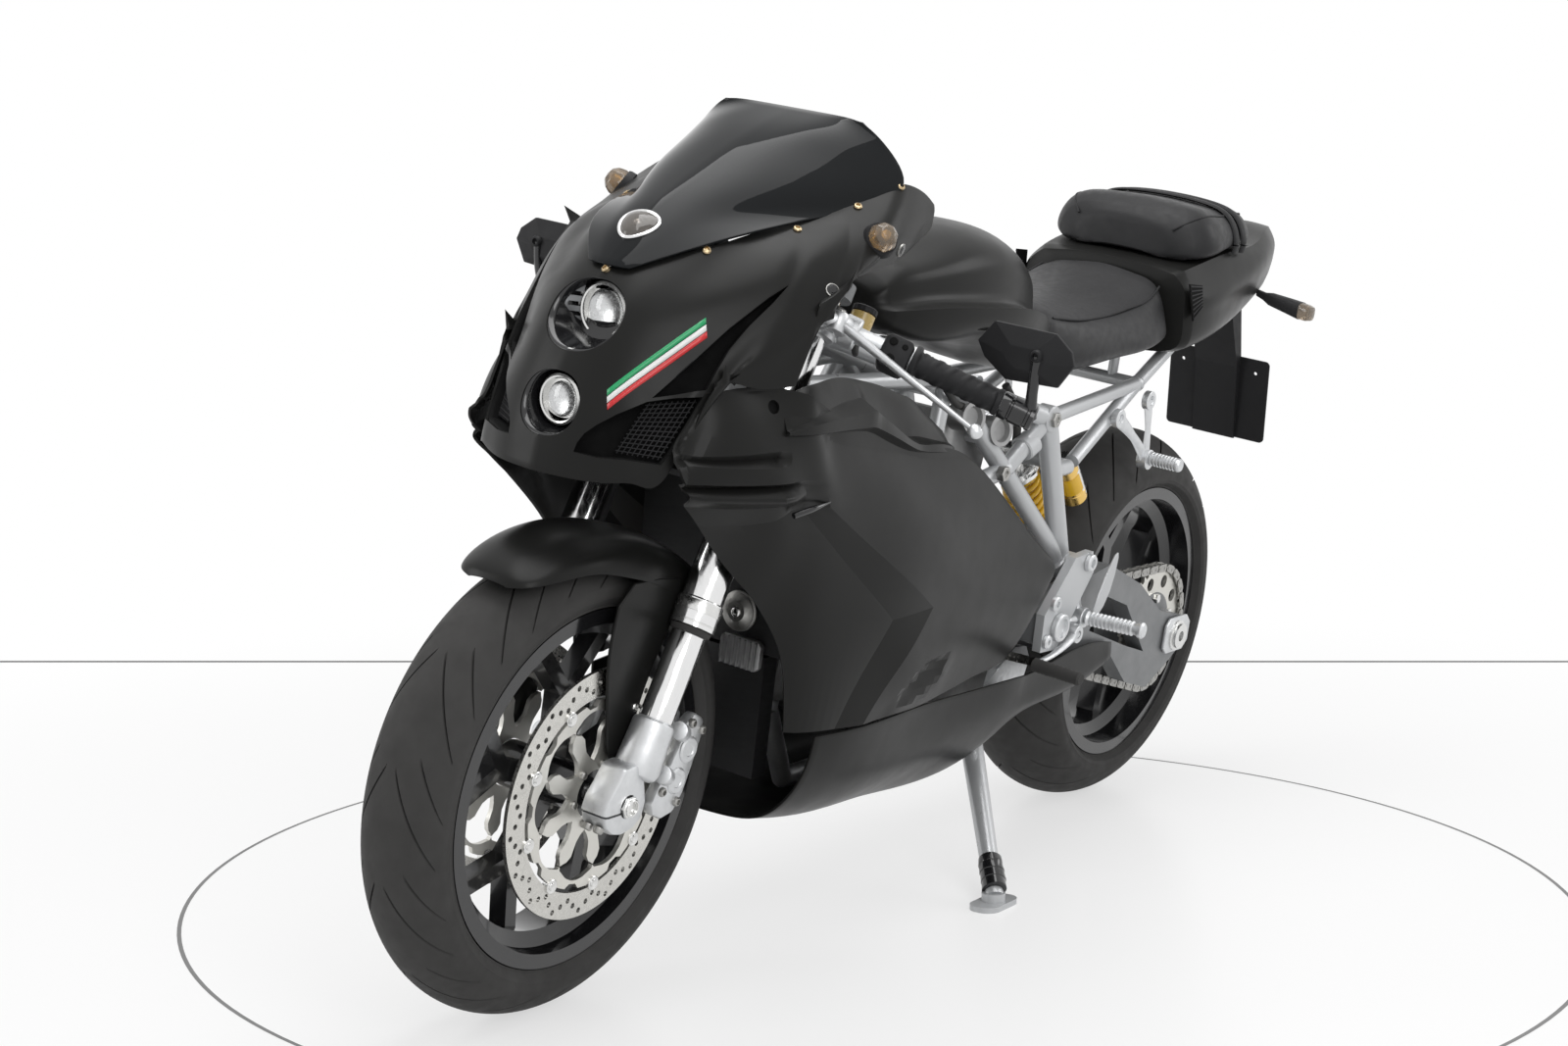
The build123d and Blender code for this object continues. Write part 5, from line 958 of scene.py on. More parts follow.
# ---------------------------------------------------------------------------------------------
# Ducts and mudguard
# ---------------------------------------------------------------------------------------------
duct_stations = [
    # y, then (x, z): top edge, fold, winglet's upper edge, its lower edge, and back to the panel
    (-597, [(188, 808), (204, 774), (209, 772), (209, 769), (203, 766)]),
    (-560, [(192, 820), (209, 782), (216, 778), (216, 768), (204, 762)]),
    (-516, [(184, 822), (202, 789), (215, 782), (215, 767), (198, 760)]),
    (-450, [(170, 822), (184, 793), (209, 782), (209, 765), (190, 756)]),
    (-400, [(164, 816), (178, 795), (206, 783), (206, 763), (186, 750)]),
    (-378, [(162, 812), (175, 784), (200, 775), (203, 757), (184, 744)]),
    (-320, [(158, 800), (170, 757), (194, 750), (198, 738), (182, 726)]),
    (-262, [(156, 784), (168, 732), (187, 727), (190, 719), (180, 712)]),
    (-240, [(154, 778), (167, 730), (184, 722), (186, 714), (178, 708)]),
    (-193, [(150, 756), (164, 722), (180, 718), (182, 708), (174, 702)]),
    (-129, [(146, 724), (158, 710), (168, 706), (170, 700), (166, 694)]),
]
duct_grid = patch(rows_of(duct_stations, "y"), per=4, sharp_columns=(1, 2, 3), sharp_rows=(4, 5))
for side, sign, _ in SIDES:
    shell(f"duct_trim_{side}", duct_grid * (sign, 1, 1), 3.0, SATIN, "chassis",
                 ["air_ducts"], outward=sign, angle=16)
    # the fin, and a near-black disc of painted shade behind the side panel's round hole
    fin = [sweep("fin", [(sign * x, y, z) for x, y, z in ((206, -560, 666), (214, -535, 673), (216, -497, 679))],
                 [4, 4, 0.8], GLOSS, "chassis", "black_plastic", sides=14, per=8),
           lathe("hole_shade_disc", Vector((sign * 186, -610, 800)), (sign * 0.88, -0.26, 0.39),
                 [(-3, 14), (-2.5, 14), (-2.5, 0)], HOLLOW, "chassis", 32)]
    merge(f"panel_fin_{side}", fin)

GUARD_RINGS = [
    # degrees ahead of the vertical, then (x, radius about the front axle) from the middle to the edge
    (30.5, [(0, 319), (12, 318.5), (23, 317), (30, 315)]),
    (29, [(0, 324), (24, 322.5), (40, 318), (47, 313)]),
    (25, [(0, 327), (30, 324.5), (54, 316), (62, 307)]),
    (18, [(0, 328), (36, 325), (62, 313), (71, 298)]),
    (9, [(0, 327), (40, 323), (67, 308), (76, 288)]),
    (0, [(0, 325), (42, 320), (70, 304), (79.5, 276)]),
    (-10, [(0, 323), (44, 318), (72, 302), (80.5, 268)]),
    (-20, [(0, 321), (44, 316), (72, 300), (80.5, 264)]),
    (-31, [(0, 319), (44, 314), (72, 298), (80.5, 262)]),
]


def about_axle(axle, degrees, x, radius):
    """Point at a radius about an axle, at degrees ahead of the vertical."""
    turn = math.radians(degrees)
    return (x, axle.y - radius * math.sin(turn), axle.z + radius * math.cos(turn))


guard_rows = [[about_axle(FRONT_AXLE, turn, x, r) for x, r in line[::-1]] for turn, line in GUARD_RINGS]
guard_grid = both_halves(patch(guard_rows, per=7))
shell("mudguard_skin", guard_grid, 3.0, SATIN, "steering", ["front_mudguard"], bevel=1.0)
lobe_points = [(-716, 540), (-722, 500), (-722, 460), (-714, 410), (-706, 366), (-697, 344), (-682, 335),
               (-667, 343), (-656, 380), (-640, 434), (-618, 480), (-600, 520), (-598, 560)]
lobe_outline = [tuple(p) for p in natural_spline(lobe_points, 5)] + [(-640, 566), (-690, 566)]
for side, sign, _ in SIDES:
    plate(f"mudguard_lobe_{side}", [(sign * 75.8, y, z) for y, z in lobe_outline], (sign, 0, 0), 4.4, SATIN,
                 "steering", bevel=1.6)
    screw(f"lobe_screw_{side}", (sign * 80.2, -660, 405), (sign, 0, 0), 5.5, "steering", BRIGHT, 3)

# ---------------------------------------------------------------------------------------------
# Wheels
# ---------------------------------------------------------------------------------------------
SIDEWALL_R = 257.0
LIP_R = 229.3


def tyre(name, axle, radius, half, lip_x, pitches, sweep_deg, body, node):
    """A tyre with curved grooves; the grid's lines follow the grooves from the crown outward."""
    rise = radius - SIDEWALL_R
    arc_r = (half * half + rise * rise) / (2 * rise)
    edge = math.asin(half / arc_r)
    shares = np.linspace(-1, 1, 49)
    tread = [(arc_r * math.sin(edge * v), radius - arc_r + arc_r * math.cos(edge * v), v) for v in shares]
    wall = [(half + 0.2, SIDEWALL_R - 5), (half - 0.6, SIDEWALL_R - 11), (half - 0.2, SIDEWALL_R - 12.5),
            (half - 3.2, SIDEWALL_R - 18), (lip_x + 6, LIP_R + 4.5), (lip_x + 6.2, LIP_R + 1.5), (lip_x, LIP_R)]
    inner = [(lip_x - 2, LIP_R - 3), (half - 10, SIDEWALL_R - 6), (half * 0.6, radius - 20), (0, radius - 9)]
    right = [(x, r, 1.0) for x, r in wall + inner[:-1]]
    loop = tread + right + [(0, radius - 9, 1.0)] + [(-x, r, -1.0) for x, r, _ in reversed(right)]
    long_cut, short_cut = (0.10, 0.88), (0.42, 0.93)
    half_cut = 3.2 / radius
    columns = []
    step = 2 * math.pi / pitches
    for i in range(pitches):
        for start, span in ((0.0, long_cut), (0.5 * step, short_cut)):
            cuts = [(start - half_cut, 0), (start - half_cut * 0.6, 1), (start + half_cut * 0.6, 1),
                    (start + half_cut, 0)]
            lands = [(start + half_cut + (0.5 * step - half_cut * 2) * k / 5, 0) for k in range(1, 5)]
            columns += [(i * step + turn, deep, span) for turn, deep in cuts + lands]
    points = []
    for turn, deep, (low, high) in columns:
        for x, r, v in loop:
            reach = min(abs(v), 1.0)
            taper = min(1.0, max(0.0, (reach - low) / 0.05)) * min(1.0, max(0.0, (high - reach) / 0.05))
            if r < SIDEWALL_R - 0.5:
                taper = 0.0
            angle = turn - math.radians(sweep_deg) * (0.25 + reach) ** 0.8
            deep_r = r - 5.0 * deep * taper
            points.append((x, axle.y - deep_r * math.cos(angle), axle.z + deep_r * math.sin(angle)))
    return piece(name, points, ring_faces(len(columns), len(loop)), RUBBER, body, angle=32,
                 stands_for=[node])


tyre("front_tyre_tread", FRONT_AXLE, 300.0, 60.0, 45.7, 13, 34, "front_wheel", "front_tyre")
tyre("rear_tyre_tread", REAR_AXLE, 315.0, 90.0, 70.7, 11, 38, "rear_wheel", "rear_tyre")

DISC_IN_R = 126.0


def brake_disc(name, axle, middle_x, thickness, radius, inner_r, hub_r, arms, out, body, node):
    """Drilled band, floating on bobbins round a carrier whose arms end in small forks."""
    axis = Vector((out, 0, 0))
    face = Vector((middle_x, axle.y, axle.z))
    half = thickness / 2
    band = lathe(name + "_band", face, axis,
                 [(-half, radius), (half, radius), (half, inner_r), (-half, inner_r)],
                 DISC, body, 144, stands_for=[node], ring=True)
    first, second = frame_of(axis)

    def around(r, turn):
        return face + first * (r * math.cos(turn)) + second * (r * math.sin(turn))

    drills = bmesh.new()
    holes = arms * 8
    spread = radius - inner_r
    for i in range(holes):
        turn = 2 * math.pi * i / holes
        r = inner_r + spread * (0.30, 0.52, 0.76, 0.52)[i % 4]
        ring = disc_points(around(r, turn), axis, 3.6, 14)
        low = [drills.verts.new(BIKE @ (p - axis * 9)) for p in ring]
        high = [drills.verts.new(BIKE @ (p + axis * 9)) for p in ring]
        drills.faces.new(low)
        drills.faces.new(list(reversed(high)))
        for k in range(14):
            drills.faces.new((low[k], high[k], high[(k + 1) % 14], low[(k + 1) % 14]))
    bmesh.ops.recalc_face_normals(drills, faces=drills.faces)
    mesh = bpy.data.meshes.new("drills")
    drills.to_mesh(mesh)
    drills.free()
    tool = bpy.data.objects.new("drills", mesh)
    bpy.context.scene.collection.objects.link(tool)
    carve(band, tool)

    thin = thickness * 0.5 + 0.6
    carrier = lathe(name + "_carrier", face, axis,
                    [(-thin, inner_r - 5), (thin, inner_r - 5), (thin, hub_r), (-thin, hub_r)],
                    CARRIER, body, 108, ring=True)
    cuts = []
    step = 2 * math.pi / arms
    reach = inner_r - 7
    for i in range(arms):
        turn = (i + 0.5) * step
        wide, narrow = 0.36 * step, 0.20 * step
        window = natural_spline([
            (hub_r + 14, turn - 0.02), (hub_r + 22, turn + narrow), (reach - 30, turn + wide),
            (reach - 12, turn + wide * 0.7), (reach - 9, turn), (reach - 12, turn - wide * 0.7),
            (reach - 30, turn - wide), (hub_r + 22, turn - narrow), (hub_r + 14, turn - 0.02),
        ], 4)[:-1]
        cuts.append(prism([around(r, a) for r, a in window], axis, 14))
        notch = [(reach + 6, i * step + 0.30 * step), (reach - 4.5, i * step + 0.42 * step),
                 (reach - 4.5, i * step + 0.58 * step), (reach + 6, i * step + 0.70 * step)]
        cuts.append(prism([around(r, a) for r, a in notch], axis, 14))
    carve(carrier, *cuts)
    bobbins = []
    for i in range(arms):
        spot = around(inner_r - 3.5, i * step)
        bobbins.append(lathe("bobbin", spot, axis, [(-half - 1.6, 9.5), (half + 2.2, 9.5), (half + 3, 8.4),
                                                    (half + 2.2, 5), (half + 3.4, 4.4), (half + 1.2, 0)], BRIGHT,
                             body, 20))
    for i in range(6):
        spot = around(hub_r + 7, i * math.pi / 3 + 0.2)
        bobbins.append(screw("bolt", spot + axis * thin, axis, 5.5, body, CHAIN, 4.5))
    merge(name + "_bobbins", bobbins)


for side, sign, _ in SIDES:
    brake_disc(f"front_disc_{side}", FRONT_AXLE, sign * 68.0, 5.0, 160.0, DISC_IN_R, 31.0, 9, sign, "front_wheel",
               "front_discs")
brake_disc("rear_disc", REAR_AXLE, -84.0, 6.0, 120.0, 88.0, 43.0, 6, -1, "rear_wheel", "rear_disc")

# ---------------------------------------------------------------------------------------------
# Fork legs and calipers
# ---------------------------------------------------------------------------------------------
for side, sign, _ in SIDES:
    foot = steer_point(sign * FORK_X, LEG_Y, 0)
    lathe(f"fork_leg_{side}", foot, UP_AXIS,
          [(36, 20), (40, 26), (48, 29), (70, 28.5), (90, 27.5), (104, 27.2), (108, 26), (110, 21.6), (286, 21.5),
           (290, 20)],
          CAST, "steering", 40, stands_for=["fork_bottoms"], bevel=0.6)
    lathe(f"fork_slider_{side}", foot, UP_AXIS, [(110.5, 21.2), (111, 21.9), (231, 21.9), (232, 21.2)], POLISHED,
          "steering", 48)
    lathe(f"fork_collar_{side}", foot, UP_AXIS,
          [(231, 24), (232, 28.6), (239, 29.2), (241, 27.4), (249, 27.4), (251, 29.4), (264, 29.4), (267, 27.6),
           (268, 27.1)],
          BRIGHT, "steering", 48)
    lathe(f"fork_seal_{side}", foot, UP_AXIS, [(224, 22.4), (225, 25.6), (230.8, 26.2), (231, 24)], RUBBER,
          "steering", 40)
    # axle clamp, with two pinch bolts through its ears
    block = [(-754, 297), (-748, 279), (-734, 268), (-716, 264), (-694, 268), (-678, 280), (-674, 300),
             (-682, 330), (-700, 352), (-722, 350), (-736, 328), (-748, 314)]
    clamp = plate(f"axle_clamp_{side}", [(sign * 86, y, z) for y, z in block], (sign, 0, 0), 40, CAST, "steering",
                  bevel=5.0)
    bake(clamp)
    bore = prism(disc_points((sign * 130, FRONT_AXLE.y, FRONT_AXLE.z), (1, 0, 0), 15, 36), (1, 0, 0), 12)
    slit = prism([(sign * 90, -760, 292), (sign * 90, -722, 292), (sign * 90, -722, 295), (sign * 90, -760, 295)],
                 (1, 0, 0), 60)
    carve(clamp, bore, slit)
    bits = []
    axle_end = Vector((sign * 126, FRONT_AXLE.y, FRONT_AXLE.z))
    bits.append(lathe("nut", axle_end, (sign, 0, 0), [(-6, 14.5), (4, 14.5), (5.5, 13), (5.5, 9), (-20, 8.6)],
                      BRIGHT, "steering", 6, angle=20, bevel=0.6))
    bits.append(lathe("sleeve", axle_end, (sign, 0, 0), [(-2, 11.5), (7, 11.5), (8, 10.4), (8, 8.8), (-20, 8.6)],
                      BRIGHT, "steering", 32))
    for x in (98, 114):
        bits.append(screw("pinch", (sign * x, -748, 276), (0, -0.5, -0.86), 6.5, "steering", CHAIN, 6))
    merge(f"axle_end_{side}", bits)
    # radial caliper behind the leg
    base = Vector((sign * 68, -592, 268))
    shape = [(-26, -6), (-24, 22), (-17, 44), (-14, 78), (-18, 104), (-6, 122), (16, 120), (26, 98), (30, 60),
             (32, 24), (26, -4), (6, -18), (-14, -18)]
    outline = [base - AHEAD * a + UP_AXIS * b for a, b in shape]
    halves = []
    for low, high, mat in ((sign * 9.5, sign * 27, CAST), (-sign * 9.5, -sign * 25, CAST)):
        body_outline = [p + Vector((low, 0, 0)) for p in outline]
        halves.append(bake(plate("half", body_outline, (1 if high > low else -1, 0, 0), abs(high - low), mat,
                                 "steering", bevel=4.5)))
    for a, b in ((-16, 14), (-8, 108), (18, 106), (22, 10)):
        at = base - AHEAD * a + UP_AXIS * b
        halves.append(screw("bolt", at + Vector((sign * 27, 0, 0)), (sign, 0, 0), 6.2, "steering", CHAIN, 5))
    for b in (34, 76):
        at = base - AHEAD * 6 + UP_AXIS * b + Vector((sign * 26.5, 0, 0))
        halves.append(lathe("piston", at, (sign, 0, 0), [(-2, 18), (1.5, 17.5), (3.5, 15), (3.6, 9), (2.4, 8),
                                                         (2.4, 0)], CAST, "steering", 32))
    for a, b, c in ((-30, 92, 12), (-28, 34, 12)):
        start = base - AHEAD * (a + 14) + UP_AXIS * b + Vector((sign * 24, 0, 0))
        halves.append(sweep("lug", [start, start + AHEAD * 26 + Vector((sign * 10, 0, 0))], c, CAST, "steering",
                            "cast_alloy", sides=16, per=1, raw=True, bevel=1.5))
    bridge = [base - AHEAD * 27 + UP_AXIS * 10, base - AHEAD * 31 + UP_AXIS * 60,
              base - AHEAD * 24 + UP_AXIS * 108]
    halves.append(sweep("bridge", bridge, 9, CAST, "steering", "cast_alloy", sides=12, per=5, flat=1.6))
    merge(f"caliper_{side}", halves)
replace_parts(bpy.data.objects["caliper_left"], "front_calipers")
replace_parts(bpy.data.objects["caliper_right"], "front_calipers")

# ---------------------------------------------------------------------------------------------
# Bars, controls and mirrors
# ---------------------------------------------------------------------------------------------
BAR_AT = 655.0
GRIP_LEN = 118.0


def rounded_box(name, at, x_dir, y_dir, size, material, body, bevel=3.0):
    """Block with rounded edges; size is along x_dir, y_dir and square to both."""
    x_dir, y_dir = Vector(x_dir).normalized(), Vector(y_dir).normalized()
    z_dir = x_dir.cross(y_dir).normalized()
    outline = [
        Vector(at) + x_dir * (sx * size[0] / 2) + y_dir * (sy * size[1] / 2) - z_dir * (size[2] / 2)
        for sx, sy in ((-1, -0.7), (-0.8, -1), (0.8, -1), (1, -0.7), (1, 0.7), (0.8, 1), (-0.8, 1), (-1, 0.7))
    ]
    return bake(plate(name, outline, z_dir, size[2], material, body, bevel=bevel))


for side, sign, flip in SIDES:
    root = steer_point(FORK_X + 26, LEG_Y - 32, BAR_AT - 12) * flip
    tip = Vector((352, -358, 822)) * flip
    along = (tip - root).normalized()
    grip_start = tip - along * GRIP_LEN
    clamp_foot = steer_point(sign * FORK_X, LEG_Y, BAR_AT)
    parts = [
        lathe("clamp", clamp_foot, UP_AXIS, [(-30, 31), (-28, 36), (-2, 36), (0, 34), (0, 27.4), (-30, 27.4)],
              CAST,
              "steering", 40, ring=True),
        sweep("bar", [root - along * 24, tip], 11, CAST, "steering", "cast_alloy", sides=24, per=1, raw=True),
        rounded_box("lug", root - UP_AXIS * 2, along, UP_AXIS, (30, 26, 34), CAST, "steering", 4),
    ]
    bars = merge(f"bar_{side}", parts)
    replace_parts(bars, "handlebars")
    profile = [(-3, 12), (-3, 20.5), (-1, 21.5), (3, 21.5), (5, 20), (6, 16.4)]
    profile += [(t, 15.4) for t in np.linspace(8, GRIP_LEN - 8, 60)]
    profile += [(GRIP_LEN - 6, 17.2), (GRIP_LEN - 1, 17.2), (GRIP_LEN, 16.4)]

    def ribs(turn, along_grip):
        if not 9 < along_grip < GRIP_LEN - 9:
            return 1.0
        wave = math.cos(2 * turn + along_grip * 0.30)
        return 1.0 + 0.075 * max(0.0, min(1.0, (wave - 0.35) * 3))

    lathe(f"grip_{side}", grip_start, along, profile, PLASTIC, "steering", 64, wobble=ribs)
    lathe(f"bar_end_{side}", tip, along, [(0.5, 12), (0.5, 16.6), (2, 17.4), (12, 17.4), (13, 15.6), (15, 15.6),
                                          (16, 17.4), (34, 17.4), (35, 15.4), (38, 15.4), (39, 17.2), (44, 16.8),
                                          (46, 14), (46, 6), (40, 5.6)], GLOSS, "steering", 40)
    # switch block with its buttons; their small signs are left off
    block_at = grip_start - along * 24
    up = (UP_AXIS - along * UP_AXIS.dot(along)).normalized()
    back = along.cross(up).normalized() * sign
    bits = [
        rounded_box("block", block_at - up * 3 - back * 2, along, up, (38, 44, 42), PLASTIC, "steering",
                    5),
        rounded_box("wing", block_at - back * 8 + up * 2 + along * 3, along, up, (26, 32, 38), PLASTIC, "steering",
                    4),
    ]
    for a, b, r in ((-8, 9, 5.5), (8, 8, 4), (-4, -13, 6.5)):
        at = block_at + along * a + up * b
        for side_out in (1, -1):
            bits.append(lathe("button", at + back * (18 * side_out - 2), back * side_out,
                              [(-4, r), (3, r), (5, r * 0.8), (5.2, 0)], HOLLOW, "steering", 20))
    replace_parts(merge(f"switches_{side}", bits), "controls")
    perch = root + along * 46
    pivot = perch + AHEAD * 34
    lever_tip = Vector((346, -412, 794)) * flip
    reach = lever_tip - pivot
    path = [pivot, pivot + reach * 0.10 - AHEAD * 2, pivot + reach * 0.34 - AHEAD * 13,
            pivot + reach * 0.62 - AHEAD * 13, pivot + reach * 0.86 - AHEAD * 4, lever_tip]
    bits = [
        sweep("lever", path, [8.5, 9.5, 8.5, 7.2, 6, 5.4], CAST, "steering", "cast_alloy", sides=16, per=8,
              flat=0.62,
              up=UP_AXIS),
        lathe("ball", lever_tip - reach.normalized() * 3, reach,
              [(10 - 10 * math.cos(t), 9.5 * math.sin(t)) for t in np.linspace(0.1, math.pi - 0.1, 12)], CAST,
              "steering", 24),
        lathe("pivot", pivot - UP_AXIS * 12, UP_AXIS, [(0, 10), (3, 12), (21, 12), (24, 10)], CAST, "steering",
              28),
        screw("pivot_bolt", pivot + UP_AXIS * 12, UP_AXIS, 6, "steering", CHAIN, 4),
        sweep("master", [perch + AHEAD * 4 - along * 6, pivot - AHEAD * 4, pivot - along * 28 + AHEAD * 4],
              [15, 13, 10],
              CAST, "steering", "cast_alloy", sides=20, per=6),
        lathe("perch_clamp", perch - along * 11, along, [(0, 19), (2, 20.5), (20, 20.5), (22, 19), (22, 11.4),
                                                         (0, 11.4)],
              CAST, "steering", 32, ring=True),
    ]
    pot = Vector((122, -336, 878)) * flip
    arm_end = pot - UP_AXIS * 12
    bits.append(sweep("pot_arm", [perch - AHEAD * 10, (perch + arm_end) / 2 - UP_AXIS * 6, arm_end], [7, 6, 7],
                      CAST, "steering", "cast_alloy", sides=14, per=6, flat=0.55))
    bits.append(lathe("pot_foot", pot - UP_AXIS * 18, UP_AXIS, [(0, 9), (3, 15), (5, 15)], CAST, "steering",
                      28))
    merge(f"lever_{side}", bits)
    lathe(f"pot_{side}", pot - UP_AXIS * 14, UP_AXIS, [(0, 14), (1.5, 15.4), (24, 15.8), (25, 14)], FLUID,
          "steering", 40)
    cap = [(0, 15), (0.5, 16.6), (7, 16.6), (8.5, 15), (8.8, 6), (10, 5), (10, 0)]
    lathe(f"pot_cap_{side}", pot + UP_AXIS * 11, UP_AXIS, cap, PLASTIC, "steering", 36,
          wobble=lambda turn, t: 1 + 0.02 * math.cos(18 * turn) * (t < 7.5))
    hose = [pot - UP_AXIS * 15, pot - UP_AXIS * 34 + along * 6, pivot - along * 20 + UP_AXIS * 8,
            pivot - along * 26]
    sweep(f"pot_hose_{side}", hose, 4.2, RUBBER, "steering", "black_plastic", sides=12, per=8)
    # mirror: faceted back, thin rim and the glass towards the rider
    outline = [(-66, 6), (-46, 34), (40, 34), (64, 16), (70, 0), (52, -30), (-20, -34), (-54, -12)]
    at = Vector((372, -350, 886))
    rings = []
    for y, size, shift in ((0, 0.97, 0), (-1, 1.0, 0), (-6, 1.0, 0), (-15.5, 0.45, 8), (-16, 0.40, 8)):
        rings.append([(at + Vector((x * size + shift * (1 - size), y, z * size - shift * 0.4))) * flip
                      for x, z in outline])
    shell_points = np.array([[tuple(p) for p in ring] for ring in rings])
    closed_body(f"mirror_back_{side}", shell_points, PLASTIC, "steering", ["mirrors"], angle=12,
                bevel=1.2)
    glass = [(at + Vector((x * 0.91, 0.2, z * 0.89))) * flip for x, z in outline]
    plate(f"mirror_glass_{side}", glass, (0, 1, 0), 0.6, MIRROR, "steering", bevel=0)
    stem_foot = tip + along * 40
    stem_knee = stem_foot.lerp((at + Vector((26, -12, -10))) * flip, 0.5) + Vector((0, -5, 0))
    stem = [stem_foot, stem_knee, (at + Vector((24, -14, 4))) * flip]
    sweep(f"mirror_stem_{side}", stem, [8.5, 7, 7.5], GLOSS, "steering", "black_alloy", sides=20, per=8, flat=0.8)
    screw(f"mirror_bolt_{side}", (at + Vector((24, -16, 4))) * flip, (0, -1, 0), 8, "steering", PLASTIC, 6)

# ---------------------------------------------------------------------------------------------
# Footrests, swingarm, chain, sprocket and shock
# ---------------------------------------------------------------------------------------------
for side, sign, flip in SIDES:
    joint = Vector((162, 348, 398))
    parts = []

    def rod(points, radius, material=CAST, **more):
        return sweep("rod", [Vector(p) * flip for p in points], radius, material, "chassis", "cast_alloy", **more)

    def boss(at, radius, length, material=CAST):
        return lathe("boss", Vector(at) * flip, (sign, 0, 0), [(0, radius), (1, radius + 0.8),
                                                               (length - 1, radius + 0.8), (length, radius),
                                                               (length, radius * 0.5),
                                                               (length - 4, radius * 0.45)], material, "chassis",
                     28)

    parts.append(rod([(150, 340, 462), (152, 343, 438), (156, 347, 412), joint], [10, 8, 8.5, 12], per=6, sides=14,
                     flat=0.7))
    parts.append(rod([(150, 310, 392), (153, 324, 393), joint], [10, 8.5, 12], per=6, sides=14, flat=0.7))
    parts.append(rod([(158, 348, 398), (164, 338, 382), (166, 322, 378)], [11, 8, 10], per=6, sides=14, flat=0.8))
    for at, radius, length in (((138, 340, 464), 12, 20), ((138, 309, 392), 12, 20), ((146, 348, 398), 15, 26),
                               ((146, 320, 378), 14, 26)):
        parts.append(boss(at, radius, length))
    for at in ((158, 340, 464), (158, 309, 392)):
        parts.append(screw("bolt", Vector(at) * flip, (sign, 0, 0), 7, "chassis", CHAIN, 4))
    start, end = Vector((172, 348.5, 398.5)) * flip, Vector((264, 355.5, 401.5)) * flip
    run = (end - start).length
    profile = [(0, 8), (4, 12)]
    for t in np.arange(8, run - 12, 6.6):
        profile += [(t, 9.4), (t + 1.6, 11.6), (t + 3.6, 11.6), (t + 5.2, 9.4)]
    profile += [(run - 8, 9.5), (run - 4, 12.4), (run + 1, 12.8), (run + 4, 10), (run + 5, 4)]
    parts.append(lathe("peg", start, end - start, profile, CAST, "chassis", 28))
    hanger = merge(f"hanger_{side}", parts)
    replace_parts(hanger, f"footrest_{side}")
    blade = [(352, 410), (362, 436), (378, 466), (398, 494), (406, 497), (409, 488), (406, 462), (398, 436),
             (384, 414), (370, 402)]
    plate(f"heel_guard_{side}", [(sign * 178, y, z) for y, z in blade], (sign, 0, 0), 3.2, SILVER, "chassis",
          bevel=1.2)
    lever = [(172, 318, 378), (178, 292, 372), (176, 250, 356), (178, 200, 352), (190, 172, 356)]
    if side == "right":
        lever = [(172, 318, 378), (178, 296, 366), (180, 260, 352), (184, 214, 350), (196, 180, 354)]
    parts = [rod(lever, [9, 7, 5.5, 5, 6], per=6, sides=14, flat=0.7), boss((168, 318, 378), 13, 12)]
    merge(f"foot_lever_{side}", parts)
    lathe(f"toe_peg_{side}", Vector((186, 172, 356)) * flip, Vector((1, -0.06, 0)) * flip,
          [(0, 8), (2, 10.5), *[(t + d, 10.6 - 0.9 * (d > 2)) for t in range(6, 74, 7) for d in (0, 3)],
           (80, 10.5), (83, 8)], RUBBER, "chassis", 28)

for side, sign, _ in SIDES:
    plate_points = [(672, 296), (684, 286), (742, 286), (758, 300), (758, 332), (742, 346), (684, 346), (672, 334)]
    block = bake(plate("adjuster", [(sign * 158, y, z) for y, z in plate_points], (sign, 0, 0), 6, CAST, "chassis",
                       bevel=2.0))
    hub = Vector((sign * 163, REAR_AXLE.y, REAR_AXLE.z))
    ring = lathe("ring", hub, (sign, 0, 0), [(0, 26), (4, 25.6), (5, 24), (5, 17), (-6, 16.6), (-6, 26)], BRIGHT,
                 "chassis", 48, ring=True)
    nut = lathe("nut", hub, (sign, 0, 0), [(-5, 20), (6, 20), (8, 18.4), (8, 13), (-8, 12.6)], CAST, "chassis",
                6, angle=20, bevel=0.8)
    bolt = sweep("adjuster_bolt", [(sign * 142, 752, 316), (sign * 142, 786, 316)], 4, BRIGHT, "chassis",
                 "bright_steel", per=1, raw=True)
    merge(f"axle_plate_{side}", [block, ring, nut, bolt])

SPROCKET_X = 112.0
SPROCKET_T = 6.0
SPROCKET_R = 103.0              # pitch radius of the rear sprocket, and of the one on the gearbox
DRIVE_R = 36.0
TEETH = 41
CHAIN_PITCH = 15.875
LINK_R = 6.6                    # round end of a link's plate
HUB_FACE_X = 42.6               # outer face of the rear hub, which the carrier stands on
DRIVE_AT = Vector((SPROCKET_X, 178, 392))
SPROCKET_AT = Vector((SPROCKET_X, REAR_AXLE.y, REAR_AXLE.z))
teeth = []
for i in range(TEETH):
    for share, r in ((0.0, 97.5), (0.24, 98.2), (0.40, 105.0), (0.5, 106.4), (0.60, 105.0), (0.76, 98.2)):
        turn = 2 * math.pi * (i + share) / TEETH
        teeth.append((SPROCKET_X - SPROCKET_T / 2, REAR_AXLE.y + r * math.cos(turn),
                      REAR_AXLE.z + r * math.sin(turn)))
holes = [((SPROCKET_X, REAR_AXLE.y + 80 * math.cos(t), REAR_AXLE.z + 80 * math.sin(t)), 11)
         for t in np.arange(10) * math.pi / 5]
holes += [((SPROCKET_X, REAR_AXLE.y + 52 * math.cos(t), REAR_AXLE.z + 52 * math.sin(t)), 5)
          for t in np.arange(10) * math.pi / 5 + 0.3]
plate("sprocket_plate", teeth, (1, 0, 0), SPROCKET_T, CARRIER, "rear_wheel", bevel=0.5,
      holes=holes, stands_for=["rear_sprocket"])
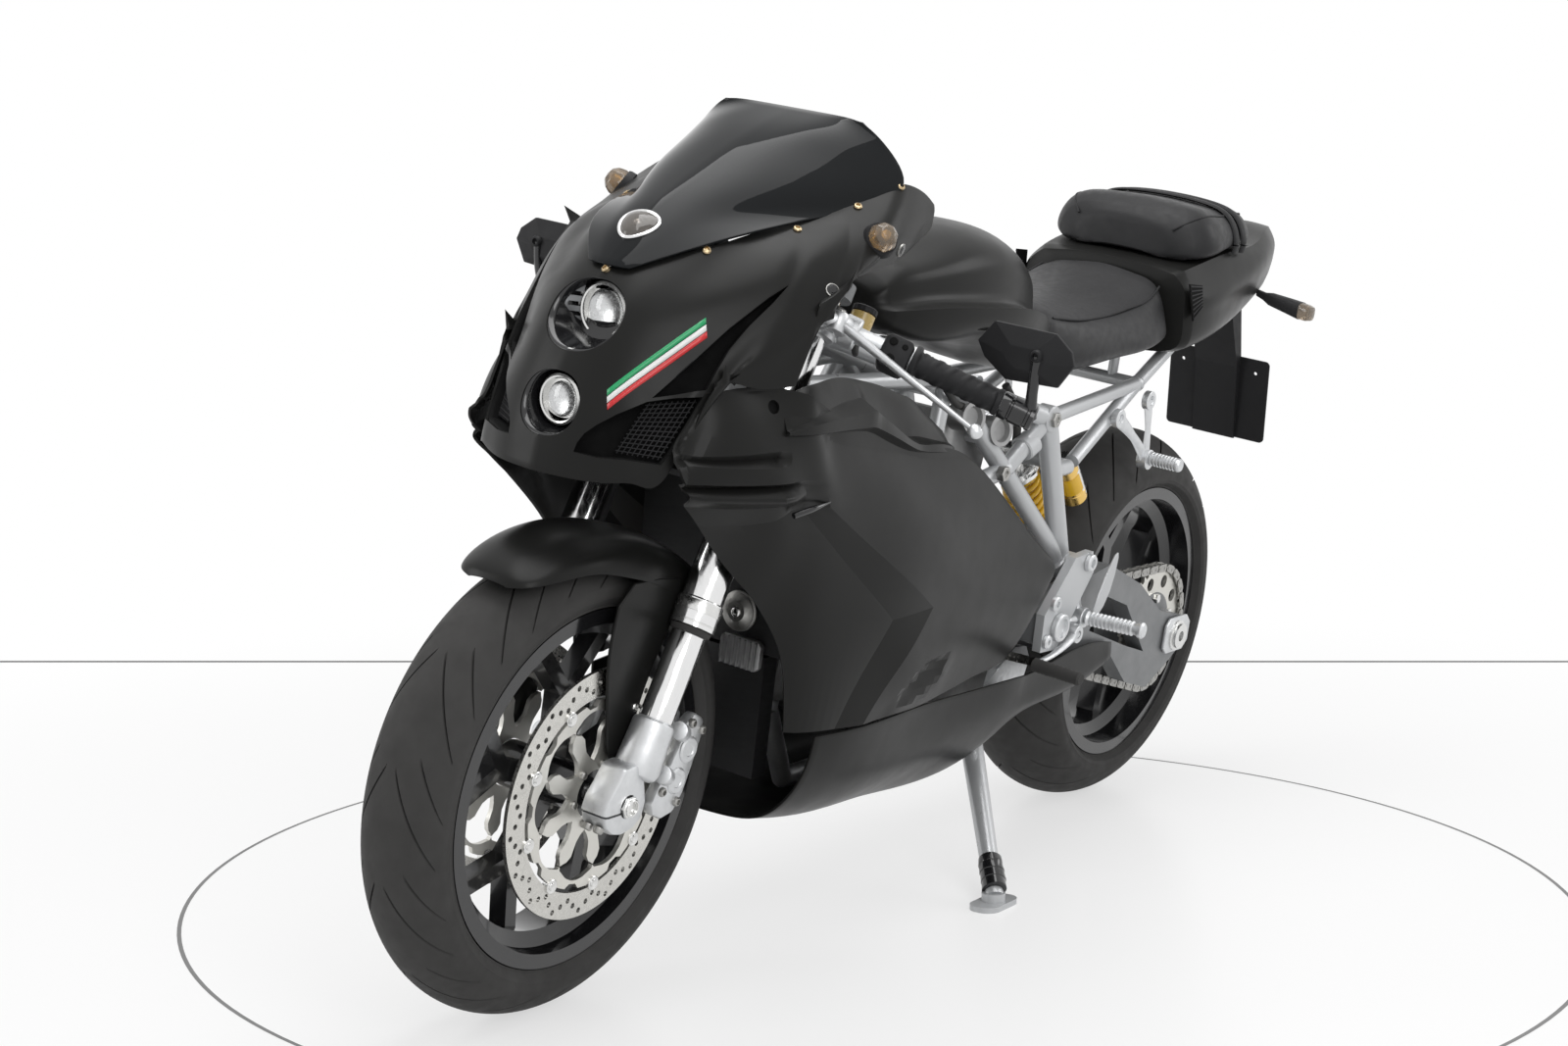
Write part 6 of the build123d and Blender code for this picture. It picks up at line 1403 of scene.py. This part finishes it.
sprocket_bits = [
    lathe("carrier", (HUB_FACE_X, REAR_AXLE.y, REAR_AXLE.z), (1, 0, 0),
          [(0, 60), (8, 62), (SPROCKET_X - HUB_FACE_X - 3.4, 62), (SPROCKET_X - HUB_FACE_X + 4, 60),
           (SPROCKET_X - HUB_FACE_X + 6, 44),
           (SPROCKET_X - HUB_FACE_X + 6, 24)], ARM, "rear_wheel", 64),
]
for t in np.arange(5) * 2 * math.pi / 5 + 0.4:
    at = Vector((SPROCKET_X + 9, REAR_AXLE.y + 52 * math.cos(t), REAR_AXLE.z + 52 * math.sin(t)))
    sprocket_bits.append(lathe("stud", at - Vector((6, 0, 0)), (1, 0, 0), [(0, 8), (9, 8), (10, 6.5)], BRIGHT,
                               "rear_wheel", 6, angle=20))
merge("sprocket_carrier", sprocket_bits)


run = Vector((0, REAR_AXLE.y - DRIVE_AT.y, REAR_AXLE.z - DRIVE_AT.z))
lean_in = math.asin((SPROCKET_R - DRIVE_R) / run.length)
straight = run.length * math.cos(lean_in)
# the chain's four stretches: top run, round the rear sprocket, bottom run, round the front one
STRETCHES = (straight, SPROCKET_R * (math.pi + 2 * lean_in), straight, DRIVE_R * (math.pi - 2 * lean_in))


def chain_point(travel):
    """Point of the chain's pitch line after some travel from the top of the front sprocket."""
    travel %= sum(STRETCHES)
    tilt = math.atan2(run.z, run.y)
    up = tilt + math.pi / 2 + lean_in
    down = tilt - math.pi / 2 - lean_in

    def polar(centre, r, turn):
        return centre + Vector((0, r * math.cos(turn), r * math.sin(turn)))

    if travel < STRETCHES[0]:
        return polar(DRIVE_AT, DRIVE_R, up).lerp(polar(SPROCKET_AT, SPROCKET_R, up), travel / STRETCHES[0])
    travel -= STRETCHES[0]
    if travel < STRETCHES[1]:
        return polar(SPROCKET_AT, SPROCKET_R, up - travel / SPROCKET_R)
    travel -= STRETCHES[1]
    if travel < STRETCHES[2]:
        return polar(SPROCKET_AT, SPROCKET_R, down).lerp(polar(DRIVE_AT, DRIVE_R, down), travel / STRETCHES[2])
    travel -= STRETCHES[2]
    return polar(DRIVE_AT, DRIVE_R, down - travel / DRIVE_R)


links = round(sum(STRETCHES) / CHAIN_PITCH / 2) * 2
step = sum(STRETCHES) / links
chain_points, chain_faces = [], []
for i in range(links):
    first, second = chain_point(i * step), chain_point((i + 1) * step)
    along = (second - first).normalized()
    out = Vector((1, 0, 0)).cross(along)
    shape = []
    for centre, start in ((second, -90), (first, 90)):
        for k in range(7):
            turn = math.radians(start + 30 * k)
            shape.append(centre + along * (LINK_R * math.cos(turn)) + out * (LINK_R * math.sin(turn)))
    offset = 7.4 if i % 2 else 5.4
    for side in (1, -1):
        chain_faces += prism_faces(len(shape), len(chain_points))
        for x in (offset, offset + 1.6):
            chain_points += [p + Vector((side * x, 0, 0)) for p in shape]
    # the pin, and the roller round it: half length, radius and sides
    for half, radius, sides in ((9.6, 2.6, 8), (5.2, 4.6, 10)):
        chain_faces += prism_faces(sides, len(chain_points))
        for x in (-half, half):
            chain_points += [
                first + Vector((x, 0, 0)) + along * (radius * math.cos(t)) + out * (radius * math.sin(t))
                for t in np.arange(sides) * 2 * math.pi / sides
            ]
piece("chain_links", chain_points, chain_faces, CHAIN, "chassis", angle=30, stands_for=["chain"])

SHOCK_LOW = Vector((20, 411, 500))
SHOCK_HIGH = Vector((20, 309.8, 643))
shock_line = SHOCK_HIGH - SHOCK_LOW
shock_dir = shock_line.normalized()
shock_side = Vector((1, 0, 0))
shock_out = shock_dir.cross(shock_side)
COIL_TURNS, COIL_STEPS = 6, 14  # turns of the spring, and points on each
COIL_R = 27.0
coil = []
for k in range(COIL_TURNS * COIL_STEPS + 1):
    turn = 2 * math.pi * k / COIL_STEPS
    rise = 24 + 88 * k / (COIL_TURNS * COIL_STEPS)
    coil.append(SHOCK_LOW + shock_dir * rise
                + shock_side * (COIL_R * math.cos(turn)) + shock_out * (COIL_R * math.sin(turn)))
sweep("spring_coil", coil, 4.6, YELLOW, "chassis", "spring_yellow", sides=12, per=2, stands_for=["shock_spring"])
lathe("spring_seat_low", SHOCK_LOW + shock_dir * 12, shock_dir, [(0, 24), (2, 33), (7, 33), (9, 22)], POLISHED,
      "chassis", 40)
lathe("spring_seat_high", SHOCK_LOW + shock_dir * 114, shock_dir,
      [(0, 22), (2, 33), (9, 33), (10, 30), (16, 30), (18, 22)], POLISHED, "chassis", 40,
      wobble=lambda turn, t: 1 + 0.03 * (math.cos(12 * turn) > 0.4) * (10 < t < 17))
lathe("reservoir", (66, 456, 552), (0, -52, 56), [(0, 17), (3, 20.8), (20, 20.8), (21, 20), (66, 20), (67, 20.8),
                                                  (80, 20.8), (83, 17)], GOLD, "chassis", 40)
lathe("reservoir_label", (66, 456, 552), (0, -52, 56), [(26, 20.4), (61, 20.4)], YELLOW, "chassis",
      40)
for index, (y, z) in enumerate(((0, 725), (85, 700))):
    for side, sign, _ in SIDES:
        lathe(f"port_{side}_{index}", (sign * 112, y, z), (sign, -0.25, 0.15),
              [(-26, 20), (4, 21), (6, 23), (10, 23), (10, 17), (2, 15), (0, 0)], ENGINE, "chassis",
              36)

# ---------------------------------------------------------------------------------------------
# Frame fittings, side stand, indicators and pillion hangers
# ---------------------------------------------------------------------------------------------
# bosses and a tag on the frame's side plates
for side, sign, _ in SIDES:
    bits = []
    for y, z, radius, deep in ((262, 396, 19, 9), (238, 436, 9, 7), (330, 488, 11, 8), (230, 378, 8, 6)):
        at = (sign * 171, y, z)
        bits.append(lathe("boss", at, (sign, 0, 0), [(0, radius + 3), (deep - 2, radius + 2.5),
                                                     (deep, radius + 0.5), (deep, radius - 4),
                                                     (deep - 5, radius - 5), (deep - 5, 0)], CAST, "chassis",
                          40))
    merge(f"frame_bosses_{side}", bits)
sweep("frame_tag", [(150, 196, 510), (158, 200, 492), (160, 202, 470), (158, 204, 452)], [1.5, 8, 9, 7], RED,
      "chassis", "red_lens", sides=12, per=6, flat=0.2, up=(0, 1, 0))

# welded collars where the tubes meet
for side, sign, flip in SIDES:
    for at, axis, radius in (((118, 172, 672), (0.1, 0.9, 0.5), 19), ((126, 205, 712), (1, 0, 0), 20),
                             ((130, 310, 478), (-0.25, -0.7, 0.6), 19)):
        lathe(f"collar_{side}_{int(at[1])}", Vector(at) * flip, Vector(axis) * flip,
              [(-13, radius - 2), (-11, radius), (11, radius), (13, radius - 2)], SILVER, "chassis",
              32)
    for at in ((126, 205, 712), (118, 90, 640)):
        spot = Vector(at) * flip + Vector((sign * 15, 0, 0))
        lathe(f"bolt_{side}_{int(at[1])}", spot, (sign, 0, 0), [(-8, 12), (3, 12), (4, 11), (4, 6), (1, 5.5),
                                                                (1, 0)], CHAIN, "chassis", 6,
              angle=20, bevel=0.6)

# glossy wrap round the lower leg of the side stand
STAND_TOP = Vector((104, 172, 212))
STAND_ANKLE = Vector((268, 8, 62))
leg = STAND_ANKLE - STAND_TOP
lathe("stand_wrap", STAND_ANKLE - leg.normalized() * 62, leg, [(0, 15.5), (1, 17), (12, 17.8), (13, 17.2),
                                                               (26, 18.2), (27, 17.4), (40, 18.4), (41, 17.6),
                                                               (54, 18), (55, 16)], GLOSS, "side_stand",
      32, wobble=lambda turn, t: 1 + 0.03 * math.cos(3 * turn + t * 0.15))

# rear indicators: stalk, tapering body and smoked lens
for side, sign, flip in SIDES:
    rows = []
    for x, y, z, tall, wide in ((94, 958, 866, 11, 14), (106, 961, 862, 13, 17), (116, 966, 859, 21, 27),
                                (146, 978, 852, 26, 34), (166, 986, 847, 29, 38)):
        ring = []
        for k in range(16):
            turn = 2 * math.pi * k / 16
            c, q = math.cos(turn), math.sin(turn)
            ring.append((x * sign, y + wide / 2 * math.copysign(abs(c) ** 0.6, c),
                         z + tall / 2 * math.copysign(abs(q) ** 0.6, q)))
        rows.append(ring)
    closed_body(f"rear_indicator_{side}", np.array(rows), PLASTIC, "chassis", [], angle=30)
    lens = []
    for x, size in ((166, 0.96), (177, 0.93), (182, 0.8), (184.5, 0.4)):
        centre = np.array([x * sign, 986 + (x - 166) * 0.3, 847 - (x - 166) * 0.15])
        rim_centre = np.array([166 * sign, 986, 847])
        lens.append([centre + (np.array(p) - rim_centre) * (0, size, size) for p in rows[-1]])
    closed_body(f"rear_lens_{side}", np.array(lens), AMBER, "chassis", ["indicators"], angle=30)

# pillion hangers: two flat arms, their eyes and the peg
for side, sign, flip in SIDES:
    low = Vector((127.5, 554, 620))
    bits = []
    for top in (Vector((127.5, 436, 694)), Vector((127.5, 532, 716))):
        middle = top.lerp(low, 0.5) + Vector((0, 4, 3))
        bits.append(sweep("arm", [top * flip, middle * flip, low * flip], [13, 8, 12], CAST, "chassis",
                          "cast_alloy", sides=18, per=8, flat=0.36, up=(sign, 0, 0)))
        bits.append(lathe("eye", (top + Vector((-5, 0, 0))) * flip, (sign, 0, 0),
                          [(0, 14), (1, 15), (10, 15), (11, 14), (11, 8), (8, 7), (8, 0)], CAST, "chassis",
                          32))
    bits.append(lathe("eye", (low + Vector((-8, 0, 0))) * flip, (sign, 0, 0),
                      [(0, 14), (1, 16), (17, 16), (18, 14), (18, 7), (14, 6), (14, 0)], CAST, "chassis",
                      32))
    profile = [(0, 8), (2, 11)]
    for t in np.arange(5, 46, 5.5):
        profile += [(t, 11), (t + 1, 9.6), (t + 2.4, 9.6), (t + 3.4, 11)]
    profile += [(51, 11), (54, 9)]
    bits.append(lathe("peg", (low + Vector((9, 2, 2))) * flip, (sign, 0, 0), profile, CAST, "chassis",
                      28))
    merge(f"pillion_hanger_{side}", bits)
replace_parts(bpy.data.objects["pillion_hanger_left"], "pillion_footrests")

# ---------------------------------------------------------------------------------------------
# Front axle, position lamp, horn, regulator and hoses
# ---------------------------------------------------------------------------------------------
lathe("front_axle_rod", FRONT_AXLE - Vector((130, 0, 0)), (1, 0, 0), [(0, 10), (0, 12.4), (260, 12.4), (260, 10)],
      BRIGHT, "steering", 40)
for side, sign, _ in SIDES:
    lathe(f"axle_spacer_{side}", FRONT_AXLE + Vector((sign * 71, 0, 0)), (sign, 0, 0),
          [(0, 19), (1, 19.6), (14, 19.6), (15, 19), (15, 12.6), (0, 12.6)], BRIGHT, "steering",
          40, ring=True)

LAMP_AT = Vector((0, -667, 983))
LAMP_OUT = Vector((0, -0.617, 0.787))
LAMP_UP = Vector((0, 0.787, 0.617))
egg = []
for k in range(32):
    turn = 2 * math.pi * k / 32
    egg.append((25 * math.cos(turn) * (1 + 0.30 * math.sin(turn)), 24 * math.sin(turn)))


def on_lamp(x, t, out):
    """Point of the lamp: across, up its face and out of it; the face curves back to both sides."""
    return LAMP_AT + Vector((x, 0, 0)) + LAMP_UP * t + LAMP_OUT * (out - x * x * 0.0035)


rim = [on_lamp(x, t, 3.5) for x, t in egg]
sweep("position_lamp_rim", [*rim, rim[0]], 2.6, POLISHED, "chassis", "bright_steel", sides=10, per=2)
LAMP_STEPS = ((0.98, 1), (0.98, 4), (0.8, 8), (0.45, 10), (0.1, 10.6))    # share of the outline, how far out
rows = [[on_lamp(x * size, t * size, out) for x, t in egg] for size, out in LAMP_STEPS]
closed_body("position_lamp_lens", np.array([[tuple(p) for p in row] for row in rows]), SMOKE, "chassis",
            ["position_lamp"], angle=30)
lathe("position_lamp_bulb", on_lamp(0, 2, 2), LAMP_OUT, [(0, 7), (3, 7), (6, 4), (7, 0)], POLISHED, "chassis",
      20)

HORN_AT = Vector((52, -413, 486))
lathe("horn", HORN_AT, (0, -1, 0), [(0, 24), (3, 27), (6, 27), (7, 24), (9, 24), (12, 14), (13, 13), (13, 0)],
      CHAIN, "chassis", 48)
screw("horn_nut", HORN_AT - Vector((0, 13, 0)), (0, -1, 0), 7, "chassis", BRIGHT, 3)
fins = [rounded_box("case", (64, -419, 434), (1, 0, 0), (0, 0, 1), (66, 42, 10), ENGINE, "chassis",
                    3)]
for k in range(7):
    fins.append(rounded_box("fin", (38 + k * 8.7, -425, 434), (1, 0, 0), (0, 0, 1), (2.4, 38, 9), ENGINE,
                            "chassis", 0.6))
merge("regulator", fins)
for index, path in enumerate((
        [(96, -392, 560), (112, -360, 520), (118, -330, 440), (112, -330, 370)],
        [(-96, -392, 560), (-112, -360, 520), (-118, -330, 440), (-112, -330, 370)],
        [(100, -60, 796), (116, -20, 770), (112, 40, 752), (96, 110, 735)],
        [(100, -110, 812), (112, -70, 766), (106, -20, 742), (92, 20, 742)],
        [(96, 120, 760), (104, 150, 720), (100, 170, 660), (84, 190, 600)])):
    sweep(f"hose_{index}", path, (11, 11, 6, 5, 6)[index], RUBBER, "chassis", "black_plastic", sides=16, per=8)

# ---------------------------------------------------------------------------------------------
# Floor, light and camera
# ---------------------------------------------------------------------------------------------
FLOOR_R = 30.0
CAMERA_FROM_AXLE = Vector((1.97805, -3.8006, 0.70433))
CAMERA_PITCH = math.radians(-7.459)
CAMERA_YAW = math.radians(34.381)
CAMERA_LENS, SENSOR = 58.71, 36.0

scene = bpy.context.scene
scene.view_settings.view_transform = "Standard"


def pale(tree, output, glow, lit, far=None):
    """Mixes a glow, which only the camera, mirrors and glass see, with a surface that is lit.

    With far, the glow grows from its share at the first distance to all of it at the second, in metres."""
    path = tree.nodes.new("ShaderNodeLightPath")
    seen = path.outputs["Is Camera Ray"]
    for also in ("Is Glossy Ray", "Is Transmission Ray"):
        add = tree.nodes.new("ShaderNodeMath")
        add.operation = "MAXIMUM"
        tree.links.new(seen, add.inputs[0])
        tree.links.new(path.outputs[also], add.inputs[1])
        seen = add.outputs[0]
    share = tree.nodes.new("ShaderNodeMath")
    share.operation = "MULTIPLY"
    share.inputs[1].default_value = glow
    tree.links.new(seen, share.inputs[0])
    if far:
        length = tree.nodes.new("ShaderNodeVectorMath")
        length.operation = "LENGTH"
        tree.links.new(tree.nodes.new("ShaderNodeNewGeometry").outputs["Position"], length.inputs[0])
        fade = tree.nodes.new("ShaderNodeMapRange")
        fade.interpolation_type = "SMOOTHSTEP"
        fade.inputs["From Min"].default_value, fade.inputs["From Max"].default_value = far
        fade.inputs["To Min"].default_value, fade.inputs["To Max"].default_value = glow, 1.0
        tree.links.new(length.outputs["Value"], fade.inputs["Value"])
        tree.links.new(fade.outputs["Result"], share.inputs[1])
    white = tree.nodes.new("ShaderNodeEmission")
    white.inputs["Color"].default_value = (1, 1, 1, 1)
    white.inputs["Strength"].default_value = 1.0
    mix = tree.nodes.new("ShaderNodeMixShader")
    tree.links.new(share.outputs[0], mix.inputs["Fac"])
    tree.links.new(lit, mix.inputs[1])
    tree.links.new(white.outputs[0], mix.inputs[2])
    tree.links.new(mix.outputs[0], output)


floor_mat = bpy.data.materials.new("pale_floor")
floor_mat.use_nodes = True
floor_shader = floor_mat.node_tree.nodes["Principled BSDF"]
floor_shader.inputs["Base Color"].default_value = (0.86, 0.86, 0.86, 1)
floor_shader.inputs["Roughness"].default_value = 0.28
floor_shader.inputs["Specular IOR Level"].default_value = 0.35
pale(floor_mat.node_tree, floor_mat.node_tree.nodes["Material Output"].inputs["Surface"], 0.62,
     floor_shader.outputs[0], far=(1.0, 2.6))
floor_mesh = bpy.data.meshes.new("floor")
corners = [(math.cos(a) * FLOOR_R, math.sin(a) * FLOOR_R, 0) for a in np.linspace(0, 2 * math.pi, 65)[:-1]]
floor_mesh.from_pydata(corners, [], [tuple(range(64))])
floor_mesh.materials.append(floor_mat)
floor = bpy.data.objects.new("floor", floor_mesh)
scene.collection.objects.link(floor)

line_mat = bpy.data.materials.new("floor_joint")
line_mat.use_nodes = True
line_mat.node_tree.nodes["Principled BSDF"].inputs["Base Color"].default_value = (0.20, 0.20, 0.20, 1)
line_mat.node_tree.nodes["Principled BSDF"].inputs["Roughness"].default_value = 0.7


def floor_line(name, inside, outside):
    """Thin joint drawn on the floor between two rows of points in metres."""
    mesh = bpy.data.meshes.new(name)
    count = len(inside)
    mesh.from_pydata([(*p, 0.0004) for p in inside] + [(*p, 0.0004) for p in outside], [],
                     [(i, i + 1, count + i + 1, count + i) for i in range(count - 1)])
    mesh.materials.append(line_mat)
    line = bpy.data.objects.new(name, mesh)
    scene.collection.objects.link(line)


ROUND_JOINT = (-0.056, -0.053, 0.995)    # middle and radius, in metres
turns = np.linspace(0, 2 * math.pi, 181)
floor_line("turntable_joint", *[
    [(ROUND_JOINT[0] + r * math.cos(a), ROUND_JOINT[1] + r * math.sin(a)) for a in turns]
    for r in (ROUND_JOINT[2], ROUND_JOINT[2] + 0.006)
])
view_dir = Vector((-math.sin(CAMERA_YAW), math.cos(CAMERA_YAW)))
across = Vector((view_dir.y, -view_dir.x))
stand_point = Vector((axle_middle + CAMERA_FROM_AXLE)[:2])
FAR_JOINT = 5.44                # metres from the camera
edge = [stand_point + view_dir * FAR_JOINT + across * t for t in (-4.0, 4.0)]
floor_line("far_joint", [tuple(p) for p in edge], [tuple(p + view_dir * 0.02) for p in edge])

world = bpy.data.worlds.new("studio")
scene.world = world
world.use_nodes = True
background = world.node_tree.nodes["Background"]
background.inputs["Color"].default_value = (1, 1, 1, 1)
background.inputs["Strength"].default_value = 0.42
pale(world.node_tree, world.node_tree.nodes["World Output"].inputs["Surface"], 1.0, background.outputs[0])


def softbox(name, at, aim, size, power):
    """Rectangular studio light at a point, aimed at another; both in metres."""
    lamp = bpy.data.lights.new(name, "AREA")
    lamp.shape = "RECTANGLE"
    lamp.size, lamp.size_y = size
    lamp.energy = power
    holder = bpy.data.objects.new(name, lamp)
    holder.location = at
    holder.rotation_euler = (Vector(aim) - Vector(at)).to_track_quat("-Z", "Y").to_euler()
    scene.collection.objects.link(holder)


softbox("overhead", (0.2, -0.3, 3.4), (0, 0, 0.6), (2.2, 3.0), 70)
softbox("front_left", (3.2, -2.6, 2.3), (0, -0.2, 0.7), (1.6, 2.2), 45)
softbox("front_right", (-2.6, -2.8, 1.9), (0, -0.2, 0.7), (1.2, 2.2), 30)
softbox("rear_left", (2.6, 2.6, 2.2), (0, 0.3, 0.6), (1.4, 2.0), 30)

camera = bpy.data.objects.new("camera", bpy.data.cameras.new("camera"))
camera.data.lens = CAMERA_LENS
camera.data.sensor_width = SENSOR
camera.location = axle_middle + CAMERA_FROM_AXLE
camera.rotation_euler = (math.pi / 2 + CAMERA_PITCH, 0, CAMERA_YAW)
scene.collection.objects.link(camera)
scene.camera = camera
